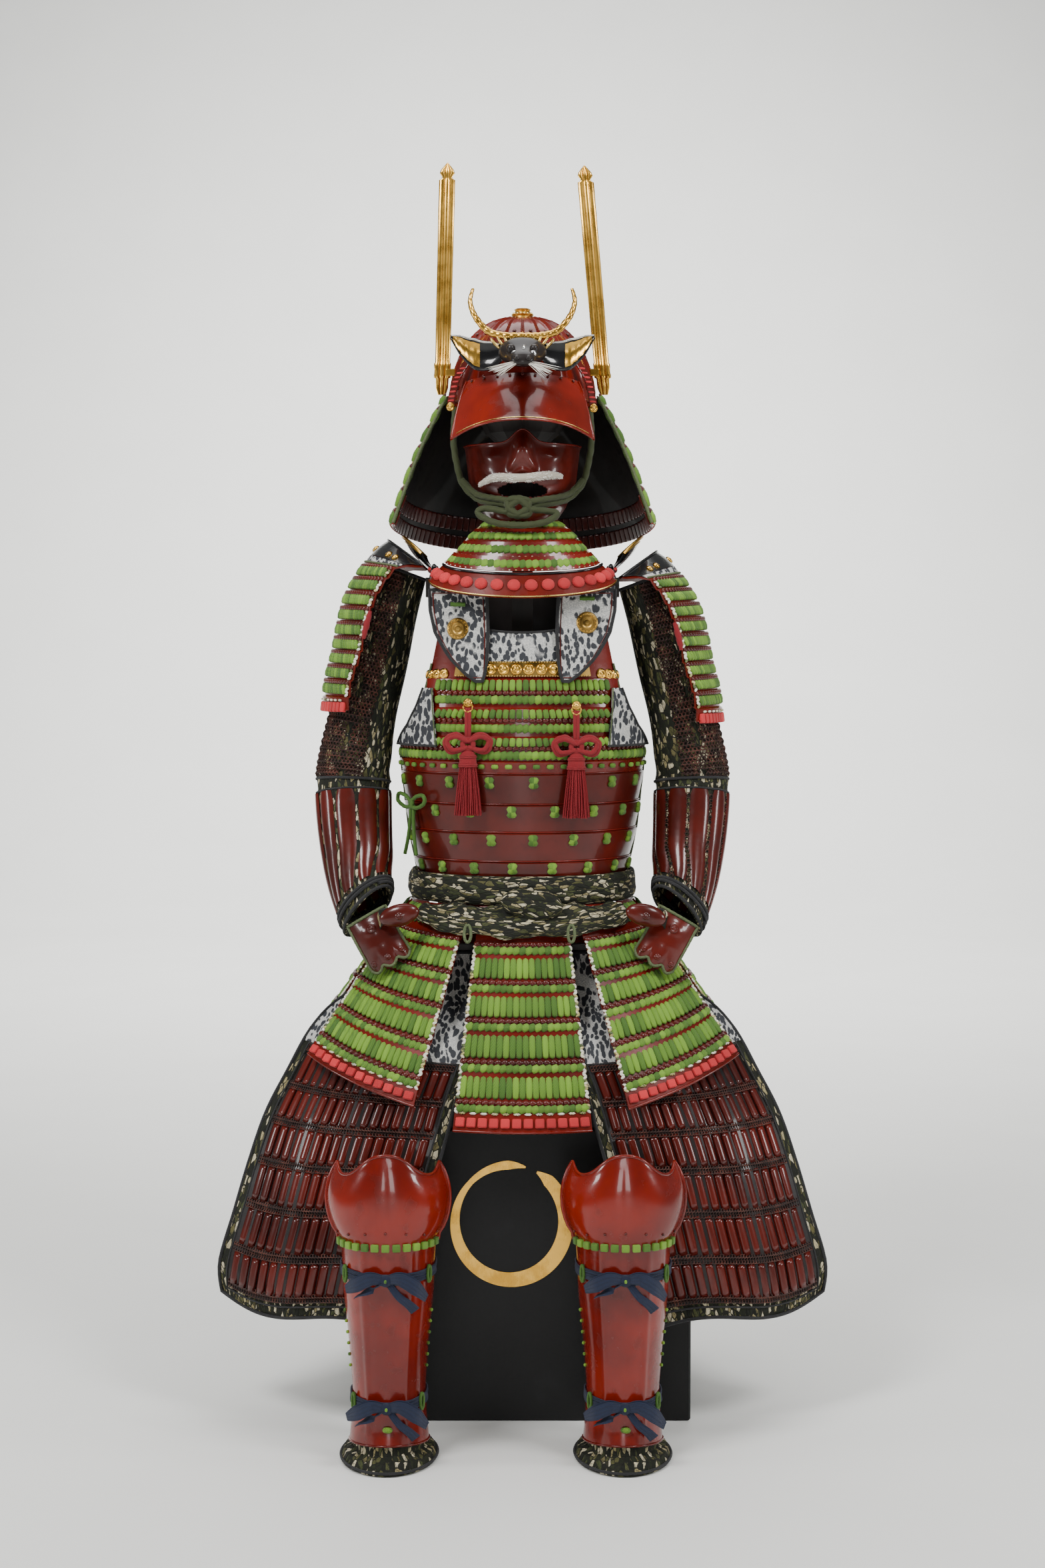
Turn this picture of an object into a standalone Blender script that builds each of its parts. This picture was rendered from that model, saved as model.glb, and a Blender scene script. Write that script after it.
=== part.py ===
"""Samurai armour on a storage box stand, in metres, +Z up, front towards -Y.

The origin is the centre of the box's underside. Left and right are as seen from the front,
so left pieces lie at -X. Walls are lofted between sections that are worked out from the
sizes below; lames step out at their upper edge, as laced armour does.
"""

import math

import bmesh
import bpy
from mathutils import Matrix, Vector

GAP = 0.0003
LEFT = -1
RIGHT = 1

# Box and hidden stand.
BOX_WIDTH = 0.500
BOX_DEPTH = 0.400
BOX_HEIGHT = 0.500
BOX_WALL = 0.012
LID_HEIGHT = 0.060
POST_SIDE = 0.032
POST_TOP = 1.470
SHOULDER_BAR_TOP = 1.2556
SHOULDER_BAR_HALF = 0.1483
WAIST_BAR_TOP = 0.700
WAIST_BAR_FRONT = -0.0936
HEAD_CENTRE = (0.0, 0.0, 1.545)
HEAD_RADII = (0.080, 0.095, 0.1002)

# Torso: height, half width, depth in front of the axis, depth behind it.
TORSO = (
    (0.740, 0.160, 0.136, 0.128),
    (0.803, 0.160, 0.136, 0.128),
    (0.872, 0.174, 0.141, 0.132),
    (0.980, 0.186, 0.147, 0.138),
    (1.060, 0.184, 0.147, 0.138),
    (1.130, 0.176, 0.139, 0.132),
    (1.200, 0.166, 0.124, 0.124),
    (1.260, 0.160, 0.112, 0.118),
)
# Armhole: height, angle from the front at which the front plate ends, in degrees.
ARMHOLE = (
    (0.803, 89.88),
    (0.990, 89.88),
    (1.008, 79.0),
    (1.032, 66.0),
    (1.060, 57.5),
    (1.090, 53.0),
    (1.130, 50.0),
    (1.260, 44.0),
)
PLATE_WALL = 0.0025
CUIRASS_COLUMNS = 13
LAME_STEP = 0.004
STEP_SHARE = 0.02
NECK_FRONT = 1.172
NECK_BACK = 1.205
# Cuirass rows from the top down: height, how far the outer face stands out.
CUIRASS_ROWS = (
    (1.128, 0.0000),
    (1.104, 0.0000),
    (1.102, LAME_STEP),
    (1.060, 0.0000),
    (1.058, LAME_STEP),
    (1.017, 0.0000),
    (1.015, LAME_STEP),
    (0.981, 0.0005),
    (0.979, LAME_STEP),
    (0.961, 0.0010),
    (0.959, LAME_STEP),
    (0.915, 0.0005),
    (0.913, LAME_STEP),
    (0.873, 0.0005),
    (0.871, LAME_STEP),
    (0.829, 0.0005),
    (0.827, LAME_STEP),
    (0.803, 0.0015),
)

# Sash and tassets.
SASH_TOP = 0.809
SASH_BOTTOM = 0.764
SASH_IN = 0.0024
SASH_OUT = 0.0162
TASSET_TOP = SASH_BOTTOM - 0.0006
TASSET_TOP_WIDTH = 0.128
TASSET_WALL = 0.003
# Tasset lames from the top down: share of the length, how far out.
TASSET_ROWS = (
    (0.000, 0.0000),
    (0.055, 0.0020),
    (0.165, 0.0000),
    (0.175, LAME_STEP),
    (0.335, 0.0000),
    (0.345, LAME_STEP),
    (0.505, 0.0000),
    (0.515, LAME_STEP),
    (0.685, 0.0000),
    (0.695, LAME_STEP),
    (0.860, 0.0010),
    (0.870, LAME_STEP),
    (1.000, 0.0010),
)
# Name, waist angle in degrees, then the two lower corners, the front or left one first.
TASSETS = (
    ("tasset_front", 0.0, (-0.101, -0.272, 0.449), (0.101, -0.272, 0.449)),
    ("tasset_front_left", -51.5, (-0.326, -0.158, 0.543), (-0.163, -0.274, 0.486)),
    ("tasset_front_right", 51.5, (0.159, -0.276, 0.482), (0.328, -0.160, 0.543)),
    ("tasset_side_left", -103.0, (-0.318, 0.150, 0.520), (-0.338, -0.035, 0.530)),
    ("tasset_side_right", 103.0, (0.338, -0.035, 0.530), (0.318, 0.150, 0.520)),
    ("tasset_back_left", -154.0, (-0.010, 0.285, 0.455), (-0.220, 0.240, 0.490)),
    ("tasset_back_right", 154.0, (0.220, 0.240, 0.490), (0.010, 0.285, 0.455)),
)

# Thigh guard, for the right side: height and place of the inner edge, then of the outer edge.
THIGH_ROWS = (
    (0.690, 0.016, -0.098, 0.690, 0.150, -0.098),
    (0.620, 0.040, -0.150, 0.620, 0.270, -0.060),
    (0.560, 0.068, -0.212, 0.575, 0.320, -0.085),
    (0.500, 0.092, -0.240, 0.510, 0.357, -0.108),
    (0.445, 0.107, -0.250, 0.450, 0.388, -0.125),
    (0.380, 0.125, -0.258, 0.380, 0.412, -0.140),
    (0.300, 0.142, -0.262, 0.305, 0.434, -0.152),
    (0.215, 0.160, -0.262, 0.232, 0.455, -0.160),
    (0.150, 0.178, -0.258, 0.186, 0.452, -0.160),
)
THIGH_BULGE = 0.0356
THIGH_WALL = 0.003
SPLINT_RISE = 0.0030
SPLINTS_ACROSS = 16
SPLINT_BORDER = 0.075
# Sections of the thigh guard, as shares of its length; the splints stand up on all but the first and last.
THIGH_SECTIONS = (0.0, 0.05, 0.12, 0.25, 0.40, 0.54, 0.68, 0.81, 0.93, 1.0)

# Shoulder guard, for the right side: height, outermost x, x of the front and back edges.
SODE_ROWS = (
    (1.312, 0.204, 0.150, 1.270),
    (1.296, 0.226, 0.172, 1.272),
    (1.268, 0.247, 0.194, 1.262),
    (1.228, 0.270, 0.219, 1.224),
    (1.184, 0.282, 0.233, 1.182),
    (1.142, 0.290, 0.242, 1.140),
    (1.100, 0.301, 0.256, 1.098),
    (1.053, 0.307, 0.262, 1.055),
)
SODE_FRONT = -0.108
SODE_BACK = 0.112
SODE_LAMES = 9
SODE_TOP_SHARE = 0.255
SODE_WALL = 0.003
SODE_DROP_RIGHT = -0.017

# Shoulder strap and the wing plate on it.
STRAP_TOP = 1.2620
STRAP_WALL = 0.0045

# Sleeve, for the right side: centre, then half width and half depth of the section.
SLEEVE_RINGS = (
    (0.1880, 0.004, 1.253, 0.042, 0.050),
    (0.208, 0.004, 1.195, 0.046, 0.056),
    (0.226, 0.002, 1.120, 0.048, 0.056),
    (0.245, -0.004, 1.045, 0.050, 0.056),
    (0.259, -0.012, 0.965, 0.055, 0.057),
    (0.260, -0.020, 0.915, 0.056, 0.057),
    (0.255, -0.040, 0.850, 0.053, 0.053),
    (0.246, -0.068, 0.795, 0.049, 0.048),
    (0.233, -0.100, 0.750, 0.048, 0.044),
)
SLEEVE_WALL = 0.0025
FOREARM_SPLINTS = 10
# How much farther out, higher and wider the top of each sleeve is.
SLEEVE_TOP = {LEFT: (0.0012, 0.0160, 0.0012), RIGHT: (0.0010, 0.0, 0.0010)}
CUFF_LEAN = 0.72
# Sleeve sections: share of the length, how far the splints stand up or the gathering sinks in.
SLEEVE_SECTIONS = (
    (0.00, 0.0),
    (0.18, 0.0),
    (0.36, 0.0),
    (0.52, 0.0),
    (0.575, -0.0012),
    (0.62, 0.0024),
    (0.76, 0.0024),
    (0.92, 0.0024),
    (1.00, 0.0),
)

# Hand guard, for the right side.
HAND_WRIST = (0.2351, -0.1393, 0.7486)
HAND_AIM = (-0.50, -0.10, -0.86)
HAND_WIDTH = 0.064
HAND_LENGTH = 0.088
HAND_RADIUS = 0.045
THUMB_AT = (0.1831, -0.1613, 0.7526)

# Shin guards: the middle of each leg, and how it lies.
LEG_X = {LEFT: -0.190, RIGHT: 0.143}
LEG_Y = -0.345
SHIN_ROWS = (
    (0.326, 0.0665, 0.073),
    (0.300, 0.0655, 0.072),
    (0.240, 0.0630, 0.071),
    (0.170, 0.0560, 0.066),
    (0.105, 0.0510, 0.062),
    (0.060, 0.0525, 0.063),
    (0.024, 0.0560, 0.068),
)
SHIN_WALL = 0.002
SHIN_REACH = 112.0
SHIN_COLUMNS = 11
KNEE_TOP = 0.443
KNEE_BOTTOM = 0.313
# The pad over the foot: height, half width and depth.
FOOT_ROWS = ((0.0205, 0.0520, 0.066), (0.0150, 0.0640, 0.086), (0.0, 0.0690, 0.094))

# Helmet.
BOWL_BASE = 1.512
BOWL_TOP = 1.648
BOWL_RADII = (0.1095, 0.128)
BOWL_WALL = 0.002
BOWL_RIBS = 20
RIB_RISE = 0.0035
NECK_GUARD_LAMES = 7
NECK_GUARD_ARC = (76.0, 284.0)
# Neck guard rows: height at the side, height at the back, half width, half depth.
NECK_GUARD = (
    (1.530, 1.528, 0.1172, 0.1360),
    (1.440, 1.425, 0.162, 0.168),
    (1.336, 1.300, 0.202, 0.196),
)
# Side bar: foot and tip of each.
SIDE_BARS = {
    LEFT: ((-0.1235, 0.0, 1.5345), (-0.1140, 0.0, 1.885)),
    RIGHT: ((0.1250, 0.0, 1.5345), (0.0940, 0.0, 1.881)),
}
BAR_WIDTH = 0.0255
BAR_DEPTH = 0.0090

# Colour, roughness and metallic value of each material.
FINISHES = {
    "red_lacquer": ((0.42, 0.035, 0.018), 0.18, 0.0),
    "dark_lacquer": ((0.012, 0.012, 0.013), 0.22, 0.0),
    "laced_green": ((0.23, 0.42, 0.13), 0.80, 0.0),
    "gilt": ((0.72, 0.47, 0.12), 0.28, 1.0),
    "box_black": ((0.010, 0.010, 0.011), 0.55, 0.0),
    "stand_wood": ((0.20, 0.12, 0.06), 0.60, 0.0),
    "brocade": ((0.20, 0.19, 0.08), 0.75, 0.0),
    "patterned_leather": ((0.70, 0.68, 0.58), 0.60, 0.0),
    "crimson_silk": ((0.45, 0.02, 0.04), 0.70, 0.0),
    "navy_cotton": ((0.02, 0.04, 0.14), 0.85, 0.0),
    "green_cord": ((0.10, 0.22, 0.07), 0.80, 0.0),
    "white_fur": ((0.80, 0.78, 0.72), 0.85, 0.0),
    "splinted_mail": ((0.16, 0.03, 0.02), 0.45, 0.0),
}


def clear_scene():
    for obj in list(bpy.data.objects):
        bpy.data.objects.remove(obj, do_unlink=True)


def collection(name):
    made = bpy.data.collections.new(name)
    bpy.context.scene.collection.children.link(made)
    return made


def finish(name):
    """The material of this name, made once."""
    if name in bpy.data.materials:
        return bpy.data.materials[name]
    colour, roughness, metallic = FINISHES[name]
    made = bpy.data.materials.new(name)
    made.use_nodes = True
    shader = made.node_tree.nodes["Principled BSDF"]
    shader.inputs["Base Color"].default_value = (*colour, 1.0)
    shader.inputs["Roughness"].default_value = roughness
    shader.inputs["Metallic"].default_value = metallic
    return made


def lerp(a, b, t):
    return a + (b - a) * t


def at(table, key):
    """The values of a table at a key, between its rows; the first column is the key."""
    rows = sorted(table)
    if key <= rows[0][0]:
        return rows[0][1:]
    for low, high in zip(rows, rows[1:]):
        if key <= high[0]:
            t = (key - low[0]) / (high[0] - low[0])
            return tuple(lerp(a, b, t) for a, b in zip(low[1:], high[1:]))
    return rows[-1][1:]


def along(table, share):
    """The values of a table at a share of its length, on a smooth line through its rows."""
    place = share * (len(table) - 1)
    i = min(int(place), len(table) - 2)
    t = place - i
    before, a, b, after = (table[min(max(k, 0), len(table) - 1)] for k in (i - 1, i, i + 1, i + 2))
    return tuple(
        0.5 * (2 * q + (r - p) * t + (2 * p - 5 * q + 4 * r - s) * t * t + (3 * q - p - 3 * r + s) * t**3)
        for p, q, r, s in zip(before, a, b, after)
    )


def smooth_path(points, count):
    """Points read at even shares from a smooth curve through the given ones."""
    return [Vector(along(points, k / (count - 1))) for k in range(count)]


def spread(low, high, count):
    return [lerp(low, high, k / (count - 1)) for k in range(count)]


def solid(name, verts, faces, material, sharp=35.0):
    """One closed body from its points and faces, facing out."""
    mesh = bpy.data.meshes.new(name)
    mesh.from_pydata([tuple(v) for v in verts], [], faces)
    shape = bmesh.new()
    shape.from_mesh(mesh)
    bmesh.ops.remove_doubles(shape, verts=shape.verts, dist=1e-6)
    bmesh.ops.recalc_face_normals(shape, faces=shape.faces)
    shape.to_mesh(mesh)
    shape.free()
    mesh.shade_smooth()
    mesh.set_sharp_from_angle(angle=math.radians(sharp))
    mesh.materials.append(finish(material))
    obj = bpy.data.objects.new(name, mesh)
    ARMOUR.objects.link(obj)
    return obj


def stitch(points, first, second):
    """Triangles between two lines of points that run side by side, given as indices."""

    def shares(line):
        steps = [(points[b] - points[a]).length for a, b in zip(line, line[1:])]
        return [sum(steps[:k]) / sum(steps) for k in range(len(line))]

    share_a, share_b = shares(first), shares(second)
    faces = []
    i = j = 0
    while i < len(first) - 1 or j < len(second) - 1:
        next_a = share_a[i + 1] if i < len(first) - 1 else 2.0
        next_b = share_b[j + 1] if j < len(second) - 1 else 2.0
        if next_a <= next_b:
            faces.append((first[i], first[i + 1], second[j]))
            i += 1
        else:
            faces.append((first[i], second[j + 1], second[j]))
            j += 1
    return faces


def wall(name, material, outer, inner, ring=False):
    """A closed wall between two grids of points, the inner one with as few rows and columns as it
    needs; ring joins the last column to the first."""
    points, faces, edges = [], [], []
    for grid in (outer, inner):
        rows, columns = len(grid), len(grid[0])
        start = len(points)
        points += [p for row in grid for p in row]
        index = [[start + i * columns + j for j in range(columns)] for i in range(rows)]
        if ring:
            index = [row + row[:1] for row in index]
        for high, low in zip(index, index[1:]):
            faces += [(a, b, d, c) for a, b, c, d in zip(high, high[1:], low, low[1:])]
        edges.append((index[0], index[-1], [row[0] for row in index], [row[-1] for row in index]))
    for k in range(2 if ring else 4):
        faces += stitch(points, edges[0][k], edges[1][k])
    return solid(name, points, faces, material)


def facing(point, u, v, axis):
    """The unit normal of a surface at (u, v), turned away from an upright axis at (x, y)."""
    step = 1e-3
    across = point(u + step, v) - point(u - step, v)
    down = point(u, min(v + step, 1.0)) - point(u, max(v - step, 0.0))
    normal = across.cross(down).normalized()
    here = point(u, v)
    away = here - Vector((axis[0], axis[1], here.z))
    return -normal if normal.dot(away) < 0 else normal


def plain_rows(rows):
    """The rows of a plain inner face: those of the outer face, with the two of a step taken as one."""
    kept = [rows[0][0]]
    for v, _ in rows[1:-1]:
        if v - kept[-1] > STEP_SHARE:
            kept.append(v)
    return kept + [rows[-1][0]]


def panel(name, material, point, columns, rows, thickness, axis=(0.0, 0.0), bump=None, plain=7):
    """A wall on the surface point(u, v): rows are (v, how far out), columns are values of u, and
    plain is the count of columns of its inner face."""
    outer, inner = [], []
    for v, out in rows:
        outer.append([])
        for u in columns:
            lift = out + (bump(u, v) if bump else 0.0)
            outer[-1].append(point(u, v) + facing(point, u, v, axis) * lift)
    for v in plain_rows(rows):
        inner.append([])
        for u in spread(columns[0], columns[-1], plain):
            inner[-1].append(point(u, v) - facing(point, u, v, axis) * thickness)
    return wall(name, material, outer, inner)


def loft(name, material, rings):
    """A solid through closed rings of points, with its two ends filled."""
    count = len(rings[0])
    verts = [p for ring in rings for p in ring]
    faces = []
    for i in range(len(rings) - 1):
        for j in range(count):
            a, b = i * count + j, i * count + (j + 1) % count
            faces.append((a, b, b + count, a + count))
    faces.append(tuple(reversed(range(count))))
    faces.append(tuple(range((len(rings) - 1) * count, len(rings) * count)))
    return solid(name, verts, faces, material)


def ring_of(centre, side, up, sides, start=0.0):
    """A closed ring round a centre, from its two half axes."""
    turns = (start + 2 * math.pi * k / sides for k in range(sides))
    return [centre + side * math.cos(t) + up * math.sin(t) for t in turns]


def band(name, material, path, side, widths, thickness, columns=3):
    """A flat strap along a path: side is its direction across, or one for each point, and widths
    its width at each point."""
    outer, inner = [], []
    for k, here in enumerate(path):
        ahead = (path[min(k + 1, len(path) - 1)] - path[max(k - 1, 0)]).normalized()
        lie = Vector(side[k] if isinstance(side, list) else side)
        across = (lie - ahead * ahead.dot(lie)).normalized()
        normal = ahead.cross(across)
        shares = spread(-0.5, 0.5, columns)
        outer.append([here + across * widths[k] * s + normal * thickness / 2 for s in shares])
        inner.append([here + across * widths[k] * s - normal * thickness / 2 for s in shares])
    return wall(name, material, outer, inner)


def cord(name, material, points, radius, resolution=2, taper=None):
    """A round cord through the points, with closed ends."""
    curve = bpy.data.curves.new(name, "CURVE")
    curve.dimensions = "3D"
    curve.bevel_depth = radius
    curve.bevel_resolution = resolution
    curve.use_fill_caps = True
    spline = curve.splines.new("POLY")
    spline.points.add(len(points) - 1)
    for k, here in enumerate(points):
        spline.points[k].co = (*here, 1.0)
        spline.points[k].radius = taper[k] if taper else 1.0
    curve.materials.append(finish(material))
    obj = bpy.data.objects.new(name, curve)
    ARMOUR.objects.link(obj)
    return obj


def tube(name, material, points, radius, resolution=1, taper=None):
    """The same cord as a mesh, to be joined to others."""
    guide = cord(name, material, points, radius, resolution, taper)
    bpy.context.view_layer.update()
    mesh = bpy.data.meshes.new_from_object(guide.evaluated_get(bpy.context.evaluated_depsgraph_get()))
    bpy.data.objects.remove(guide, do_unlink=True)
    shape = bmesh.new()
    shape.from_mesh(mesh)
    bmesh.ops.remove_doubles(shape, verts=shape.verts, dist=1e-6)
    bmesh.ops.recalc_face_normals(shape, faces=shape.faces)
    shape.to_mesh(mesh)
    shape.free()
    mesh.shade_smooth()
    obj = bpy.data.objects.new(name, mesh)
    ARMOUR.objects.link(obj)
    return obj


def block(name, material, low, high, bevel=0.0):
    """A box between two corners, with its edges rounded."""
    bpy.ops.mesh.primitive_cube_add(size=1.0)
    obj = bpy.context.active_object
    obj.name = name
    size = Vector(high) - Vector(low)
    centre = (Vector(high) + Vector(low)) / 2
    obj.data.transform(Matrix.Translation(centre) @ Matrix.Diagonal((*size, 1.0)))
    obj.data.materials.append(finish(material))
    for owner in list(obj.users_collection):
        owner.objects.unlink(obj)
    ARMOUR.objects.link(obj)
    if bevel:
        rounding = obj.modifiers.new("rounded edges", "BEVEL")
        rounding.width = bevel
        rounding.segments = 1
    return obj


def ball(name, material, centre, radii, segments=10, rings=6, turn=None):
    """An ellipsoid with the given half axes."""
    bpy.ops.mesh.primitive_uv_sphere_add(segments=segments, ring_count=rings, radius=1.0)
    obj = bpy.context.active_object
    obj.name = name
    place = Matrix.Translation(centre)
    if turn:
        place = place @ turn
    obj.data.transform(place @ Matrix.Diagonal((*radii, 1.0)))
    obj.data.materials.append(finish(material))
    obj.data.shade_smooth()
    for owner in list(obj.users_collection):
        owner.objects.unlink(obj)
    ARMOUR.objects.link(obj)
    return obj


def fuse(name, pieces, operation="UNION"):
    """One body from several by Boolean; the pieces after the first are used up."""
    base = pieces[0]
    for other in pieces[1:]:
        joint = base.modifiers.new(operation.lower(), "BOOLEAN")
        joint.operation = operation
        joint.object = other
    bpy.context.view_layer.update()
    mesh = bpy.data.meshes.new_from_object(base.evaluated_get(bpy.context.evaluated_depsgraph_get()))
    material = base.data.materials[0]
    for piece in pieces:
        bpy.data.objects.remove(piece, do_unlink=True)
    mesh.materials.clear()
    mesh.materials.append(material)
    mesh.polygons.foreach_set("material_index", [0] * len(mesh.polygons))
    mesh.name = name
    obj = bpy.data.objects.new(name, mesh)
    ARMOUR.objects.link(obj)
    return obj


def side_name(stem, side):
    return f"{stem}_{'left' if side == LEFT else 'right'}"


def torso(degrees, z, out=0.0):
    """The point of the torso at an angle from the front and a height, moved straight out."""
    half, front, back = at(TORSO, z)
    turn = math.radians(degrees)
    depth = front if math.cos(turn) > 0 else back
    normal = Vector((math.sin(turn) / half, -math.cos(turn) / depth, 0.0)).normalized()
    return Vector((half * math.sin(turn), -depth * math.cos(turn), z)) + normal * out


def make_box():
    x, y = BOX_WIDTH / 2, BOX_DEPTH / 2
    rim = BOX_HEIGHT - LID_HEIGHT
    body = block("body", "box_black", (-x, -y, 0.0), (x, y, rim - GAP), bevel=0.003)
    room = block(
        "room",
        "box_black",
        (-x + BOX_WALL, -y + BOX_WALL, BOX_WALL),
        (x - BOX_WALL, y - BOX_WALL, BOX_HEIGHT),
    )
    fuse("chest_body", [body, room], "DIFFERENCE")
    lid = block("lid", "box_black", (-x, -y, rim), (x, y, BOX_HEIGHT), bevel=0.003)
    inside = block(
        "inside",
        "box_black",
        (-x + BOX_WALL, -y + BOX_WALL, rim - BOX_WALL),
        (x - BOX_WALL, y - BOX_WALL, BOX_HEIGHT - BOX_WALL),
    )
    fuse("chest_lid", [lid, inside], "DIFFERENCE")


def make_stand():
    half = POST_SIDE / 2
    foot = BOX_HEIGHT + GAP
    post = block("post", "stand_wood", (-half, -half, foot), (half, half, POST_TOP))
    base = block("base", "stand_wood", (-0.11, -0.09, foot), (0.11, 0.09, foot + 0.018))
    shoulders = block(
        "shoulders",
        "stand_wood",
        (-SHOULDER_BAR_HALF, -0.020, SHOULDER_BAR_TOP - 0.030),
        (SHOULDER_BAR_HALF, 0.020, SHOULDER_BAR_TOP),
    )
    low = WAIST_BAR_TOP - 0.028
    waist = block(
        "waist",
        "stand_wood",
        (-0.120, WAIST_BAR_FRONT, low),
        (0.120, WAIST_BAR_FRONT + 0.018, WAIST_BAR_TOP),
    )
    arm = block(
        "arm",
        "stand_wood",
        (-0.014, WAIST_BAR_FRONT + 0.014, low + 0.001),
        (0.014, 0.0, WAIST_BAR_TOP - 0.001),
    )
    head = ball("head", "stand_wood", HEAD_CENTRE, HEAD_RADII, 12, 8)
    fuse("stand", [post, base, shoulders, waist, arm, head])


def bowl_point(turn, share, out=0.0):
    """The helmet bowl at an angle from the front and a share of the way up."""
    lift = math.sin(share * math.pi / 2)
    reach = math.cos(share * math.pi / 2) ** 0.75
    x = (BOWL_RADII[0] + out) * reach * math.sin(turn)
    y = -(BOWL_RADII[1] + out) * reach * math.cos(turn)
    return Vector((x, y, BOWL_BASE + (BOWL_TOP - BOWL_BASE + out) * lift))


def make_bowl():
    """The ribbed bowl: its outer face runs up to the crown, and its plain inner face down again."""
    columns = BOWL_RIBS * 2
    turns = [2 * math.pi * k / columns for k in range(columns)]
    shares = (0.0, 0.16, 0.42, 0.68, 0.90)
    outer = []
    for share in shares:
        rise = RIB_RISE * math.sin(math.pi * min(1.0, share * 1.2 + 0.1)) if share > 0.1 else 0.001
        outer.append([bowl_point(t, share, rise * (k % 2)) for k, t in enumerate(turns)])
    inner = [[bowl_point(t, share, -BOWL_WALL) for t in turns[::4]] for share in shares]
    points, faces, rims = [], [], []
    for grid, top in ((outer, BOWL_TOP), (inner, BOWL_TOP - BOWL_WALL)):
        start, across = len(points), len(grid[0])
        points += [p for row in grid for p in row] + [Vector((0.0, 0.0, top))]
        index = [[start + i * across + j % across for j in range(across + 1)] for i in range(len(grid))]
        for low, high in zip(index, index[1:]):
            faces += [(a, b, d, c) for a, b, c, d in zip(low, low[1:], high, high[1:])]
        faces += [(a, b, len(points) - 1) for a, b in zip(index[-1], index[-1][1:])]
        rims.append(index[0])
    faces += stitch(points, rims[0], rims[1])
    solid("helmet_bowl", points, faces, "red_lacquer")


def turned(name, material, profile, centre, steps=10):
    """A turned piece from (radius, height) pairs, top first, about an upright axis."""
    rings = []
    for radius, height in profile:
        here = Vector(centre) + Vector((0.0, 0.0, height))
        rings.append(ring_of(here, Vector((radius, 0, 0)), Vector((0, radius, 0)), steps))
    return loft(name, material, rings)


def make_crown():
    profile = (
        (0.0095, 0.0170),
        (0.0130, 0.0150),
        (0.0125, 0.0090),
        (0.0175, 0.0070),
        (0.0170, 0.0020),
        (0.0215, 0.0000),
    )
    turned("crown_ring", "gilt", profile, (0.0, 0.0, BOWL_TOP + 0.0004))


def peak_point(u, v):
    """The peak over the brow: u from left to right, v from the bowl down."""
    low = 1.480 - 0.024 * abs(u) ** 2.6
    x = lerp(0.082, 0.1065, v**0.7) * u
    brow = -0.1262 * math.sqrt(1.0 - (0.082 * u / 0.1096) ** 2) - 0.0022 - 0.0035 * u * u
    y = lerp(brow, -0.186 + 0.068 * u * u, v) - 0.004 * v * math.exp(-((u / 0.12) ** 2))
    z = lerp(1.5545 - 0.008 * u * u, low, v)
    return Vector((x, y, z))


def make_peak():
    columns = (-1.0, -0.85, -0.62, -0.38, -0.17, 0.0, 0.17, 0.38, 0.62, 0.85, 1.0)
    rows = ((0.0, 0.0), (0.25, 0.002), (0.6, 0.002), (0.93, 0.0), (1.0, 0.001))
    panel("helmet_peak", "red_lacquer", peak_point, columns, rows, 0.002)


def neck_guard_point(degrees, share):
    side_z, back_z, half, depth = along(NECK_GUARD, share)
    turn = math.radians(degrees)
    rear = max(0.0, -math.cos(turn))
    z = lerp(side_z, back_z, rear)
    return Vector((half * math.sin(turn), -depth * math.cos(turn), z))


def make_neck_guard():
    rows = []
    for k in range(NECK_GUARD_LAMES):
        rows.append((k / NECK_GUARD_LAMES + 0.004, 0.0036 if k else 0.0))
        rows.append(((k + 1) / NECK_GUARD_LAMES - 0.004, 0.0))
    columns = spread(NECK_GUARD_ARC[0], NECK_GUARD_ARC[1], 15)
    panel("neck_guard", "laced_green", neck_guard_point, columns, rows, 0.0025)


def make_side_bar(side):
    foot, tip = (Vector(p) for p in SIDE_BARS[side])
    # Share of the length, width and depth as shares of the full section.
    stations = (
        (0.000, 0.60, 0.60),
        (0.070, 0.78, 0.80),
        (0.074, 0.98, 1.15),
        (0.135, 0.98, 1.15),
        (0.140, 0.92, 0.95),
        (0.935, 0.96, 0.90),
        (1.000, 0.06, 0.25),
    )
    # Fluted section: across and forward, as shares of the half sizes.
    front = ((-1, -0.4), (-0.66, -1), (-0.33, -0.45), (0, -1), (0.33, -0.45), (0.66, -1), (1, -0.4))
    section = front + ((0.6, 1), (-0.6, 1))
    rings = []
    for share, wide, deep in stations:
        here = foot.lerp(tip, share)
        half, depth = BAR_WIDTH / 2 * wide, BAR_DEPTH / 2 * deep
        rings.append([here + Vector((a * half, b * depth, 0)) for a, b in section])
    bar = loft("bar", "gilt", rings)
    reach = sorted((side * 0.1026, side * 0.1180))
    socket = block("socket", "gilt", (reach[0], -0.004, 1.563), (reach[1], 0.004, 1.574))
    fuse(side_name("side_crest", side), [bar, socket])


def make_crest_head():
    # Skull and snout: distance in front of the bowl, height, half width, half height.
    stations = (
        (-0.1166, 1.579, 0.011, 0.008),
        (-0.1400, 1.579, 0.020, 0.012),
        (-0.1440, 1.580, 0.036, 0.021),
        (-0.1560, 1.581, 0.037, 0.022),
        (-0.1660, 1.578, 0.030, 0.019),
        (-0.1780, 1.571, 0.022, 0.014),
        (-0.1900, 1.567, 0.019, 0.012),
        (-0.1970, 1.566, 0.011, 0.007),
    )
    rings = []
    for y, z, half, tall in stations:
        rings.append(ring_of(Vector((0.0, y, z)), Vector((half, 0, 0)), Vector((0, 0, tall)), 8))
    pieces = [loft("skull", "dark_lacquer", rings)]
    for side in (LEFT, RIGHT):
        pieces.append(make_ear(side))
    fuse("crest_head", pieces)


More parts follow.
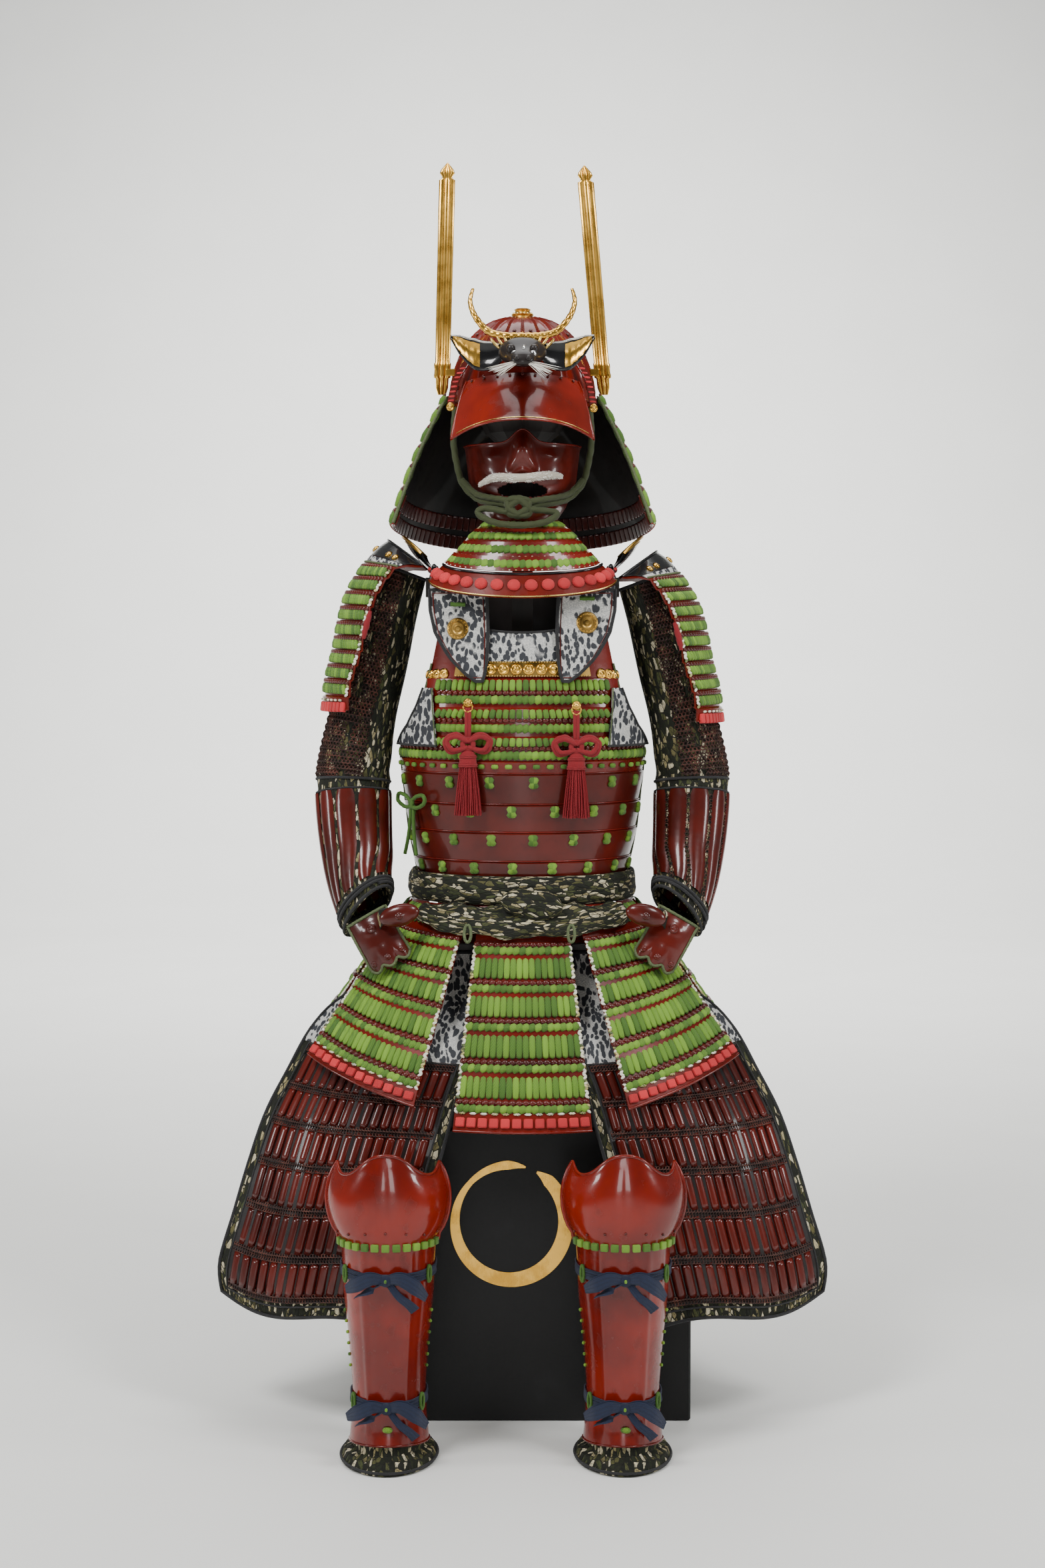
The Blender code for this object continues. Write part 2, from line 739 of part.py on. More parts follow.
def make_ear(side):
    """A leaf-shaped ear, hollowed in front, from the skull out to its tip."""
    # Share of the length, half height, dish of the middle.
    stations = (
        (0.00, 0.007, 0.000),
        (0.25, 0.020, 0.006),
        (0.55, 0.022, 0.008),
        (0.82, 0.014, 0.006),
        (1.00, 0.002, 0.001),
    )
    root = Vector((side * 0.026, -0.150, 1.583))
    tip = Vector((side * 0.106, -0.142, 1.606))
    outer, inner = [], []
    for share, tall, dish in stations:
        here = root.lerp(tip, share) - Vector((0, 0, 0.016)) * math.sin(math.pi * share)
        outer.append([here + Vector((0, dish * (1 - abs(s)), tall * s)) for s in (-1, -0.5, 0, 0.5, 1)])
        inner.append([p + Vector((0, 0.003, 0)) for p in outer[-1]])
    return wall("ear", "dark_lacquer", outer, inner)


def make_horns():
    route = (
        (-0.074, -0.128, 1.677),
        (-0.085, -0.134, 1.657),
        (-0.080, -0.139, 1.633),
        (-0.058, -0.143, 1.614),
        (-0.030, -0.146, 1.6080),
        (0.000, -0.147, 1.6075),
        (0.030, -0.146, 1.6080),
        (0.058, -0.143, 1.614),
        (0.080, -0.139, 1.633),
        (0.085, -0.134, 1.657),
        (0.074, -0.128, 1.677),
    )
    count = 15
    points = smooth_path(route, count)
    taper = [1.0 - 0.72 * abs(2 * k / (count - 1) - 1) ** 1.6 for k in range(count)]
    cord("crest_horns", "gilt", points, 0.0055, 1, taper)


def mask_point(u, v):
    """The face mask: u from cheek to cheek, v from under the eyes to below the chin."""
    half = at(((0.0, 0.088), (0.45, 0.082), (0.8, 0.066), (1.0, 0.050)), v)[0]
    depth = at(((0.0, 0.108), (0.5, 0.112), (0.8, 0.104), (1.0, 0.086)), v)[0]
    turn = math.radians(78.0 * u)
    top = 1.454 + 0.020 * math.exp(-((u / 0.14) ** 2))
    x = half * math.sin(turn) / math.sin(math.radians(78.0))
    return Vector((x, -depth * math.cos(turn), lerp(top, 1.338, v)))


def mask_form(u, v):
    """Nose, cheeks and chin, as a height over the plain mask."""
    nose = 0.024 * math.exp(-((u / 0.11) ** 2)) * math.exp(-(((v - 0.24) / 0.17) ** 2))
    cheeks = 0.006 * math.exp(-(((abs(u) - 0.42) / 0.18) ** 2)) * math.exp(-(((v - 0.22) / 0.16) ** 2))
    lip = 0.005 * math.exp(-((u / 0.35) ** 2)) * math.exp(-(((v - 0.74) / 0.07) ** 2))
    chin = 0.009 * math.exp(-((u / 0.22) ** 2)) * math.exp(-(((v - 0.93) / 0.10) ** 2))
    return nose + cheeks + lip + chin


def make_mask():
    columns = (-1.0, -0.75, -0.52, -0.34, -0.2, -0.09, 0.0, 0.09, 0.2, 0.34, 0.52, 0.75, 1.0)
    rows = [(v, 0.0) for v in (0.0, 0.12, 0.24, 0.34, 0.46, 0.58, 0.68, 0.76, 0.86, 0.94, 1.0)]
    face = panel("face", "red_lacquer", mask_point, columns, rows, 0.002, bump=mask_form, plain=9)
    mouth = ball("mouth", "red_lacquer", (0.0, -0.110, 1.391), (0.031, 0.045, 0.0095), 10, 5)
    fuse("face_mask", [face, mouth], "DIFFERENCE")


def make_moustache():
    route = (
        (-0.066, -0.0829, 1.393),
        (-0.040, -0.1113, 1.409),
        (0.000, -0.1231, 1.408),
        (0.038, -0.1113, 1.412),
        (0.060, -0.0879, 1.404),
    )
    taper = [0.35, 0.8, 1.0, 1.0, 0.85, 1.0, 1.0, 0.8, 0.35]
    cord("moustache", "white_fur", smooth_path(route, 9), 0.0070, 1, taper)


def throat_point(u, v):
    """The bib of laced rows under the chin, from cheek to cheek and down over the chest."""
    z_mid, z_end, half, front, end = along(
        (
            (1.3350, 1.3372, 0.0525, -0.0897, -0.030),
            (1.3165, 1.3200, 0.0720, -0.1160, -0.066),
            (1.2980, 1.3020, 0.0870, -0.1310, -0.080),
            (1.2750, 1.2840, 0.1030, -0.1430, -0.088),
            (1.2500, 1.2680, 0.1230, -0.1550, -0.094),
            (1.2220, 1.2480, 0.1400, -0.1680, -0.104),
        ),
        v,
    )
    turn = u * math.pi / 2
    ahead = math.cos(turn)
    return Vector((half * math.sin(turn), lerp(end, front, ahead), lerp(z_end, z_mid, ahead)))


def make_throat_guards():
    rows = [(0.0, 0.0)]
    for seam in (0.16, 0.36, 0.55):
        rows += [(seam, 0.0), (seam + 0.01, LAME_STEP)]
    rows.append((0.715, 0.0005))
    panel("throat_guard_upper", "laced_green", throat_point, spread(-1, 1, 9), rows, 0.0025)
    bosses = 16

    def dome(u, v):
        across = abs(math.sin(math.pi * bosses * (u + 1) / 2))
        return 0.006 * across * math.exp(-(((v - 0.88) / 0.045) ** 2))

    columns = spread(-1, 1, bosses * 2 + 1)
    rows = ((0.724, 0.0005), (0.82, 0.001), (0.88, 0.001), (0.94, 0.001), (1.0, 0.001))
    panel("throat_guard_lower", "red_lacquer", throat_point, columns, rows, 0.0025, bump=dome)


def make_chin_cord():
    pieces = []
    knot = Vector((-0.006, -0.1179, 1.357))
    pieces.append(ball("knot", "green_cord", knot, (0.021, 0.012, 0.014), 8, 5))
    for side in (LEFT, RIGHT):
        route = (
            (side * 0.1015, -0.046, 1.5104),
            (side * 0.1040, -0.060, 1.462),
            (side * 0.0990, -0.060, 1.425),
            (side * 0.0900, -0.054, 1.395),
            (side * 0.0700, -0.060, 1.374),
            (side * 0.0500, -0.088, 1.366),
            (side * 0.0260, -0.113, 1.361),
            tuple(knot + Vector((side * 0.008, 0.0, 0.0))),
        )
        pieces.append(tube("side", "green_cord", smooth_path(route, 10), 0.0048))
    loop = (
        (-0.022, -0.124, 1.350),
        (-0.056, -0.108, 1.356),
        (-0.066, -0.106, 1.348),
        (-0.040, -0.124, 1.334),
        (0.000, -0.134, 1.330),
        (0.036, -0.126, 1.336),
        (0.050, -0.114, 1.349),
        (0.012, -0.124, 1.354),
    )
    pieces.append(tube("loop", "green_cord", smooth_path(loop, 12), 0.0045))
    fuse("chin_cord", pieces)


def cuirass_point(back):
    """The front or back plate as a surface: u from edge to edge, v as a height."""
    neck = NECK_BACK if back else NECK_FRONT

    def place(u, z, out=0.0):
        if z > CUIRASS_ROWS[0][0]:
            share = (z - CUIRASS_ROWS[0][0]) / (neck - CUIRASS_ROWS[0][0])
            rim = neck + (0.010 if back else 0.032) * u * u
            z = lerp(CUIRASS_ROWS[0][0], rim, share)
        limit = at(ARMHOLE, z)[0]
        return torso((180.0 if back else 0.0) + u * limit * (-1 if back else 1), z, out)

    return place, neck


def make_cuirass(back):
    place, neck = cuirass_point(back)
    rows = ((neck, 0.0015), (neck - 0.006, 0.0)) + CUIRASS_ROWS
    shares = spread(-1, 1, CUIRASS_COLUMNS)
    outer = [[place(u, z, out) for u in shares] for z, out in rows]
    heights = (neck, 1.128, 1.103, 1.059, 1.016, 0.980, 0.960, 0.872, 0.803)
    inner = [[place(u, z, -PLATE_WALL) for u in spread(-1, 1, 9)] for z in heights]
    wall("cuirass_back" if back else "cuirass_front", "red_lacquer", outer, inner)


def make_breast_leather():
    place, neck = cuirass_point(False)
    lift, thick = 0.0021, 0.0018
    shares = [u for u in spread(-1, 1, CUIRASS_COLUMNS) if abs(u) < 0.7]
    outer, inner = [], []
    for z in (neck - 0.0005, neck - 0.022, 1.129, 1.106):
        inner.append([place(u, z, lift) for u in shares])
        outer.append([place(u, z, lift + thick) for u in shares])
    wall("breast_leather", "patterned_leather", outer, inner)


def make_armhole_leather(side):
    """The patterned leather corner under the arm, over the ends of the chest rows."""
    outer, inner = [], []
    for z in (1.0885, 1.066, 1.044, 1.022, 1.001):
        limit = at(ARMHOLE, z)[0] - 0.5
        start = at(((1.001, 42.0), (1.0885, 46.0)), z)[0]
        degrees = [side * lerp(start, limit, t) for t in (0.0, 0.25, 0.5, 0.75, 1.0)]
        inner.append([torso(d, z, LAME_STEP + 0.0024) for d in degrees])
        outer.append([torso(d, z, LAME_STEP + 0.0042) for d in degrees])
    wall(side_name("armhole_leather", side), "patterned_leather", outer, inner)


def make_shoulder(side):
    """The strap over the shoulder, and the black wing plate that stands on its outer edge."""
    front, rear = torso(side * 41.5, 1.186, 0.0024), torso(side * 138.5, 1.192, 0.0024)
    tangents = []
    for d in (41.5, 138.5):
        tangents.append((torso(side * (d + 2), 1.19) - torso(side * (d - 2), 1.19)).normalized())
    tangents[1].negate()
    route = (
        tuple(front),
        (side * 0.116, -0.100, 1.218),
        (side * 0.118, -0.079, 1.2450),
        (side * 0.119, -0.042, STRAP_TOP - 0.0060),
        (side * 0.119, 0.000, STRAP_TOP - STRAP_WALL / 2),
        (side * 0.119, 0.042, STRAP_TOP - 0.0050),
        (side * 0.118, 0.080, 1.2470),
        (side * 0.116, 0.101, 1.222),
        tuple(rear),
    )
    path = smooth_path(route, 11)
    lie = []
    for k in range(11):
        end = tangents[0] if k < 5 else tangents[1]
        lie.append(tuple(end.lerp(Vector((side, 0, 0)), 1.0 - abs(k / 5 - 1) ** 2)))
    band(side_name("shoulder_strap", side), "dark_lacquer", path, lie, [0.044] * 11, STRAP_WALL)
    outer, inner = [], []
    for turn in spread(-72, 72, 9):
        t = math.radians(turn)
        root = Vector((side * 0.1375, 0.088 * math.sin(t), STRAP_TOP + 0.0005 + 0.006 * (1 - math.cos(t))))
        reach = side * 0.046 * math.cos(t)
        edge = root + Vector((reach, 0.006 * math.sin(t), 0.002 + 0.054 * math.cos(t) ** 0.8))
        swell = Vector((side * 0.007 * math.cos(t), 0, 0))
        rail = [root, root.lerp(edge, 0.5) + swell, edge]
        outer.append(rail)
        inner.append([p - Vector((side * 0.0022, 0, 0)) for p in rail])
    wall(side_name("shoulder_wing", side), "dark_lacquer", outer, inner)


def make_breast_flap(side):
    """A hanging guard for the strap's fastening: a pointed shield with a boss."""
    # Height, near edge and far edge from the middle line.
    outline = (
        (1.236, 0.053, 0.140),
        (1.205, 0.051, 0.139),
        (1.170, 0.050, 0.131),
        (1.135, 0.052, 0.110),
        (1.112, 0.055, 0.088),
        (1.098, 0.060, 0.068),
    )
    outer, inner = [], []
    for z, near, far in outline:
        xs = [side * lerp(near, far, t) for t in (0.0, 0.33, 0.67, 1.0)]
        base = [flap_back(x, z) for x in xs]
        inner.append(base)
        outer.append([p + Vector((0, -0.0035, 0)) for p in base])
    shield = wall("shield", "dark_lacquer", outer, inner)
    z = 1.177 if side == LEFT else 1.186
    here = flap_back(side * 0.096, z) + Vector((0, -0.003, 0))
    boss = ball("boss", "dark_lacquer", here, (0.0165, 0.009, 0.0165), 8, 6)
    fuse(side_name("breast_flap", side), [shield, boss])


def flap_back(x, z):
    """A point of the breast flap's back, clear of the chest behind it."""
    return Vector((x, -0.1433 + 0.9 * x * x + 0.12 * (z - 1.10), z))


def make_tassel(side):
    """A crimson cord knot with two loops, and a skirt of strands under its head."""
    x = -0.081 if side == LEFT else 0.080
    rise = 0.0 if side == LEFT else -0.004
    y = -0.1493
    centre = Vector((x, y, 1.006 + rise))
    pieces = [ball("knot", "crimson_silk", centre, (0.012, 0.0065, 0.011), 6, 4)]
    for way in (-1, 1):
        route = (
            centre + Vector((0.0, 0.0, 0.0042)),
            centre + Vector((way * 0.018, -0.002, 0.015)),
            centre + Vector((way * 0.034, 0.0, 0.005)),
            centre + Vector((way * 0.026, 0.001, -0.012)),
            centre + Vector((0.0, 0.0, -0.0042)),
        )
        pieces.append(tube("bow", "crimson_silk", smooth_path([tuple(p) for p in route], 8), 0.0034, 0))
    hanger = [centre, centre + Vector((0, 0.001, 0.030)), centre + Vector((0, 0.003, 0.054))]
    pieces.append(tube("hanger", "crimson_silk", hanger, 0.0036, 0))
    head = [(0.0075, -0.006), (0.0125, -0.020), (0.0135, -0.032)]
    pieces.append(turned("head", "crimson_silk", head, centre, 8))
    strands = bmesh.new()
    count = 15
    for k in range(count):
        spread_out = 0.0112 * math.sqrt((k + 0.5) / count)
        turn = k * 2.39996
        root = Vector((spread_out * math.cos(turn), spread_out * 0.55 * math.sin(turn), -0.028))
        end = Vector((root.x * 1.35, root.y * 1.3, -0.104 - 0.002 * math.cos(3 * turn)))
        aim = end - root
        lie = aim.to_track_quat("Z", "Y").to_matrix().to_4x4()
        place = Matrix.Translation(centre + (root + end) / 2) @ lie
        bmesh.ops.create_cone(
            strands, cap_ends=True, segments=3, radius1=0.0012, radius2=0.0012, depth=aim.length, matrix=place
        )
    mesh = bpy.data.meshes.new("strands")
    strands.to_mesh(mesh)
    strands.free()
    mesh.materials.append(finish("crimson_silk"))
    skirt = bpy.data.objects.new("strands", mesh)
    ARMOUR.objects.link(skirt)
    pieces.append(skirt)
    fuse(side_name("chest_tassel", side), pieces)


def make_side_tie():
    """The green cord that closes the cuirass at the left side: knot, two loops, two tails."""
    knot = torso(-62.0, 0.912, 0.0118)
    pieces = [ball("knot", "green_cord", knot, (0.009, 0.007, 0.008), 8, 5)]
    along_side = (torso(-58.0, 0.912) - torso(-66.0, 0.912)).normalized()
    outward = (torso(-62.0, 0.912, 0.01) - torso(-62.0, 0.912)).normalized()
    # Loop of the bow: distance along the side, height.
    bow = (
        (0.001, 0.0038),
        (0.016, 0.0120),
        (0.036, 0.0140),
        (0.038, 0.0030),
        (0.018, -0.0050),
        (0.001, -0.0038),
    )
    for way in (-1, 1):
        route = []
        for run, rise in bow:
            route.append(tuple(knot + along_side * way * run + Vector((0, 0, rise)) + outward * 0.002))
        pieces.append(tube("loop", "green_cord", smooth_path(route, 10), 0.0030, 0))
    fuse("side_tie", pieces)
    for way, name in ((-1, "side_tail_back"), (1, "side_tail_front")):
        start = knot + along_side * way * 0.0040 + Vector((0, 0, -0.0080))
        route = []
        for share in spread(0, 1, 5):
            swing = along_side * way * 0.013 * share * share + outward * 0.003 * share
            route.append(tuple(start + swing + Vector((0, 0, -0.069 * share))))
        cord(name, "green_cord", smooth_path(route, 7), 0.0028)


def sash_ring(degrees):
    """The section of the upper sash at an angle, with its soft folds."""
    swell = 0.0012 * math.sin(math.radians(degrees) * 5) + 0.0008 * math.sin(math.radians(degrees) * 11 + 1)
    middle, half = (SASH_TOP + SASH_BOTTOM) / 2, (SASH_TOP - SASH_BOTTOM) / 2
    far = SASH_OUT + swell
    crease = 0.004
    section = (
        (SASH_IN, -0.8 * half),
        (SASH_IN + 0.002, -half),
        (far - 0.002, -half),
        (far, -0.45 * half),
        (far - crease, -0.05 * half + swell),
        (far, 0.4 * half),
        (far - 0.003, 0.95 * half),
        (SASH_IN, 0.8 * half),
    )
    return [torso(degrees, 0.77, a) + Vector((0, 0, middle - 0.77 + b)) for a, b in section]


def make_sash():
    ahead = spread(-89.88, 89.88, CUIRASS_COLUMNS)
    rings = [sash_ring(degrees) for degrees in ahead + [180.0 + d for d in ahead[1:-1]]]
    count = len(rings[0])
    verts = [p for ring in rings for p in ring]
    faces = []
    for i in range(len(rings)):
        here, there = i * count, (i + 1) % len(rings) * count
        for j in range(count):
            after = (j + 1) % count
            faces.append((here + j, here + after, there + after, there + j))
    solid("sash_upper", verts, faces, "brocade")
    rings = []
    for degrees in spread(-58, 58, 11):
        far = abs(degrees) / 58
        lean = lerp(0.42, 0.72, min(1.0, far * 1.1))
        z = 0.7405 + 0.010 * far * far
        swell = 1.0 - 0.45 * far**3
        outward = (torso(degrees, 0.77, 0.01) - torso(degrees, 0.77)).normalized()
        here = torso(degrees, 0.77, 0.0127 + 0.0085 * swell + lean * (TASSET_TOP - z) + 0.0045 * far)
        here.z = z
        up = (Vector((0, 0, 1)) - outward * lean).normalized()
        away = up.cross(outward).cross(up)
        rings.append(ring_of(here, away * 0.0085 * swell, up * 0.0215 * swell, 8, math.pi / 8))
    roll = loft("roll", "brocade", rings)
    turn = Matrix.Rotation(0.12, 4, "Y")
    knot = ball("knot", "brocade", (0.014, -0.1695, 0.769), (0.044, 0.0125, 0.021), 10, 6, turn)
    fuse("sash_lower", [roll, knot])


def make_tassets():
    for name, degrees, first, second in TASSETS:
        middle = torso(degrees, 0.77, 0.0105)
        tangent = (torso(degrees + 2.0, 0.77) - torso(degrees - 2.0, 0.77)).normalized()
        start = middle - tangent * TASSET_TOP_WIDTH / 2
        end = middle + tangent * TASSET_TOP_WIDTH / 2
        corners = [Vector((p.x, p.y, TASSET_TOP)) for p in (start, end)]
        lower = [Vector(first), Vector(second)]
        if (lower[0] - corners[0]).length > (lower[1] - corners[0]).length:
            lower.reverse()
        outward = Vector((middle.x, middle.y, 0)).normalized()

        def place(u, v, corners=corners, lower=lower, outward=outward):
            upper = corners[0].lerp(corners[1], u)
            hem = lower[0].lerp(lower[1], u)
            arch = lerp(0.013, 0.016, v) * (1 - (2 * u - 1) ** 2)
            sink = lerp(0.013, 0.006, v)
            return upper.lerp(hem, v) + outward * (arch - sink)

        panel(name, "laced_green", place, spread(0, 1, 5), TASSET_ROWS, TASSET_WALL, plain=3)


def thigh_point(side):
    def place(u, v):
        z_in, x_in, y_in, z_out, x_out, y_out = along(THIGH_ROWS, v)
        inner = Vector((side * x_in, y_in, z_in))
        outer = Vector((side * x_out, y_out, z_out))
        bulge = THIGH_BULGE * math.sin(math.pi * min(max(u, 0.0), 1.0)) * min(1.0, v * 4)
        dip = 0.012 * math.sin(2 * math.pi * u) * v**3
        return inner.lerp(outer, u) + Vector((side * bulge * 0.25, -bulge, dip))

    return place


def make_thigh_guard(side):
    count = SPLINTS_ACROSS * 2
    shares = [0.0] + spread(SPLINT_BORDER, 1 - SPLINT_BORDER, count + 1) + [1.0]
    rows = [(v, 0.0) for v in THIGH_SECTIONS]

    def splints(u, v):
        place = (u - SPLINT_BORDER) / (1 - 2 * SPLINT_BORDER) * SPLINTS_ACROSS
        plain = not 0.0 < place < SPLINTS_ACROSS or v in (THIGH_SECTIONS[0], THIGH_SECTIONS[-1])
        return 0.0 if plain else SPLINT_RISE * abs(math.sin(math.pi * place))

    name = side_name("thigh_guard", side)
    panel(name, "splinted_mail", thigh_point(side), shares, rows, THIGH_WALL, bump=splints, plain=9)


def sode_point(side):
    drop = SODE_DROP_RIGHT if side == RIGHT else 0.0

    def place(u, v):
        z_mid, x_out, x_edge, z_edge = along(SODE_ROWS, v)
        turn = math.pi * u
        round_out = math.sin(turn) ** 0.8 if 0.0 < u < 1.0 else 0.0
        y = lerp(SODE_FRONT, SODE_BACK, u) * lerp(0.86, 1.0, min(1.0, v * 4))
        return Vector((side * lerp(x_edge, x_out, round_out), y, lerp(z_edge, z_mid, round_out) + drop))

    return place


def make_sode(side):
    rows = [(0.0, 0.0015), (0.04, 0.0), (0.15, 0.0)]
    for k in range(SODE_LAMES):
        top = lerp(SODE_TOP_SHARE, 1.0, k / SODE_LAMES)
        bottom = lerp(SODE_TOP_SHARE, 1.0, (k + 1) / SODE_LAMES)
        rows += [(top + 0.004, 0.0036), (bottom - 0.004, 0.0)]
    shares = (0.0, 0.10, 0.28, 0.5, 0.72, 0.90, 1.0)
    name, axis = side_name("sode", side), (side * 0.1, 0.0)
    panel(name, "laced_green", sode_point(side), shares, rows, SODE_WALL, axis, plain=7)


def sleeve_frame(side, share):
    """Centre and half axes of the sleeve at a share of its length."""
    x, y, z, half, deep = along(SLEEVE_RINGS, share)
    before, after = along(SLEEVE_RINGS, max(0.0, share - 0.035)), along(SLEEVE_RINGS, min(1.0, share + 0.035))
    ahead = Vector((side * (after[0] - before[0]), after[1] - before[1], after[2] - before[2])).normalized()
    lean = CUFF_LEAN * max(0.0, share - 0.80) / 0.20
    ahead = (ahead + Vector((-side * lean, 0.0, 0.0))).normalized()
    across = Vector((0, 1, 0)).cross(ahead).normalized()
    forward = ahead.cross(across).normalized()
    shift, lift, swell = (value * max(0.0, 1.0 - 5.0 * share) for value in SLEEVE_TOP[side])
    return Vector((side * (x + shift), y, z + lift)), across * (half + swell), forward * deep


def make_sleeve(side):
    """A tube of mail, gathered at the elbow, with splints down the forearm."""
    sides = FOREARM_SPLINTS * 2
    outer, inner = [], []
    for share, rise in SLEEVE_SECTIONS:
        centre, across, forward = sleeve_frame(side, share)
        outer.append([])
        for j in range(sides):
            t = 2 * math.pi * j / sides
            away = across * math.cos(t) + forward * math.sin(t)
            outer[-1].append(centre + away + away.normalized() * (rise * (j % 2) if rise > 0 else rise))
    for share, _ in SLEEVE_SECTIONS:
        centre, across, forward = sleeve_frame(side, share)
        away = [across * math.cos(math.pi * j / 5) + forward * math.sin(math.pi * j / 5) for j in range(10)]
        inner.append([centre + a - a.normalized() * SLEEVE_WALL for a in away])
    wall(side_name("sleeve", side), "splinted_mail", outer, inner, ring=True)


def make_hand_guard(side):
    """A curved plate over the back of the hand, with three finger scallops, and the thumb's plate."""
    wrist = Vector((side * HAND_WRIST[0], HAND_WRIST[1], HAND_WRIST[2]))
    aim = Vector((side * HAND_AIM[0], HAND_AIM[1], HAND_AIM[2])).normalized()
    front = (Vector((0, -1, 0)) + aim * aim.y).normalized()
    across = aim.cross(front) * side

    def place(u, v):
        turn = (u - 0.5) * HAND_WIDTH / HAND_RADIUS * 1.15
        scallop = 0.0085 * abs(math.sin(3 * math.pi * u)) * max(0.0, v - 0.55) / 0.45
        reach = (HAND_LENGTH - 0.012) * v + scallop
        return (
            wrist
            + aim * reach
            + across * HAND_RADIUS * math.sin(turn)
            + front * (HAND_RADIUS * (math.cos(turn) - 1.0) + 0.010 * math.sin(math.pi * v * 0.8))
        )

    shares = spread(0, 1, 13)
    rows = ((0.0, 0.0), (0.5, 0.001), (1.0, 0.0))
    plate = panel("plate", "red_lacquer", place, shares, rows, 0.003, (wrist.x, wrist.y + 0.2), plain=13)
    thumb = Vector((side * THUMB_AT[0], THUMB_AT[1], THUMB_AT[2]))
    turn = Matrix.Rotation(side * 0.25, 4, "Y")
    lobe = ball("thumb", "red_lacquer", thumb, (0.031, 0.011, 0.017), 8, 6, turn)
    inside = thumb + Vector((0, 0.0035, 0))
    hollow = ball("hollow", "red_lacquer", inside, (0.0285, 0.0108, 0.0145), 8, 6, turn)
    low, high = thumb + Vector((-0.05, 0.001, -0.05)), thumb + Vector((0.05, 0.03, 0.05))
    behind = block("behind", "red_lacquer", low, high)
    cup = fuse("cup", [lobe, hollow, behind], "DIFFERENCE")
    strip = [
        thumb + Vector((side * 0.012, 0.0, -0.002)),
        thumb.lerp(wrist, 0.5) + Vector((0, -0.003, -0.002)),
        wrist + aim * 0.012 + Vector((side * -0.014, -0.002, 0)),
    ]
    strap = band("strap", "brocade", strip, (0, 0, 1), [0.024, 0.022, 0.022], 0.0028, 2)
    fuse(side_name("hand_guard", side), [plate, cup, strap])


def leg_ring(side, half, depth, degrees, out=0.0):
    turn = math.radians(degrees)
    normal = Vector((math.sin(turn) / half, -math.cos(turn) / depth, 0.0)).normalized()
    return Vector((LEG_X[side] + half * math.sin(turn), LEG_Y - depth * math.cos(turn), 0.0)) + normal * out


def leg_point(side, degrees, z, out=0.0):
    half, depth = at(SHIN_ROWS, z)
    here = leg_ring(side, half, depth, degrees, out)
    here.z = z
    return here


def make_shin(side):
    degrees = spread(-SHIN_REACH, SHIN_REACH, SHIN_COLUMNS)
    outer, inner = [], []
    for z, half, depth in SHIN_ROWS:
        foot = z == SHIN_ROWS[-1][0]
        arch = [Vector((0, 0, 0.010 * math.cos(math.radians(d)) if foot else 0.0)) for d in degrees]
        outer.append([leg_point(side, d, z, 0.001) + a for d, a in zip(degrees, arch)])
        inner.append([leg_point(side, d, z, -SHIN_WALL + 0.001) + a for d, a in zip(degrees, arch)])
    wall(side_name("shin_plate", side), "red_lacquer", outer, inner)
    make_shin_cloth(side)
    make_knee(side)
    make_shin_tie(side, "upper", 0.274)
    make_shin_tie(side, "lower", 0.090)


def make_shin_cloth(side):
    """The lining behind the plate, spreading over the foot to the floor."""
    degrees = spread(-SHIN_REACH, SHIN_REACH, SHIN_COLUMNS)
    degrees = [degrees[0] - 16.0] + degrees + [degrees[-1] + 16.0]
    few = spread(degrees[0], degrees[-1], 7)
    heights = (0.322, 0.240, 0.105, 0.060, 0.040)
    outer = [[leg_point(side, d, z, -SHIN_WALL - GAP) for d in degrees] for z in heights]
    inner = [[leg_point(side, d, z, -SHIN_WALL - 0.0024) for d in few] for z in heights[::2]]
    for z, half, depth in FOOT_ROWS:
        outer.append([leg_ring(side, half, depth, d) + Vector((0, 0, z)) for d in degrees])
        low = max(0.0, z - 0.003)
        inner.append([leg_ring(side, half, depth, d, -0.003) + Vector((0, 0, low)) for d in few])
    wall(side_name("shin_cloth", side), "brocade", outer, inner)


def make_knee(side):
    """The knee plate: a middle lobe and two wings over a straight lower edge."""

    def place(u, v):
        lobes = 0.029 * math.exp(-((u / 0.34) ** 2)) + 0.016 * math.exp(-(((abs(u) - 0.93) / 0.22) ** 2))
        top = KNEE_TOP - 0.030 + lobes
        z = lerp(top, KNEE_BOTTOM, v)
        fullness = 0.0165 * math.sin(math.pi * min(1.0, v / 0.9)) ** 0.7 if v < 0.9 else 0.0
        base = leg_point(side, 84.0 * u, min(z, SHIN_ROWS[0][0]), 0.0045 + fullness * (0.35 + 0.65 * abs(u)))
        return Vector((base.x, base.y + 0.006 * (1 - v), z))

    rows = ((0.0, 0.0015), (0.07, 0.0), (0.3, 0.0), (0.6, 0.0), (0.9, 0.0), (1.0, 0.0015))
    shares = spread(-1, 1, 13)
    name, axis = side_name("knee_plate", side), (LEG_X[side], LEG_Y)
    panel(name, "red_lacquer", place, shares, rows, 0.002, axis, plain=13)


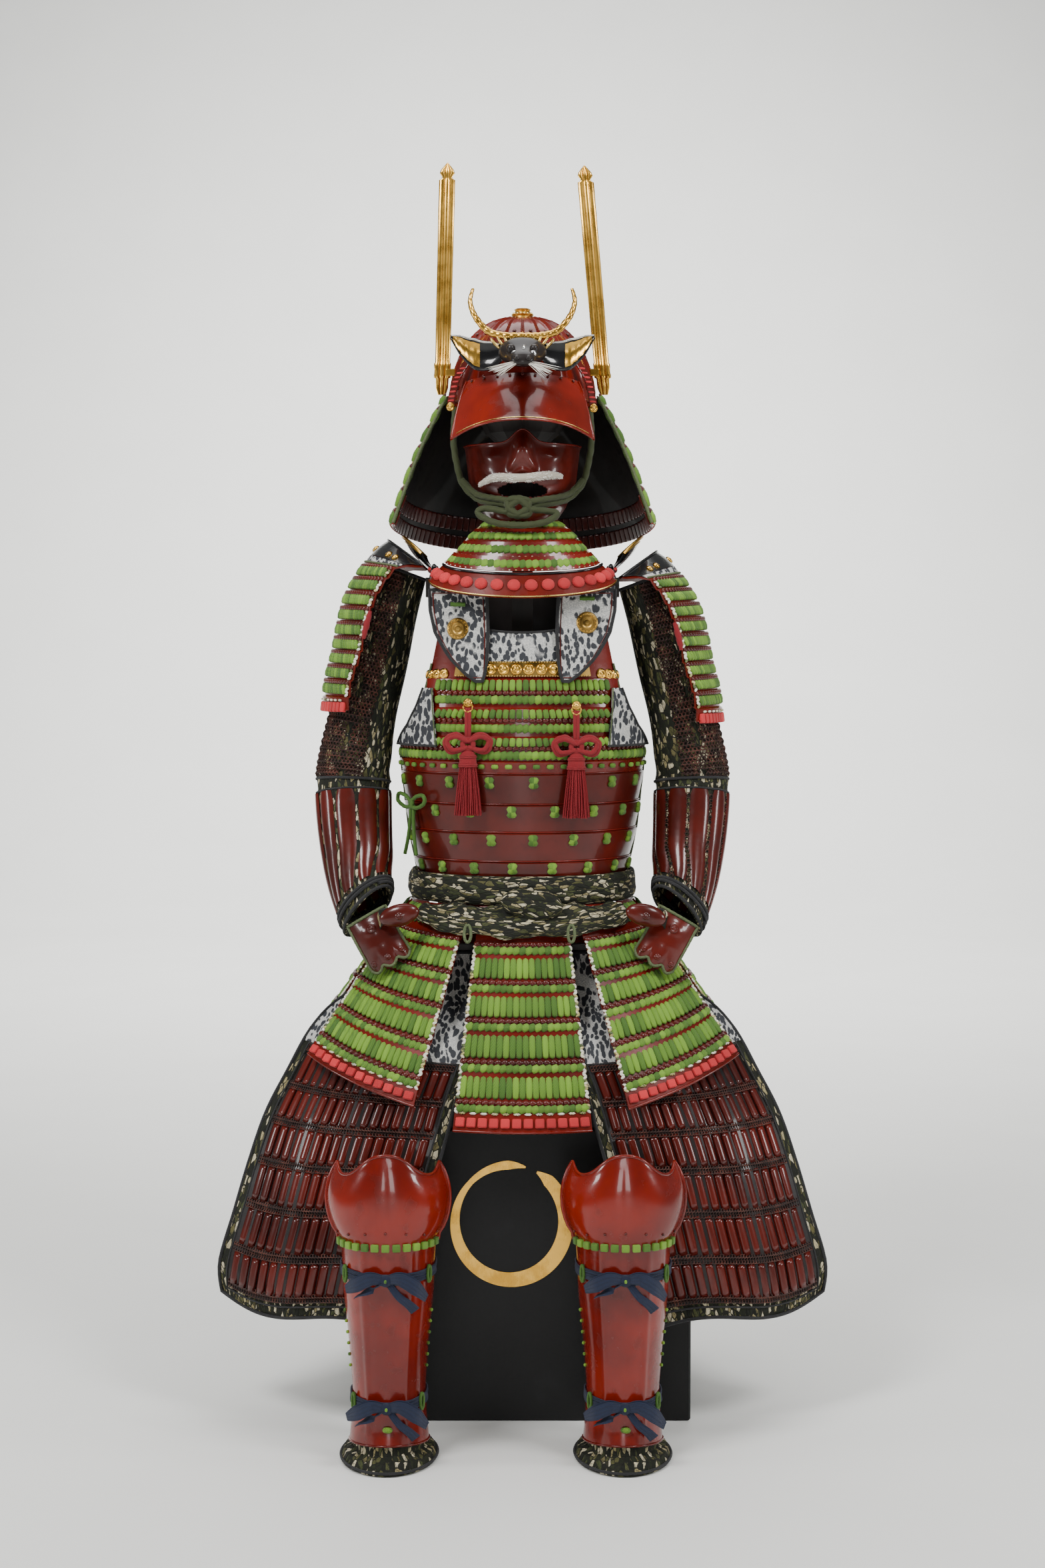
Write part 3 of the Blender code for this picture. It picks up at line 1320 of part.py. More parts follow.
def make_shin_tie(side, level, z):
    """A cotton ribbon round the shin plate, tied in front in a bow with two tails."""
    degrees = spread(-SHIN_REACH, SHIN_REACH, SHIN_COLUMNS)
    half = 0.0075
    lift = 0.001 + 0.0005
    outer = [[leg_point(side, d, z + s * half, lift + 0.0022) for d in degrees] for s in (1, -1)]
    inner = [[leg_point(side, d, z + s * half, lift) for d in degrees] for s in (1, -1)]
    pieces = [wall("ribbon", "navy_cotton", outer, inner)]
    knot = leg_point(side, 0.0, z, 0.0067)
    pieces.append(ball("knot", "navy_cotton", knot, (0.010, 0.0052, 0.0085), 6, 4))
    for way in (-1, 1):
        route = (
            knot,
            knot + Vector((way * 0.022, -0.006, 0.006)),
            knot + Vector((way * 0.046, -0.001, -0.004)),
            knot + Vector((way * 0.060, 0.012, -0.014)),
        )
        path = smooth_path([tuple(p) for p in route], 4)
        pieces.append(band("loop", "navy_cotton", path, (0, 0, 1), [0.008, 0.019, 0.020, 0.009], 0.0055, 2))
        tail = (
            knot + Vector((way * 0.003, -0.001, -0.002)),
            knot + Vector((way * 0.014, -0.0045, -0.018)),
            knot + Vector((way * 0.031, -0.0030, -0.036)),
        )
        pieces.append(band("tail", "navy_cotton", list(tail), (1, 0, 0.6), [0.008, 0.012, 0.014], 0.0024, 2))
    fuse(side_name(f"shin_tie_{level}", side), pieces)


clear_scene()
ARMOUR = collection("samurai_armour")
make_box()
make_stand()
make_bowl()
make_crown()
make_peak()
make_neck_guard()
make_crest_head()
make_horns()
make_mask()
make_moustache()
make_throat_guards()
make_chin_cord()
make_cuirass(back=False)
make_cuirass(back=True)
make_breast_leather()
make_sash()
make_tassets()
make_side_tie()
for hand in (LEFT, RIGHT):
    make_side_bar(hand)
    make_armhole_leather(hand)
    make_shoulder(hand)
    make_breast_flap(hand)
    make_tassel(hand)
    make_thigh_guard(hand)
    make_sode(hand)
    make_sleeve(hand)
    make_hand_guard(hand)
    make_shin(hand)
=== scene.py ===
import random
from math import asin, cos, degrees, exp, pi, radians, sin, sqrt

import bpy
import numpy as np
from mathutils import Matrix, Vector


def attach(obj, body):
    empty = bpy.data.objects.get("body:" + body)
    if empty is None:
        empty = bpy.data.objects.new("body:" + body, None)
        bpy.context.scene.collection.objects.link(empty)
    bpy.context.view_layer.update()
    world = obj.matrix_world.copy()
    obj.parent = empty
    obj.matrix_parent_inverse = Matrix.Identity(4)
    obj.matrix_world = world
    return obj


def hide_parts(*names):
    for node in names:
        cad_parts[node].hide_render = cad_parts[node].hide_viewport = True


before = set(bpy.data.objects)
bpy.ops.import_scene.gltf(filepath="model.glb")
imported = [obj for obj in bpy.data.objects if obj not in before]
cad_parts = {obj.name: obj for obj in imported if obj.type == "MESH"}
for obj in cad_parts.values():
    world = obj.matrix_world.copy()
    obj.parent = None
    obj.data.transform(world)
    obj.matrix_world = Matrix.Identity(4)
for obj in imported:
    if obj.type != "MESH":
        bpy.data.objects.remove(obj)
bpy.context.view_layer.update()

LEFT, RIGHT = -1, 1
X, Y, Z = Vector((1, 0, 0)), Vector((0, 1, 0)), Vector((0, 0, 1))

# Camera of the photograph and the studio.
LENS = 54.49
CAMERA_AT = (0.0, -3.665, 1.17)
CAMERA_PITCH = 3.63


def make_studio():
    camera = bpy.data.cameras.new("camera")
    camera.lens, camera.sensor_width = LENS, 36.0
    viewer = bpy.data.objects.new("camera", camera)
    viewer.location = CAMERA_AT
    viewer.rotation_euler = (radians(90.0 - CAMERA_PITCH), 0.0, 0.0)
    bpy.context.scene.collection.objects.link(viewer)
    bpy.context.scene.camera = viewer
    lamps = (
        ("key", (-1.4, -2.0, 3.3), (0.0, 0.0, 0.95), 0.9, 86.0),
        ("fill", (1.7, -1.8, 3.1), (0.0, 0.0, 0.95), 0.8, 58.0),
        ("top", (0.0, 0.5, 3.9), (0.0, 0.0, 0.95), 2.4, 70.0),
        ("low", (0.0, -3.4, 0.5), (0.0, 0.0, 0.6), 0.6, 10.0),
        ("left strip", (-2.7, -1.0, 1.2), (0.0, 0.0, 0.95), 0.6, 26.0),
        ("right strip", (2.7, -1.0, 1.2), (0.0, 0.0, 0.95), 0.6, 26.0),
        ("backdrop", (0.0, 4.2, 4.6), (0.0, 8.0, 0.4), 3.5, 640.0),
    )
    for name, place, target, size, power in lamps:
        lamp = bpy.data.lights.new(name, "AREA")
        lamp.size, lamp.energy = size, power
        holder = bpy.data.objects.new(name, lamp)
        holder.location = place
        holder.rotation_euler = (Vector(target) - Vector(place)).to_track_quat("-Z", "Y").to_euler()
        bpy.context.scene.collection.objects.link(holder)
    world = bpy.data.worlds.new("studio")
    world.use_nodes = True
    world.node_tree.nodes["Background"].inputs["Color"].default_value = (0.36, 0.365, 0.35, 1.0)
    world.node_tree.nodes["Background"].inputs["Strength"].default_value = 0.42
    bpy.context.scene.world = world


class Wire:
    """A socket in a finish; plain maths on it adds the nodes that work it out."""

    def __init__(self, tree, socket=None):
        self.tree, self.socket = tree, socket

    def node(self, kind, inputs=None, out=0, stops=None, **settings):
        made = self.tree.nodes.new("ShaderNode" + kind)
        for key, value in settings.items():
            setattr(made, key, value)
        for k, (place, colour) in enumerate(stops or ()):
            stop = made.color_ramp.elements[k] if k < 2 else made.color_ramp.elements.new(place)
            stop.position, stop.color = place, (*colour, 1.0)
        for key, value in (inputs or {}).items():
            if isinstance(value, Wire):
                self.tree.links.new(value.socket, made.inputs[key])
            else:
                made.inputs[key].default_value = value
        return Wire(self.tree, made.outputs[out])

    def sums(self, operation, first, second=0.0):
        return self.node("Math", {0: first, 1: second}, operation=operation)

    def __add__(self, other):
        return self.sums("ADD", self, other)

    def __sub__(self, other):
        return self.sums("SUBTRACT", self, other)

    def __rsub__(self, other):
        return self.sums("SUBTRACT", other, self)

    def __mul__(self, other):
        return self.sums("MULTIPLY", self, other)

    def __abs__(self):
        return self.sums("ABSOLUTE", self)

    __radd__, __rmul__ = __add__, __mul__

    def wave(self):
        return self.sums("SINE", self)

    def rise(self, low, high):
        """0 below low, 1 above high, smooth between."""
        inputs = {"Value": self, "From Min": low, "From Max": high}
        return self.node("MapRange", inputs, interpolation_type="SMOOTHSTEP")

    def blend(self, first, second):
        """The first colour where this is 0, the second where it is 1."""
        pair = [(*c, 1.0) if isinstance(c, tuple) else c for c in (first, second)]
        return self.node("Mix", {0: self, 6: pair[0], 7: pair[1]}, out=2, data_type="RGBA")

    def place(self, scale=(1.0, 1.0, 1.0), turn=0.0, own=False):
        """Where the surface is, in metres: in the room, or along the piece's own cloth."""
        spot = self.node("TexCoord", out=2 if own else 3)
        return self.node("Mapping", {"Vector": spot, "Scale": scale, "Rotation": (0.0, 0.0, turn)})

    def axis(self, which, own=False):
        return self.node("SeparateXYZ", {0: self.place(own=own)}, out=which)

    def noise(self, scale, detail=3.0, spot=None):
        return self.node("TexNoise", {"Vector": spot or self.place(), "Scale": scale, "Detail": detail})

    def cells(self, scale, spot, feature="F1", out=0):
        return self.node("TexVoronoi", {"Vector": spot, "Scale": scale}, out=out, feature=feature)

    def worn(self, spot, amount, scale):
        """A place pushed about a little, so that a pattern isn't ruled."""
        push = self.node("TexNoise", {"Vector": spot, "Scale": scale, "Detail": 2.0}, out=1)
        away = self.node("VectorMath", {0: push, 1: (0.5, 0.5, 0.5)}, operation="SUBTRACT")
        step = self.node("VectorMath", {0: away, "Scale": amount}, operation="SCALE")
        return self.node("VectorMath", {0: spot, 1: step}, operation="ADD")

    def shade(self):
        """The tone of each copy of a repeated piece, from 0 to 1."""
        return self.node("Attribute", out=2, attribute_name="tone", attribute_type="GEOMETRY")

    def relief(self, height, depth, strength=1.0):
        return self.node("Bump", {"Height": height, "Distance": depth, "Strength": strength})


def finish(name, recipe):
    """A finish from a recipe, which takes a wire and gives the shader's sockets."""
    made = bpy.data.materials.new(name)
    made.use_nodes = True
    shader = made.node_tree.nodes["Principled BSDF"]
    for key, value in recipe(Wire(made.node_tree)).items():
        if isinstance(value, Wire):
            made.node_tree.links.new(value.socket, shader.inputs[key])
        else:
            shader.inputs[key].default_value = (*value, 1.0) if isinstance(value, tuple) else value
    return made


def lacquer(deep, bright, rough, coat, middle=False):
    """Many polished coats over iron or hide, a little uneven and cloudy; darker down its middle if wanted,
    which is painted shade along a ridge.
    """

    def recipe(w):
        clouds = w.noise(9.0, 4.0)
        grime = w.noise(46.0, 5.0).rise(0.52, 0.78)
        body = clouds.rise(0.32, 0.68).blend(deep, bright)
        grime_and_shade = tuple(c * 0.45 for c in deep)
        # Painted shade: the colour darkens towards x = 0, down the peak's middle ridge.
        if middle:
            body = abs(w.axis(0)).rise(0.0, 0.05).blend(grime_and_shade, body)
        return {
            "Base Color": (grime * 0.35).blend(body, grime_and_shade),
            "Roughness": grime * 0.18 + rough,
            "Coat Weight": coat,
            "Coat Roughness": 0.06,
            "Specular IOR Level": 0.25,
            "Normal": w.relief(w.noise(70.0, 2.0), 0.0006, 0.35),
        }

    return recipe


def silk(dark, light, pitch=1400.0):
    """Flat silk braid: fine slanting plaits, each strand a little lighter or darker."""

    def recipe(w):
        grain = w.noise(900.0, 3.0)
        x, y, z = (w.axis(k) for k in range(3))
        plait = abs(((x + z) * pitch).wave()) * abs(((x - z + y) * pitch).wave())
        tone = w.shade() * 0.55 + plait * 0.3 + grain * 0.25
        return {
            "Base Color": tone.rise(0.15, 0.95).blend(dark, light),
            "Roughness": 0.62 + grain * 0.25,
            "Sheen Weight": 0.1,
            "Sheen Roughness": 0.4,
            "Normal": w.relief(plait + grain * 0.5, 0.0005, 0.8),
        }

    return recipe


def gilding(dark=(0.54, 0.285, 0.045), light=(0.74, 0.43, 0.085), rough=0.18):
    """Gold leaf and gilt copper, darker in its hollows and finely brushed."""

    def recipe(w):
        rubbed = w.noise(38.0, 6.0)
        brushed = w.noise(700.0, 2.0, w.place((1.0, 1.0, 0.05)))
        return {
            "Base Color": rubbed.rise(0.3, 0.6).blend(dark, light),
            "Metallic": 1.0,
            "Roughness": rough + rubbed * 0.12 + brushed * 0.08,
            "Normal": w.relief(brushed, 0.0002, 0.25),
        }

    return recipe


def woven_brocade(w):
    """Leaves of ivory, moss and gold thrown on a near-black ground, with a fine rib."""
    spot = w.worn(w.place((1.0, 0.42, 1.0), 0.5, own=True), 0.008, 60.0)
    leaf = w.cells(185.0, spot, out=1)
    tone = w.node("SeparateColor", {0: leaf})
    edge = w.cells(185.0, spot, feature="DISTANCE_TO_EDGE")
    veins = abs(w.noise(260.0, 2.0, spot) - 0.5) * 9.0
    ribs = (w.axis(1, own=True) * 5200.0).wave() * 0.5 + 0.5
    stops = (
        (0.0, (0.008, 0.009, 0.006)),
        (0.44, (0.018, 0.022, 0.01)),
        (0.5, (0.06, 0.07, 0.026)),
        (0.68, (0.095, 0.085, 0.032)),
        (0.74, (0.3, 0.25, 0.12)),
        (0.9, (0.56, 0.5, 0.34)),
    )
    cloth = tone.node("ValToRGB", {"Fac": tone}, stops=stops)
    outline = (1 - edge.rise(0.03, 0.11)) + (1 - veins.rise(0.1, 0.55)) * 0.55
    return {
        "Base Color": outline.rise(0.0, 1.0).blend(cloth, (0.012, 0.012, 0.009)),
        "Roughness": 0.78,
        "Specular IOR Level": 0.25,
        "Normal": w.relief(edge.rise(0.0, 0.25) + ribs * 0.25, 0.0009, 0.8),
    }


def printed_leather(w):
    """White deer hide with small black leaf marks that run in curves, and bare greyish fields."""
    bend = w.worn(w.place((1.0, 0.5, 0.55)), 0.022, 24.0)
    marks = w.cells(165.0, bend)
    bare = w.noise(22.0, 2.0).rise(0.6, 0.65)
    speck = w.noise(620.0, 4.0)
    ink = (1 - marks.rise(0.5, 0.6)) * (1 - bare)
    hide = speck.rise(0.3, 0.7).blend((0.28, 0.285, 0.28), (0.6, 0.59, 0.55))
    return {
        "Base Color": ink.blend(hide, (0.018, 0.02, 0.026)),
        "Roughness": 0.62 + speck * 0.2,
        "Normal": w.relief(speck + ink * 0.6, 0.0004, 0.6),
    }


def iron_mail(w):
    rust = w.noise(60.0, 5.0)
    return {
        "Base Color": rust.rise(0.4, 0.7).blend((0.03, 0.011, 0.008), (0.11, 0.034, 0.022)),
        "Metallic": 0.35,
        "Roughness": 0.42 + rust * 0.25,
    }


def matt_box(w):
    grain = w.noise(240.0, 6.0)
    scuff = w.noise(14.0, 4.0).rise(0.6, 0.8)
    return {
        "Base Color": (scuff * 0.5).blend((0.004, 0.004, 0.0043), (0.01, 0.01, 0.011)),
        "Roughness": 0.46 + grain * 0.16,
        "Specular IOR Level": 0.3,
        "Normal": w.relief(grain, 0.0003, 0.4),
    }


# The stand's near-black colour is painted shade: it darkens the helmet's inside, seen through the openings
# round the face mask. The grain is the wood's own.
def stand_wood_as_painted_shade(w):
    grain = w.noise(18.0, 8.0, w.place((8.0, 8.0, 0.6)))
    return {
        "Base Color": grain.blend((0.01, 0.008, 0.007), (0.026, 0.019, 0.016)),
        "Roughness": 0.55,
        "Normal": w.relief(grain, 0.001, 0.3),
    }


def cotton(dark, light):
    """Plain woven tape, in two sets of threads."""

    def recipe(w):
        across = abs((w.axis(0, own=True) * 4200.0).wave())
        down = abs((w.axis(1, own=True) * 4200.0).wave())
        fluff = w.noise(380.0, 4.0)
        return {
            "Base Color": (fluff * 0.6 + across * down * 0.4).blend(dark, light),
            "Roughness": 0.88,
            "Sheen Weight": 0.08,
            "Normal": w.relief(across + down + fluff, 0.0004, 0.8),
        }

    return recipe


def hair(w):
    tone = w.shade()
    return {"Base Color": tone.blend((0.42, 0.38, 0.3), (0.86, 0.84, 0.78)), "Roughness": 0.7,
        "Sheen Weight": 0.5}


def edging(w):
    """Speckled braid of white, gold and dark green at the ends of the rows."""
    tone = w.shade() * 0.7 + w.noise(420.0, 2.0) * 0.4
    stops = (
        (0.0, (0.02, 0.025, 0.012)),
        (0.28, (0.1, 0.13, 0.05)),
        (0.4, (0.55, 0.45, 0.16)),
        (0.55, (0.74, 0.72, 0.6)),
    )
    return {
        "Base Color": tone.node("ValToRGB", {"Fac": tone}, stops=stops),
        "Roughness": 0.7,
        "Normal": w.relief(w.noise(900.0, 2.0), 0.0004, 0.6),
    }


RED = finish("red lacquer", lacquer((0.09, 0.006, 0.003), (0.17, 0.01, 0.005), 0.26, 0.35))
BRIGHT_RED = finish("vermilion lacquer",
    lacquer((0.12, 0.006, 0.003), (0.22, 0.011, 0.004), 0.22, 0.45))
# The peak's lacquer has painted shade down its middle ridge.
PEAK_RED = finish("shaded lacquer",
    lacquer((0.12, 0.007, 0.003), (0.225, 0.012, 0.005), 0.22, 0.45, True))
BROWN_RED = finish("brown-red lacquer",
    lacquer((0.048, 0.005, 0.003), (0.105, 0.009, 0.005), 0.28, 0.35))
BLACK = finish("black lacquer",
    lacquer((0.004, 0.004, 0.005), (0.009, 0.009, 0.01), 0.2, 0.5))
# Dull black: the crest head's own colour, and painted shade on the sheets and inner faces inside the neck
# guard and the cuirass.
DULL_BLACK = finish("dull black and painted shade",
    lacquer((0.006, 0.005, 0.005), (0.014, 0.01, 0.009), 0.42, 0.2))
GREEN = finish("green lacing", silk((0.036, 0.105, 0.007), (0.2, 0.385, 0.028)))
MOSS = finish("moss green cord", silk((0.024, 0.032, 0.006), (0.11, 0.135, 0.028)))
PINK = finish("pink-red lacing", silk((0.36, 0.01, 0.012), (0.66, 0.026, 0.032)))
CRIMSON = finish("crimson cord", silk((0.2, 0.001, 0.005), (0.62, 0.004, 0.014), 1900.0))
GILT = finish("gilding", gilding())
PALE_GILT = finish("pale gilding", gilding((0.55, 0.34, 0.08), (0.84, 0.6, 0.2), 0.18))
OLD_GILT = finish("old gilding", gilding((0.12, 0.07, 0.018), (0.42, 0.26, 0.07), 0.3))
SILVER = finish("silvering", gilding((0.6, 0.6, 0.59), (0.92, 0.92, 0.9), 0.14))
BROCADE = finish("woven brocade", woven_brocade)
LEATHER = finish("printed leather", printed_leather)
MAIL = finish("iron mail", iron_mail)
BOX = finish("matt box lacquer", matt_box)
STAND_SHADE_WOOD = finish("stand wood darkened as painted shade", stand_wood_as_painted_shade)
NAVY = finish("navy cotton", cotton((0.002, 0.005, 0.02), (0.008, 0.018, 0.06)))
PIPING = finish("black piping", cotton((0.006, 0.006, 0.007), (0.022, 0.022, 0.024)))
HAIR = finish("white hair", hair)
EDGING = finish("speckled braid", edging)


# Making: shapes are modelled once, then laid on the armour's own surfaces.


def alone(obj):
    bpy.ops.object.select_all(action="DESELECT")
    obj.select_set(True)
    bpy.context.view_layer.objects.active = obj
    return obj


def modelled(name):
    """The shape that was just added or joined, under its name."""
    obj = bpy.context.active_object
    obj.name = obj.data.name = name
    return obj


def primitive(name, add, **settings):
    bpy.ops.object.select_all(action="DESELECT")
    add(**settings)
    return modelled(name)


def work(obj, kind, **settings):
    """One modifier, set and applied."""
    alone(obj)
    made = obj.modifiers.new(kind.lower(), kind)
    for key, value in settings.items():
        setattr(made, key, value)
    bpy.ops.object.modifier_apply(modifier=made.name)
    return obj


def smooth(obj, angle=40.0):
    alone(obj)
    bpy.ops.object.shade_smooth_by_angle(angle=radians(angle))
    return obj


def ready(obj, material, replaces=(), extra=()):
    """Gives a finished piece its materials, its body and the solid that it stands for."""
    for each in (material, *extra):
        obj.data.materials.append(each)
    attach(obj, "root")
    if replaces:
        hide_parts(*replaces)
    return obj


def away(obj):
    bpy.data.objects.remove(obj, do_unlink=True)


def lerp(a, b, t):
    return a + (b - a) * t


def vec(x, y, z):
    return Vector((x, y, z))


def stretched(x, y, z):
    return Matrix.Diagonal((x, y, z, 1.0))


def spread(low, high, count):
    return [lerp(low, high, k / (count - 1)) for k in range(count)]


def turns(count, shut=False):
    """Angles once round; shut comes back to the first."""
    return [2 * pi * k / count for k in range(count + shut)]


def level(v, count, start=0.0, end=1.0):
    """A line of (u, v) across a surface."""
    return [(u, v) for u in spread(start, end, count)]


def upright(u, start, end, count):
    """A line of (u, v) down a surface."""
    return [(u, v) for v in spread(start, end, count)]


def ran_along(points):
    """How far each point is along the line through them all."""
    ran = [0.0]
    for a, b in zip(points, points[1:]):
        ran.append(ran[-1] + (b - a).length)
    return ran


def at(table, key):
    rows = sorted(table)
    if key <= rows[0][0]:
        return rows[0][1:]
    for low, high in zip(rows, rows[1:]):
        if key <= high[0]:
            t = (key - low[0]) / (high[0] - low[0])
            return tuple(lerp(a, b, t) for a, b in zip(low[1:], high[1:]))
    return rows[-1][1:]


def along(table, share):
    place = share * (len(table) - 1)
    i = min(int(place), len(table) - 2)
    t = place - i
    p, q, r, s = (table[min(max(k, 0), len(table) - 1)] for k in (i - 1, i, i + 1, i + 2))
    return tuple(
        0.5 * (2 * b + (c - a) * t + (2 * a - 5 * b + 4 * c - d) * t * t + (3 * b - a - 3 * c + d) * t**3)
        for a, b, c, d in zip(p, q, r, s)
    )


def smooth_path(points, count):
    return [Vector(along([tuple(p) for p in points], k / (count - 1))) for k in range(count)]


def facing(point, u, v, axis):
    """The unit normal of a surface at (u, v), turned away from an upright axis at (x, y)."""
    step = 1e-3
    across = point(u + step, v) - point(u - step, v)
    down = point(u, min(v + step, 1.0)) - point(u, max(v - step, 0.0))
    normal = across.cross(down).normalized()
    here = point(u, v)
    outside = here - vec(axis[0], axis[1], here.z)
    return -normal if normal.dot(outside) < 0 else normal


def edited(obj, *steps):
    """Edit mode on the whole of a piece, one step after the other."""
    alone(obj)
    bpy.ops.object.mode_set(mode="EDIT")
    for step in steps:
        bpy.ops.mesh.select_all(action="SELECT")
        step()
    bpy.ops.object.mode_set(mode="OBJECT")
    return obj


def sealed(obj, reach=1e-6):
    """Merges the points that meet, closes the open ends and turns every face outwards."""
    return edited(
        obj,
        lambda: bpy.ops.mesh.remove_doubles(threshold=reach),
        lambda: bpy.ops.mesh.fill_holes(sides=0),
        lambda: bpy.ops.mesh.normals_make_consistent(inside=False),
    )


def flat_grid(name, across, down):
    """A flat grid of faces, and the column and row of each of its points."""
    add = bpy.ops.mesh.primitive_grid_add
    obj = primitive(name, add, x_subdivisions=across, y_subdivisions=down, size=2.0)
    points = [vertex.co for vertex in obj.data.vertices]
    return obj, [(round((x + 1) / 2 * across), round((1 - y) / 2 * down)) for x, y, z in points]


def cloth_uv(obj, spots, widths, lengths):
    """The piece's own UV, in metres across and down."""
    sheet = obj.data.uv_layers[0].data
    for loop in obj.data.loops:
        i, j = spots[loop.vertex_index]
        sheet[loop.index].uv = (widths[i], lengths[j])


def skin(name, point, us, vs, thick, axis=(0.0, 0.0), rise=0.0, closed=False):
    """A wall laid on the surface point(u, v) from a flat grid: us and vs are its lines or how many they are,
    rise is its height above the surface or gives it at (u, v), and thick goes inwards."""
    us, vs = (spread(0, 1, lines) if isinstance(lines, int) else lines for lines in (us, vs))
    obj, spots = flat_grid(name, len(us) - 1, len(vs) - 1)
    for vertex, (i, j) in zip(obj.data.vertices, spots):
        u, v = us[i], vs[j]
        lift = rise(u, v) if callable(rise) else rise
        vertex.co = point(u, v) + facing(point, u, v, axis) * lift
    widths = ran_along([point(u, vs[len(vs) // 2]) for u in us])
    cloth_uv(obj, spots, widths, ran_along([point(us[len(us) // 2], v) for v in vs]))
    obj.data.update()
    here = obj.data.polygons[len(obj.data.polygons) // 2]
    if here.normal.dot(here.center - vec(axis[0], axis[1], here.center.z)) < 0:
        obj.data.flip_normals()
    if closed:
        edited(obj, lambda: bpy.ops.mesh.remove_doubles(threshold=1e-5))
    if thick:
        work(obj, "SOLIDIFY", thickness=thick, offset=-1.0, use_rim=True)
    return smooth(obj)


def spot(point, u, v, out=0.0, turn=0.0, size=(1.0, 1.0, 1.0), axis=(0.0, 0.0)):
    """Where a small piece sits on a surface: its X across, its Y up the rows, its Z out."""
    normal = facing(point, u, v, axis)
    up = (point(u, max(v - 1e-3, 0.0)) - point(u, min(v + 1e-3, 1.0))).normalized()
    across = up.cross(normal).normalized()
    up = normal.cross(across)
    here = point(u, v) + normal * out
    lay = Matrix((across, up, normal)).transposed().to_4x4()
    return Matrix.Translation(here) @ lay @ Matrix.Rotation(turn, 4, "Z") @ stretched(*size)


def copies(name, unit, places, material):
    """Copies of one modelled shape as one piece, each with its own points and its own tone."""
    source = unit.data
    points = np.array([v.co for v in source.vertices])
    corners = np.array([i for face in source.polygons for i in face.vertices])
    sizes = np.array([len(face.vertices) for face in source.polygons])
    count, many = len(points), len(places)
    frames = np.array([[list(row) for row in m] for m in places])
    laid = np.einsum("kij,nj->kni", frames[:, :3, :3], points) + frames[:, None, :3, 3]
    mesh = bpy.data.meshes.new(name)
    mesh.vertices.add(count * many)
    mesh.vertices.foreach_set("co", laid.ravel())
    mesh.loops.add(len(corners) * many)
    shifted = (corners[None, :] + (np.arange(many) * count)[:, None]).ravel()
    mesh.loops.foreach_set("vertex_index", shifted)
    mesh.polygons.add(len(sizes) * many)
    starts = np.concatenate([[0], np.cumsum(np.tile(sizes, many))[:-1]])
    mesh.polygons.foreach_set("loop_start", starts)
    mesh.update(calc_edges=True)
    mesh.validate()
    tone = mesh.attributes.new("tone", "FLOAT", "POINT")
    draw = random.Random(name)
    tone.data.foreach_set("value", np.repeat([draw.random() for _ in places], count))
    obj = bpy.data.objects.new(name, mesh)
    bpy.context.scene.collection.objects.link(obj)
    mesh.shade_smooth()
    return ready(obj, material)


def strand(name, points, radius, sides=8, plait=0.0, material=None, replaces=(), taper=None):
    """A round cord through the points, with closed ends; plait raises its twisted plies."""
    count = len(points)
    obj, spots = flat_grid(name, sides, count - 1)
    ahead = [(points[min(k + 1, count - 1)] - points[max(k - 1, 0)]).normalized() for k in range(count)]
    side = [ahead[0].orthogonal().normalized()]
    for k in range(1, count):
        side.append((side[-1] - ahead[k] * side[-1].dot(ahead[k])).normalized())
    ran = ran_along(points)
    for vertex, (i, j) in zip(obj.data.vertices, spots):
        turn = 2 * pi * i / sides
        girth = radius * (taper(j / (count - 1)) if taper else 1.0)
        girth *= 1.0 + plait * abs(sin(turn * 1.5 + ran[j] / radius * 0.75))
        reach = side[j] * cos(turn) + ahead[j].cross(side[j]) * sin(turn)
        vertex.co = points[j] + reach * girth
    smooth(sealed(obj, radius * 0.02), 70.0)
    return ready(obj, material, replaces) if material else obj


def joined(name, parts):
    """Several modelled shapes as one piece."""
    bpy.ops.object.select_all(action="DESELECT")
    for part in parts:
        part.select_set(True)
    bpy.context.view_layer.objects.active = parts[0]
    if len(parts) > 1:
        bpy.ops.object.join()
    return modelled(name)


def ball_unit(name, segments=8, rings=6, blunt=1.0):
    """A unit lens, from which strands, scales and studs are drawn out; under 1, blunt squares its outline."""
    obj = primitive(name, bpy.ops.mesh.primitive_uv_sphere_add, segments=segments, ring_count=rings,
        radius=1.0)
    for vertex in obj.data.vertices:
        for k in (0, 1):
            vertex.co[k] = abs(vertex.co[k]) ** blunt * (1 if vertex.co[k] > 0 else -1)
    obj.data.shade_smooth()
    return obj


def pad_unit():
    """A unit pad with rounded edges and a full face, flat behind."""
    obj = primitive("pad unit", bpy.ops.mesh.primitive_cube_add, size=2.0)
    work(obj, "BEVEL", width=0.28, segments=2, limit_method="ANGLE")
    for vertex in obj.data.vertices:
        if vertex.co.z > 0:
            vertex.co.z += 0.25 * (1 - vertex.co.x**2) * (1 - vertex.co.y**2)
    return smooth(obj, 50.0)


def slat_unit():
    """A unit splint: long, narrow, rounded at its ends and domed across."""
    obj = flat_grid("slat unit", 4, 6)[0]
    for vertex in obj.data.vertices:
        x, y = vertex.co.x, vertex.co.y
        vertex.co.z = 0.9 * sqrt(max(0.0, 1.0 - x * x)) + 0.12 * (1 - y * y)
        vertex.co.x = x * (1.0 - 0.1 * abs(y) ** 6)
    work(obj, "SOLIDIFY", thickness=0.4, offset=-1.0)
    return smooth(obj, 60.0)


def ring_unit(name, around, section, radius, thin):
    """A plain metal ring."""
    settings = {"major_segments": around, "minor_segments": section, "major_radius": radius,
        "minor_radius": thin}
    return primitive(name, bpy.ops.mesh.primitive_torus_add, **settings)


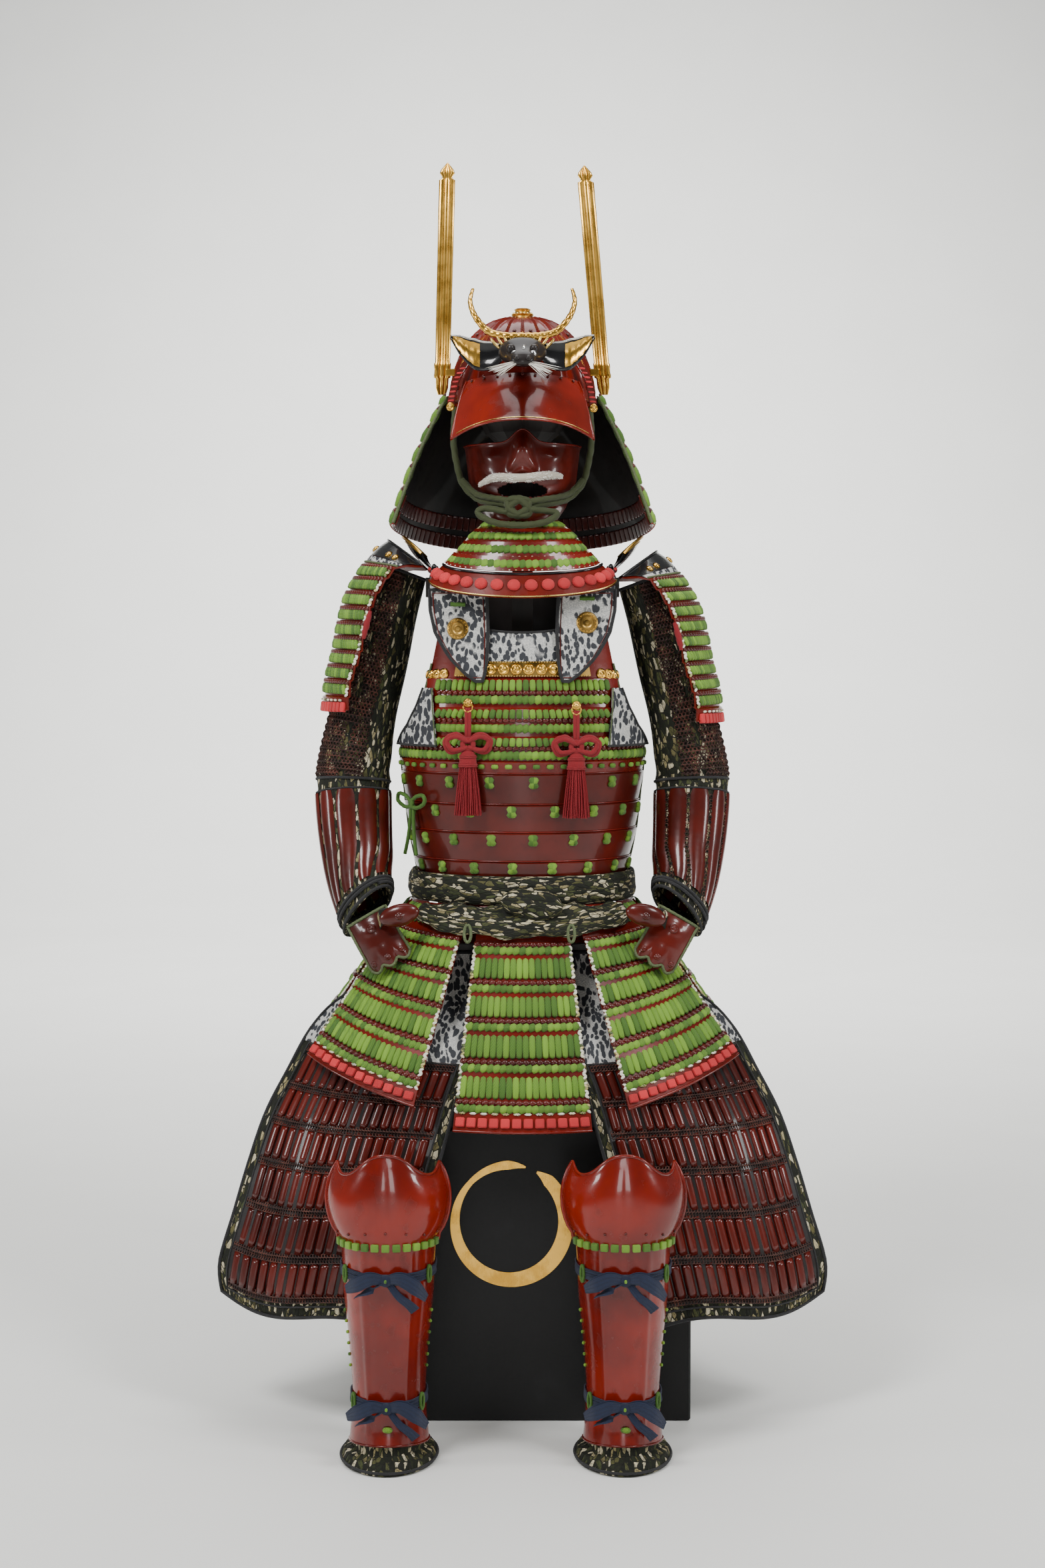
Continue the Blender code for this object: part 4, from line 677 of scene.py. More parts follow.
def turned_unit(name, profile, steps=16):
    """A round fitting, spun from a line of (radius, height)."""
    obj = primitive(name, bpy.ops.mesh.primitive_plane_add, size=1.0)
    edited(obj, lambda: bpy.ops.mesh.delete(type="VERT"))
    obj.data.from_pydata([(r, 0.0, h) for r, h in profile], [(k, k + 1) for k in range(len(profile) - 1)], [])
    obj.data.update()
    edited(
        obj,
        lambda: bpy.ops.mesh.spin(steps=steps, angle=2 * pi, center=(0, 0, 0), axis=(0, 0, 1)),
        lambda: bpy.ops.mesh.remove_doubles(threshold=1e-5),
        lambda: bpy.ops.mesh.normals_make_consistent(inside=False),
    )
    return smooth(obj, 35.0)


STRAND = ball_unit("strand unit", 8, 4, 0.55)
DOT = ball_unit("dot unit", 6, 4)
PAD, SLAT = pad_unit(), slat_unit()
LINK = ring_unit("link unit", 6, 3, 1.0, 0.28)
# A rosette's turned line: radius, height.
ROSETTE_LINE = (
    (0.0, 0.55), (0.3, 0.5), (0.4, 0.28), (0.52, 0.24), (0.62, 0.4), (0.78, 0.36), (0.86, 0.16), (1.0, 0.1),
    (1.0, -0.1),
)
ROSETTE = turned_unit("rosette unit", ROSETTE_LINE)
LOCK = ball_unit("lock unit", 4, 4)


def side_name(stem, side):
    return f"{stem}_{'left' if side == LEFT else 'right'}"


# The armour's surfaces, as the frame has them.

TORSO = (
    (0.74, 0.16, 0.136, 0.128), (0.803, 0.16, 0.136, 0.128), (0.872, 0.174, 0.141, 0.132),
    (0.98, 0.186, 0.147, 0.138), (1.06, 0.184, 0.147, 0.138), (1.13, 0.176, 0.139, 0.132),
    (1.2, 0.166, 0.124, 0.124), (1.26, 0.16, 0.112, 0.118),
)
ARMHOLE = (
    (0.803, 89.88), (0.99, 89.88), (1.008, 79.0), (1.032, 66.0), (1.06, 57.5), (1.09, 53.0), (1.13, 50.0),
    (1.26, 44.0),
)
STEP = 0.004


def torso(degrees, z, out=0.0):
    half, front, back = at(TORSO, z)
    turn = radians(degrees)
    depth = front if cos(turn) > 0 else back
    normal = vec(sin(turn) / half, -cos(turn) / depth, 0.0).normalized()
    return vec(half * sin(turn), -depth * cos(turn), z) + normal * out


def cuirass_point(back):
    """The front or back plate: u from edge to edge, v from the neck's edge down."""
    neck, rim = (1.205, 0.01) if back else (1.172, 0.032)

    def place(u, v):
        z = lerp(neck, 0.803, v)
        if z > 1.128:
            z = lerp(1.128, neck + rim * u * u, (z - 1.128) / (neck - 1.128))
        limit = at(ARMHOLE, z)[0]
        return torso((180.0 if back else 0.0) + u * limit * (-1 if back else 1), z)

    return place, lambda z: (neck - z) / (neck - 0.803)


TASSETS = (
    ("tasset_front", 0.0, (-0.101, -0.272, 0.449), (0.101, -0.272, 0.449)),
    ("tasset_front_left", -51.5, (-0.326, -0.158, 0.543), (-0.163, -0.274, 0.486)),
    ("tasset_front_right", 51.5, (0.159, -0.276, 0.482), (0.328, -0.16, 0.543)),
    ("tasset_side_left", -103.0, (-0.318, 0.15, 0.52), (-0.338, -0.035, 0.53)),
    ("tasset_side_right", 103.0, (0.338, -0.035, 0.53), (0.318, 0.15, 0.52)),
    ("tasset_back_left", -154.0, (-0.01, 0.285, 0.455), (-0.22, 0.24, 0.49)),
    ("tasset_back_right", 154.0, (0.22, 0.24, 0.49), (0.01, 0.285, 0.455)),
)
TASSET_TOP = 0.7634


def tasset_point(degrees, first, second):
    middle = torso(degrees, 0.77, 0.0105)
    tangent = (torso(degrees + 2.0, 0.77) - torso(degrees - 2.0, 0.77)).normalized()
    corners = [vec(p.x, p.y, TASSET_TOP) for p in (middle - tangent * 0.064, middle + tangent * 0.064)]
    lower = [Vector(first), Vector(second)]
    if (lower[0] - corners[0]).length > (lower[1] - corners[0]).length:
        lower.reverse()
    outward = vec(middle.x, middle.y, 0).normalized()

    def place(u, v):
        upper, hem = corners[0].lerp(corners[1], u), lower[0].lerp(lower[1], u)
        arch = lerp(0.013, 0.016, v) * (1 - (2 * u - 1) ** 2)
        return upper.lerp(hem, v) + outward * (arch - lerp(0.013, 0.006, v))

    return place


SODE_ROWS = (
    (1.312, 0.204, 0.15, 1.27), (1.296, 0.226, 0.172, 1.272), (1.268, 0.247, 0.194, 1.262),
    (1.228, 0.27, 0.219, 1.224), (1.184, 0.282, 0.233, 1.182), (1.142, 0.29, 0.242, 1.14),
    (1.1, 0.301, 0.256, 1.098), (1.053, 0.307, 0.262, 1.055),
)
SODE_TOP = 0.255


def sode_point(side):
    drop = -0.017 if side == RIGHT else 0.0

    def place(u, v):
        z_mid, x_out, x_edge, z_edge = along(SODE_ROWS, v)
        round_out = sin(pi * u) ** 0.8 if 0.0 < u < 1.0 else 0.0
        y = lerp(-0.108, 0.112, u) * lerp(0.86, 1.0, min(1.0, v * 4))
        return vec(side * lerp(x_edge, x_out, round_out), y, lerp(z_edge, z_mid, round_out) + drop)

    return place


THIGH_ROWS = (
    (0.69, 0.016, -0.098, 0.69, 0.15, -0.098), (0.62, 0.04, -0.15, 0.62, 0.27, -0.06),
    (0.56, 0.068, -0.212, 0.575, 0.32, -0.085), (0.5, 0.092, -0.24, 0.51, 0.357, -0.108),
    (0.445, 0.107, -0.25, 0.45, 0.388, -0.125), (0.38, 0.125, -0.258, 0.38, 0.412, -0.14),
    (0.3, 0.142, -0.262, 0.305, 0.434, -0.152), (0.215, 0.16, -0.262, 0.232, 0.455, -0.16),
    (0.15, 0.178, -0.258, 0.186, 0.452, -0.16),
)


def thigh_point(side):
    def place(u, v):
        z_in, x_in, y_in, z_out, x_out, y_out = along(THIGH_ROWS, v)
        inner, outer = vec(side * x_in, y_in, z_in), vec(side * x_out, y_out, z_out)
        bulge = 0.0356 * sin(pi * min(max(u, 0.0), 1.0)) * min(1.0, v * 4)
        return inner.lerp(outer, u) + vec(side * bulge * 0.25, -bulge, 0.012 * sin(2 * pi * u) * v**3)

    return place


SLEEVE_RINGS = (
    (0.188, 0.004, 1.253, 0.042, 0.05), (0.208, 0.004, 1.195, 0.046, 0.056),
    (0.226, 0.002, 1.12, 0.048, 0.056), (0.245, -0.004, 1.045, 0.05, 0.056),
    (0.259, -0.012, 0.965, 0.055, 0.057), (0.26, -0.02, 0.915, 0.056, 0.057),
    (0.255, -0.04, 0.85, 0.053, 0.053), (0.246, -0.068, 0.795, 0.049, 0.048),
    (0.233, -0.1, 0.75, 0.048, 0.044),
)
SLEEVE_TOP = {LEFT: (0.0012, 0.016, 0.0012), RIGHT: (0.001, 0.0, 0.001)}


def sleeve_frame(side, share):
    x, y, z, half, deep = along(SLEEVE_RINGS, share)
    before, after = along(SLEEVE_RINGS, max(0.0, share - 0.035)), along(SLEEVE_RINGS, min(1.0, share + 0.035))
    ahead = vec(side * (after[0] - before[0]), after[1] - before[1], after[2] - before[2]).normalized()
    ahead = (ahead + vec(-side * 0.72 * max(0.0, share - 0.8) / 0.2, 0.0, 0.0)).normalized()
    across = Y.cross(ahead).normalized()
    forward = ahead.cross(across).normalized()
    shift, lift, swell = (value * max(0.0, 1.0 - 5.0 * share) for value in SLEEVE_TOP[side])
    return vec(side * (x + shift), y, z + lift), across * (half + swell), forward * deep


def sleeve_point(side):
    """Around the sleeve, u from 0 to 1 by way of the front, and v down its length."""

    def place(u, v):
        centre, across, forward = sleeve_frame(side, v)
        return centre + across * cos(2 * pi * u) + forward * sin(2 * pi * u)

    return place


def neck_guard_point(u, v):
    """The helmet's neck guard: u from its left front edge round the back, v down."""
    rows = ((1.53, 1.528, 0.1172, 0.136), (1.44, 1.425, 0.162, 0.168), (1.336, 1.3, 0.202, 0.196))
    side_z, back_z, half, depth = along(rows, v)
    turn = radians(lerp(284.0, 76.0, u))
    return Vector((half * sin(turn), -depth * cos(turn), lerp(side_z, back_z, max(0.0, -cos(turn)))))


def throat_point(u, v):
    """The bib under the chin, u from 0 to 1."""
    rows = (
        (1.335, 1.3372, 0.0525, -0.0897, -0.03), (1.3165, 1.32, 0.072, -0.116, -0.066),
        (1.298, 1.302, 0.087, -0.131, -0.08), (1.275, 1.284, 0.103, -0.143, -0.088),
        (1.25, 1.268, 0.123, -0.155, -0.094), (1.222, 1.248, 0.14, -0.168, -0.104),
    )
    z_mid, z_end, half, front, end = along(rows, v)
    turn = (u - 0.5) * pi
    return Vector((half * sin(turn), lerp(end, front, cos(turn)), lerp(z_end, z_mid, cos(turn))))


LEG_X = {LEFT: -0.19, RIGHT: 0.143}
LEG_Y = -0.345
SHIN_ROWS = (
    (0.326, 0.0665, 0.073), (0.3, 0.0655, 0.072), (0.24, 0.063, 0.071), (0.17, 0.056, 0.066),
    (0.105, 0.051, 0.062), (0.06, 0.0525, 0.063), (0.024, 0.056, 0.068),
)


def leg_ring(side, half, depth, degrees, out=0.0):
    turn = radians(degrees)
    normal = vec(sin(turn) / half, -cos(turn) / depth, 0.0).normalized()
    return vec(LEG_X[side] + half * sin(turn), LEG_Y - depth * cos(turn), 0.0) + normal * out


def leg_point(side, degrees, z, out=0.0):
    here = leg_ring(side, *at(SHIN_ROWS, z), degrees, out)
    here.z = z
    return here


def knee_point(side):
    def place(u, v):
        u = 2 * u - 1
        lobes = 0.035 * exp(-(abs(u / 0.4) ** 2.6)) + 0.012 * exp(-(((abs(u) - 1.0) / 0.16) ** 2))
        z = lerp(0.413 + lobes, 0.313, v)
        full = 0.0165 * sin(pi * min(1.0, v / 0.9)) ** 0.7 if v < 0.9 else 0.0
        base = leg_point(side, 84.0 * u, min(z, 0.326), 0.0045 + full * (0.35 + 0.65 * abs(u)))
        return vec(base.x, base.y + 0.006 * (1 - v), z)

    return place


def bowl_point(u, v, out=0.0):
    """The helmet bowl: u once round from the back, v from its rim to the crown."""
    turn = 2 * pi * (u - 0.5)
    reach = max(0.0, cos(v * pi / 2)) ** 0.75
    return Vector(((0.1095 + out) * reach * sin(turn), -(0.128 + out) * reach * cos(turn),
                   1.512 + (0.136 + out) * sin(v * pi / 2)))


def peak_point(u, v):
    u = 2 * u - 1
    low = 1.48 - 0.024 * abs(u) ** 2.6
    x = lerp(0.082, 0.1065, v**0.7) * u
    brow = -0.1262 * sqrt(1.0 - (0.082 * u / 0.1096) ** 2) - 0.0022 - 0.0035 * u * u
    y = lerp(brow, -0.186 + 0.068 * u * u, v) - 0.004 * v * exp(-((u / 0.12) ** 2))
    return vec(x, y, lerp(1.5545 - 0.008 * u * u, low, v))


def mask_point(u, v):
    u = 2 * u - 1
    half = at(((0.0, 0.088), (0.45, 0.082), (0.8, 0.066), (1.0, 0.05)), v)[0]
    depth = at(((0.0, 0.108), (0.5, 0.112), (0.8, 0.104), (1.0, 0.086)), v)[0]
    turn = radians(78.0 * u)
    top = 1.454 + 0.02 * exp(-((u / 0.14) ** 2))
    return Vector((half * sin(turn) / sin(radians(78.0)), -depth * cos(turn), lerp(top, 1.338, v)))


# Laced work: each lame shows its scalloped upper edge, a rope of slanting lacing, a plain
# stripe and a row of upright strands that run up to the next lame.


def row_of(point, v, out, pitch, size, turn=0.0, start=0.0, end=1.0, axis=(0.0, 0.0)):
    """Places for a row of small pieces along a line of the surface, at even steps."""
    ran = ran_along([point(u, v) for u in spread(start, end, 41)])
    count = max(2, round(ran[-1] / pitch))
    places = []
    for k in range(count):
        want = (k + 0.5) / count * ran[-1]
        i = max(0, min(39, int(np.searchsorted(ran, want)) - 1))
        t = (want - ran[i]) / max(1e-9, ran[i + 1] - ran[i])
        u = lerp(start, end, (i + t) / 40)
        wide = (size[0] * ran[-1] / count / pitch, size[1], size[2])
        places.append(spot(point, u, v, out, turn, wide, axis))
    return places


def edge_braid(point, vs, out, ends=(0.012, 0.988), axis=(0.0, 0.0), step=0.0042):
    """Places of the small stitches that bind the ends of the rows."""
    places = []
    for low, high in vs:
        for u in ends:
            length = (point(u, high) - point(u, low)).length
            for k in range(max(1, round(length / step))):
                v = lerp(low, high, (k + 0.5) / max(1, round(length / step)))
                lean = 0.6 if k % 2 else -0.6
                places.append(spot(point, u, v, out, lean, (0.0042, 0.0024, 0.0018), axis))
    return places


class Lacing:
    """The parts of one laced guard, gathered row by row and then made."""

    def __init__(self, name, point, axis=(0.0, 0.0)):
        self.name, self.point, self.axis = name, point, axis
        self.scales, self.ropes, self.strands, self.ends, self.pads, self.knots = [], [], [], [], [], []

    def row(self, v, out, pitch, size, turn=0.0, start=0.03, end=0.97):
        return row_of(self.point, v, out, pitch, size, turn, start, end, self.axis)

    def length(self, low, high):
        return (self.point(0.5, high) - self.point(0.5, low)).length

    def lame(self, top, bottom, out, pitch=0.0092, rope=0.0068, scallop=0.0055, uprights=True, slant=0.58,
            plump=0.9):
        """One lame between two shares of the length; its upper edge stands out by out."""
        whole = self.length(top, bottom)
        down = lambda metres: top + (bottom - top) * metres / whole
        self.scales += self.row(down(scallop * 0.55), out * 0.85, pitch * 1.15,
            (pitch * 0.62, scallop, 0.0022), 0.0, 0.0, 1.0)
        mid = scallop + rope
        self.ropes += self.row(down(mid), out * 0.8, pitch, (pitch * 0.78, rope * plump, 0.0036), slant)
        self.ends += edge_braid(self.point, [(down(scallop), bottom)], out * 0.8, axis=self.axis)
        low = scallop + 2 * rope
        if uprights and whole - low > 0.006:
            tall = (whole - low - 0.0035) / 2
            centre = down(low + 0.003 + tall)
            self.strands += self.row(centre, 0.0012, pitch, (pitch * 0.52, tall, 0.003))

    def make(self):
        groups = (
            ("scales", STRAND, self.scales, BROWN_RED), ("rope", STRAND, self.ropes, GREEN),
            ("strands", STRAND, self.strands, GREEN), ("edge_braid", DOT, self.ends, EDGING),
            ("pads", PAD, self.pads, PINK), ("cross_knots", DOT, self.knots, EDGING),
        )
        for word, unit, places, material in groups:
            if places:
                copies(f"{self.name}_{word}", unit, places, material)


def lofted(name, rings, angle=50.0):
    """A body through closed rings of points, shaped from a grid."""
    across, down = len(rings[0]), len(rings)
    obj, spots = flat_grid(name, across, down - 1)
    for vertex, (i, j) in zip(obj.data.vertices, spots):
        vertex.co = rings[j][i % across]
    step = (rings[down // 2][1] - rings[down // 2][0]).length
    cloth_uv(obj, spots, [i * step for i in range(across + 1)], ran_along([ring[0] for ring in rings]))
    return smooth(sealed(obj), angle)


def oval(centre, side, up, sides, power=1.0):
    """A closed ring round a centre; a power under 1 squares it off."""
    full = lambda c: abs(c) ** power * (1 if c > 0 else -1)
    return [centre + side * full(cos(t)) + up * full(sin(t)) for t in turns(sides)]


def strap(name, path, lies, widths, thick, sides=12):
    """A flat band along a path: lies gives its way across, widths its width at each point."""
    rings = []
    last = len(path) - 1
    for k, here in enumerate(path):
        ahead = (path[min(k + 1, last)] - path[max(k - 1, 0)]).normalized()
        lie = Vector(lies[k]) if isinstance(lies, list) else Vector(lies)
        across = (lie - ahead * ahead.dot(lie)).normalized()
        rings.append(oval(here, across * widths[k] / 2, ahead.cross(across) * thick / 2, sides, 0.55))
    return lofted(name, rings, 60.0)


def laid_cord(name, point, line, radius, material, out=0.0, axis=(0.0, 0.0), plait=0.0, sides=6):
    """A cord laid on a surface along a line of (u, v)."""
    points = [point(u, v) + facing(point, u, v, axis) * out for u, v in line]
    return strand(name, points, radius, sides, plait, material)


def rim(low, high, count=9):
    """The outline of a panel, from its upper left corner round to it again."""
    (a, b), (c, d) = low, high
    line = level(b, count, a, c) + [(c, v) for v in spread(b, d, count)[1:]]
    return line + [(u, d) for u in spread(c, a, count)[1:]] + [(a, v) for v in spread(d, b, count)[1:]]


def moved(obj, matrix):
    obj.data.transform(matrix)
    obj.data.update()
    return obj


def aimed(aim):
    """A turn that points Z along aim."""
    return Vector(aim).to_track_quat("Z", "Y").to_matrix().to_4x4()


def fitting(name, profile, centre, aim, material, steps, replaces=()):
    """One turned fitting at its place, its axis along aim."""
    made = turned_unit(name, profile, steps)
    return ready(moved(made, Matrix.Translation(centre) @ aimed(aim)), material, replaces)


make_studio()

# The floor.
floor = primitive("floor", bpy.ops.mesh.primitive_plane_add, size=14.0)
edited(floor, lambda: bpy.ops.mesh.subdivide(number_cuts=27))
floor.data.transform(Matrix.Translation((0.0, 3.0, 0.0)))
for vertex in floor.data.vertices:
    vertex.co.z = 0.3 * max(0.0, vertex.co.y - 5.5) ** 2
smooth(floor)


def pale_floor(w):
    mottle = w.noise(3.0, 4.0)
    return {"Base Color": mottle.blend((0.8, 0.8, 0.77), (0.86, 0.86, 0.83)), "Roughness": 0.7}


floor.data.materials.append(finish("pale floor", pale_floor))

# The two free tails of the side tie.
TIE_KNOT = torso(-62.0, 0.912, 0.0118)
TIE_SIDE = (torso(-58.0, 0.912) - torso(-66.0, 0.912)).normalized()
TIE_OUT = (torso(-62.0, 0.912, 0.01) - torso(-62.0, 0.912)).normalized()
for way, name in ((-1, "side_tail_back"), (1, "side_tail_front")):
    start = TIE_KNOT + TIE_SIDE * way * 0.004 + vec(0, 0, -0.008)
    route = []
    for share in spread(0, 1, 5):
        swing = TIE_SIDE * way * 0.013 * share * share + TIE_OUT * 0.003 * share
        route.append(start + swing + vec(0, 0, -0.069 * share))
    path = smooth_path(route, 22)
    tail = strand(name, path, 0.0026, 10, 0.12, GREEN, [name])
    round(ran_along(path)[-1], 4)


def make_helmet():
    plates = 20

    def ribs(u, v):
        ridge = max(0.0, cos(2 * pi * u * plates)) ** 6
        fade = min(1.0, v / 0.12) * min(1.0, (1.0 - v) / 0.12)
        return (0.0042 * ridge + 0.0006 * (1.0 - cos(2 * pi * u * plates))) * fade

    us = spread(0, 1, plates * 8 + 1)
    vs = (0.0, 0.02, 0.06, 0.12, 0.2, 0.3, 0.4, 0.5, 0.6, 0.7, 0.8, 0.88, 0.95)
    ready(skin("helmet_bowl_plates", bowl_point, us, vs, 0.002, rise=ribs, closed=True), RED, ["helmet_bowl"])
    rivets = [
        spot(bowl_point, (k + 0.5) / plates, v, 0.0016, 0.0, (size, size, 0.0024))
        for v, size in ((0.13, 0.0042), (0.36, 0.0038), (0.58, 0.0032))
        for k in range(plates)
    ]
    copies("bowl_rivets", DOT, rivets, BROWN_RED)
    laid_cord("bowl_rim_band", bowl_point, level(0.035, 65), 0.0026, BROWN_RED, 0.001)
    # Crown fitting: radius, height.
    crown = (
        (0.0, 0.0165), (0.0095, 0.0168), (0.0128, 0.015), (0.0112, 0.012), (0.0125, 0.009),
        (0.0172, 0.0074), (0.016, 0.0046), (0.017, 0.0022), (0.0212, 0.0004), (0.0, 0.0004),
    )
    fitting("crown_fitting", crown, (0.0, 0.0, 1.6484), (0, 0, 1), GILT, 32, ["crown_ring"])
    small = stretched(0.0026, 0.0026, 0.0026)
    beads = [Matrix.Translation((0.0236 * sin(t), -0.024 * cos(t), 1.6466)) @ small for t in turns(28)]
    copies("crown_beads", DOT, beads, RED)
    petals = []
    for k in range(16):
        t = 2 * pi * (k + 0.5) / 16
        place = Matrix.Translation((0.0148 * sin(t), -0.0148 * cos(t), 1.6566)) @ Matrix.Rotation(t, 4, "Z")
        petals.append(place @ stretched(0.0024, 0.0014, 0.0022))
    copies("crown_petals", DOT, petals, PALE_GILT)


def make_peak():
    place = peak_point
    fold = lambda u, v: 0.0018 * sin(pi * min(1.0, v * 1.1)) + 0.0014 * exp(-(((v - 0.985) / 0.03) ** 2))
    ready(skin("helmet_peak_plate", place, 49, 17, 0.0018, rise=fold), PEAK_RED, ["helmet_peak"])
    edge = upright(0.004, 0.02, 0.98, 12) + level(0.992, 40, 0.02, 0.98)
    edge += upright(0.996, 0.98, 0.02, 12)
    laid_cord("peak_rolled_rim", place, edge, 0.0017, BRIGHT_RED, 0.0008, sides=8)
    laid_cord("peak_rim_line", place, level(0.945, 40, 0.04, 0.96), 0.00065, PALE_GILT, 0.0008)
    studs = [spot(place, u, 0.05, 0.002, 0.0, (0.0026, 0.0026, 0.0016)) for u in spread(0.06, 0.94, 9)]
    copies("peak_rivets", DOT, studs, BROWN_RED)


def make_neck_guard():
    place = neck_guard_point
    lames = 7
    rows = []
    for k in range(lames):
        rows.append((k / lames + (0.004 if k else 0.0), 0.0036 if k else 0.0))
        rows.append(((k + 1) / lames - (0.004 if k < lames - 1 else 0.0), 0.0))
    outs = dict(rows)
    base = skin(
        "neck_guard_lames", place, spread(0, 1, 49), [v for v, _ in rows], 0.0022, rise=lambda u, v: outs[v]
    )
    ready(base, RED, ["neck_guard"])
    # A dull black sheet just inside the lames: painted shade in the guard's hollow.
    lining = skin("neck_guard_lining", place, spread(0.004, 0.996, 49), spread(0.02, 0.985, 15), 0.0006,
                  rise=-0.0026)
    ready(lining, DULL_BLACK)
    lacing = Lacing("neck_guard", place)
    for k in range(lames):
        top, bottom = k / lames + 0.004, (k + 1) / lames - 0.004
        lacing.lame(top, bottom, 0.0042, pitch=0.0098, rope=0.0056, scallop=0.005)
        for u in (0.012, 0.988):
            tall = 0.42 * lacing.length(top, bottom)
            lacing.strands.append(spot(place, u, (top + bottom) / 2, 0.002, 0.0, (0.009, tall, 0.0062)))
    lacing.make()
    scales = row_of(place, 0.93, -0.004, 0.0115, (0.0052, 0.011, 0.0016))
    scales += row_of(place, 0.8, -0.004, 0.0115, (0.0052, 0.011, 0.0016))
    copies("neck_guard_inner_scales", PAD, scales, BROWN_RED)
    for side in (LEFT, RIGHT):
        edge = 0.0 if side == LEFT else 1.0
        laid_cord(
            side_name("neck_guard_front_edge", side), place, upright(edge, 0.02, 0.99, 30), 0.0024, EDGING,
            out=0.001, plait=0.3, sides=8
        )
    laid_cord("neck_guard_hem", place, level(0.992, 60), 0.0017, PINK, 0.0006)


def make_turnbacks():
    """The small turned strips beside the peak, with their rods and a rosette under each."""
    for side, top, mid, low in (
        (LEFT, (-0.079, -0.088, 1.58), (-0.0985, -0.091, 1.548), (-0.1075, -0.088, 1.513)),
        (RIGHT, (0.0785, -0.088, 1.58), (0.0975, -0.091, 1.548), (0.106, -0.088, 1.511)),
    ):
        path = smooth_path([top, mid, low], 12)
        lie = vec(side * 0.75, 0.55, 0.0)
        band = strap(side_name("turnback", side), path, tuple(lie), [0.014] * 12, 0.0026)
        ready(band, BROWN_RED)
        rods = []
        for here in path[3:11]:
            lay = Matrix((lie.normalized(), Z, lie.normalized().cross(Z))).transposed().to_4x4()
            size = stretched(0.0062, 0.0016, 0.0016)
            rods.append(Matrix.Translation(here + vec(0, -0.0018, 0)) @ lay @ size)
        copies(side_name("turnback_rods", side), STRAND, rods, PINK)
        place = Matrix.Translation(Vector(low) + vec(0, -0.0035, -0.005)) @ Matrix.Rotation(pi / 2, 4, "X")
        place = place @ stretched(0.0066, 0.0066, 0.006)
        copies(side_name("turnback_rosette", side), ROSETTE, [place], GILT)


def make_side_bars():
    bars = {
        LEFT: (vec(-0.1235, 0.0, 1.5345), vec(-0.114, 0.0, 1.885)),
        RIGHT: (vec(0.125, 0.0, 1.5345), vec(0.094, 0.0, 1.881)),
    }
    # Share of the length, width and depth as shares of the full section.
    stations = (
        (0.0, 0.5, 0.6), (0.03, 0.74, 0.75), (0.07, 0.78, 0.8), (0.074, 1.0, 1.15), (0.086, 1.02, 1.22),
        (0.098, 0.96, 1.1), (0.112, 0.98, 1.15), (0.124, 1.02, 1.22), (0.136, 1.0, 1.15), (0.14, 0.9, 0.95),
        (0.3, 0.93, 0.95), (0.6, 0.95, 0.92), (0.925, 0.97, 0.9), (0.931, 0.66, 0.8), (0.94, 0.62, 0.8),
        (0.953, 0.9, 1.1), (0.968, 0.78, 0.9), (0.985, 0.4, 0.55), (1.0, 0.05, 0.22),
    )
    for side, (foot, tip) in bars.items():
        rings = []
        for share, wide, deep in stations:
            here = foot.lerp(tip, share)
            ring = []
            for a in spread(-1.0, 1.0, 25):
                flute = 1.0 - 0.55 * abs(sin(a * pi * 1.5 + pi / 2)) ** 0.7
                ring.append(here + vec(a * 0.01275 * wide, (-1.0 + 0.62 * flute) * 0.0045 * deep, 0))
            for a in spread(0.9, -0.9, 7):
                ring.append(
                    here + Vector((a * 0.01275 * wide, (0.75 + 0.25 * (1 - a * a)) * 0.0045 * deep, 0))
                )
            rings.append(ring)
        bar = lofted(side_name("side_crest_bar", side), rings, angle=40.0)
        reach = side * 0.11
        socket = primitive("socket", bpy.ops.mesh.primitive_cube_add, size=1.0)
        moved(socket, Matrix.Translation((reach, 0.0, 1.5685)) @ stretched(0.015, 0.008, 0.011))
        work(socket, "BEVEL", width=0.0012, segments=2)
        ready(joined(side_name("side_crest_bar", side), [bar, socket]), GILT, [side_name("side_crest", side)])


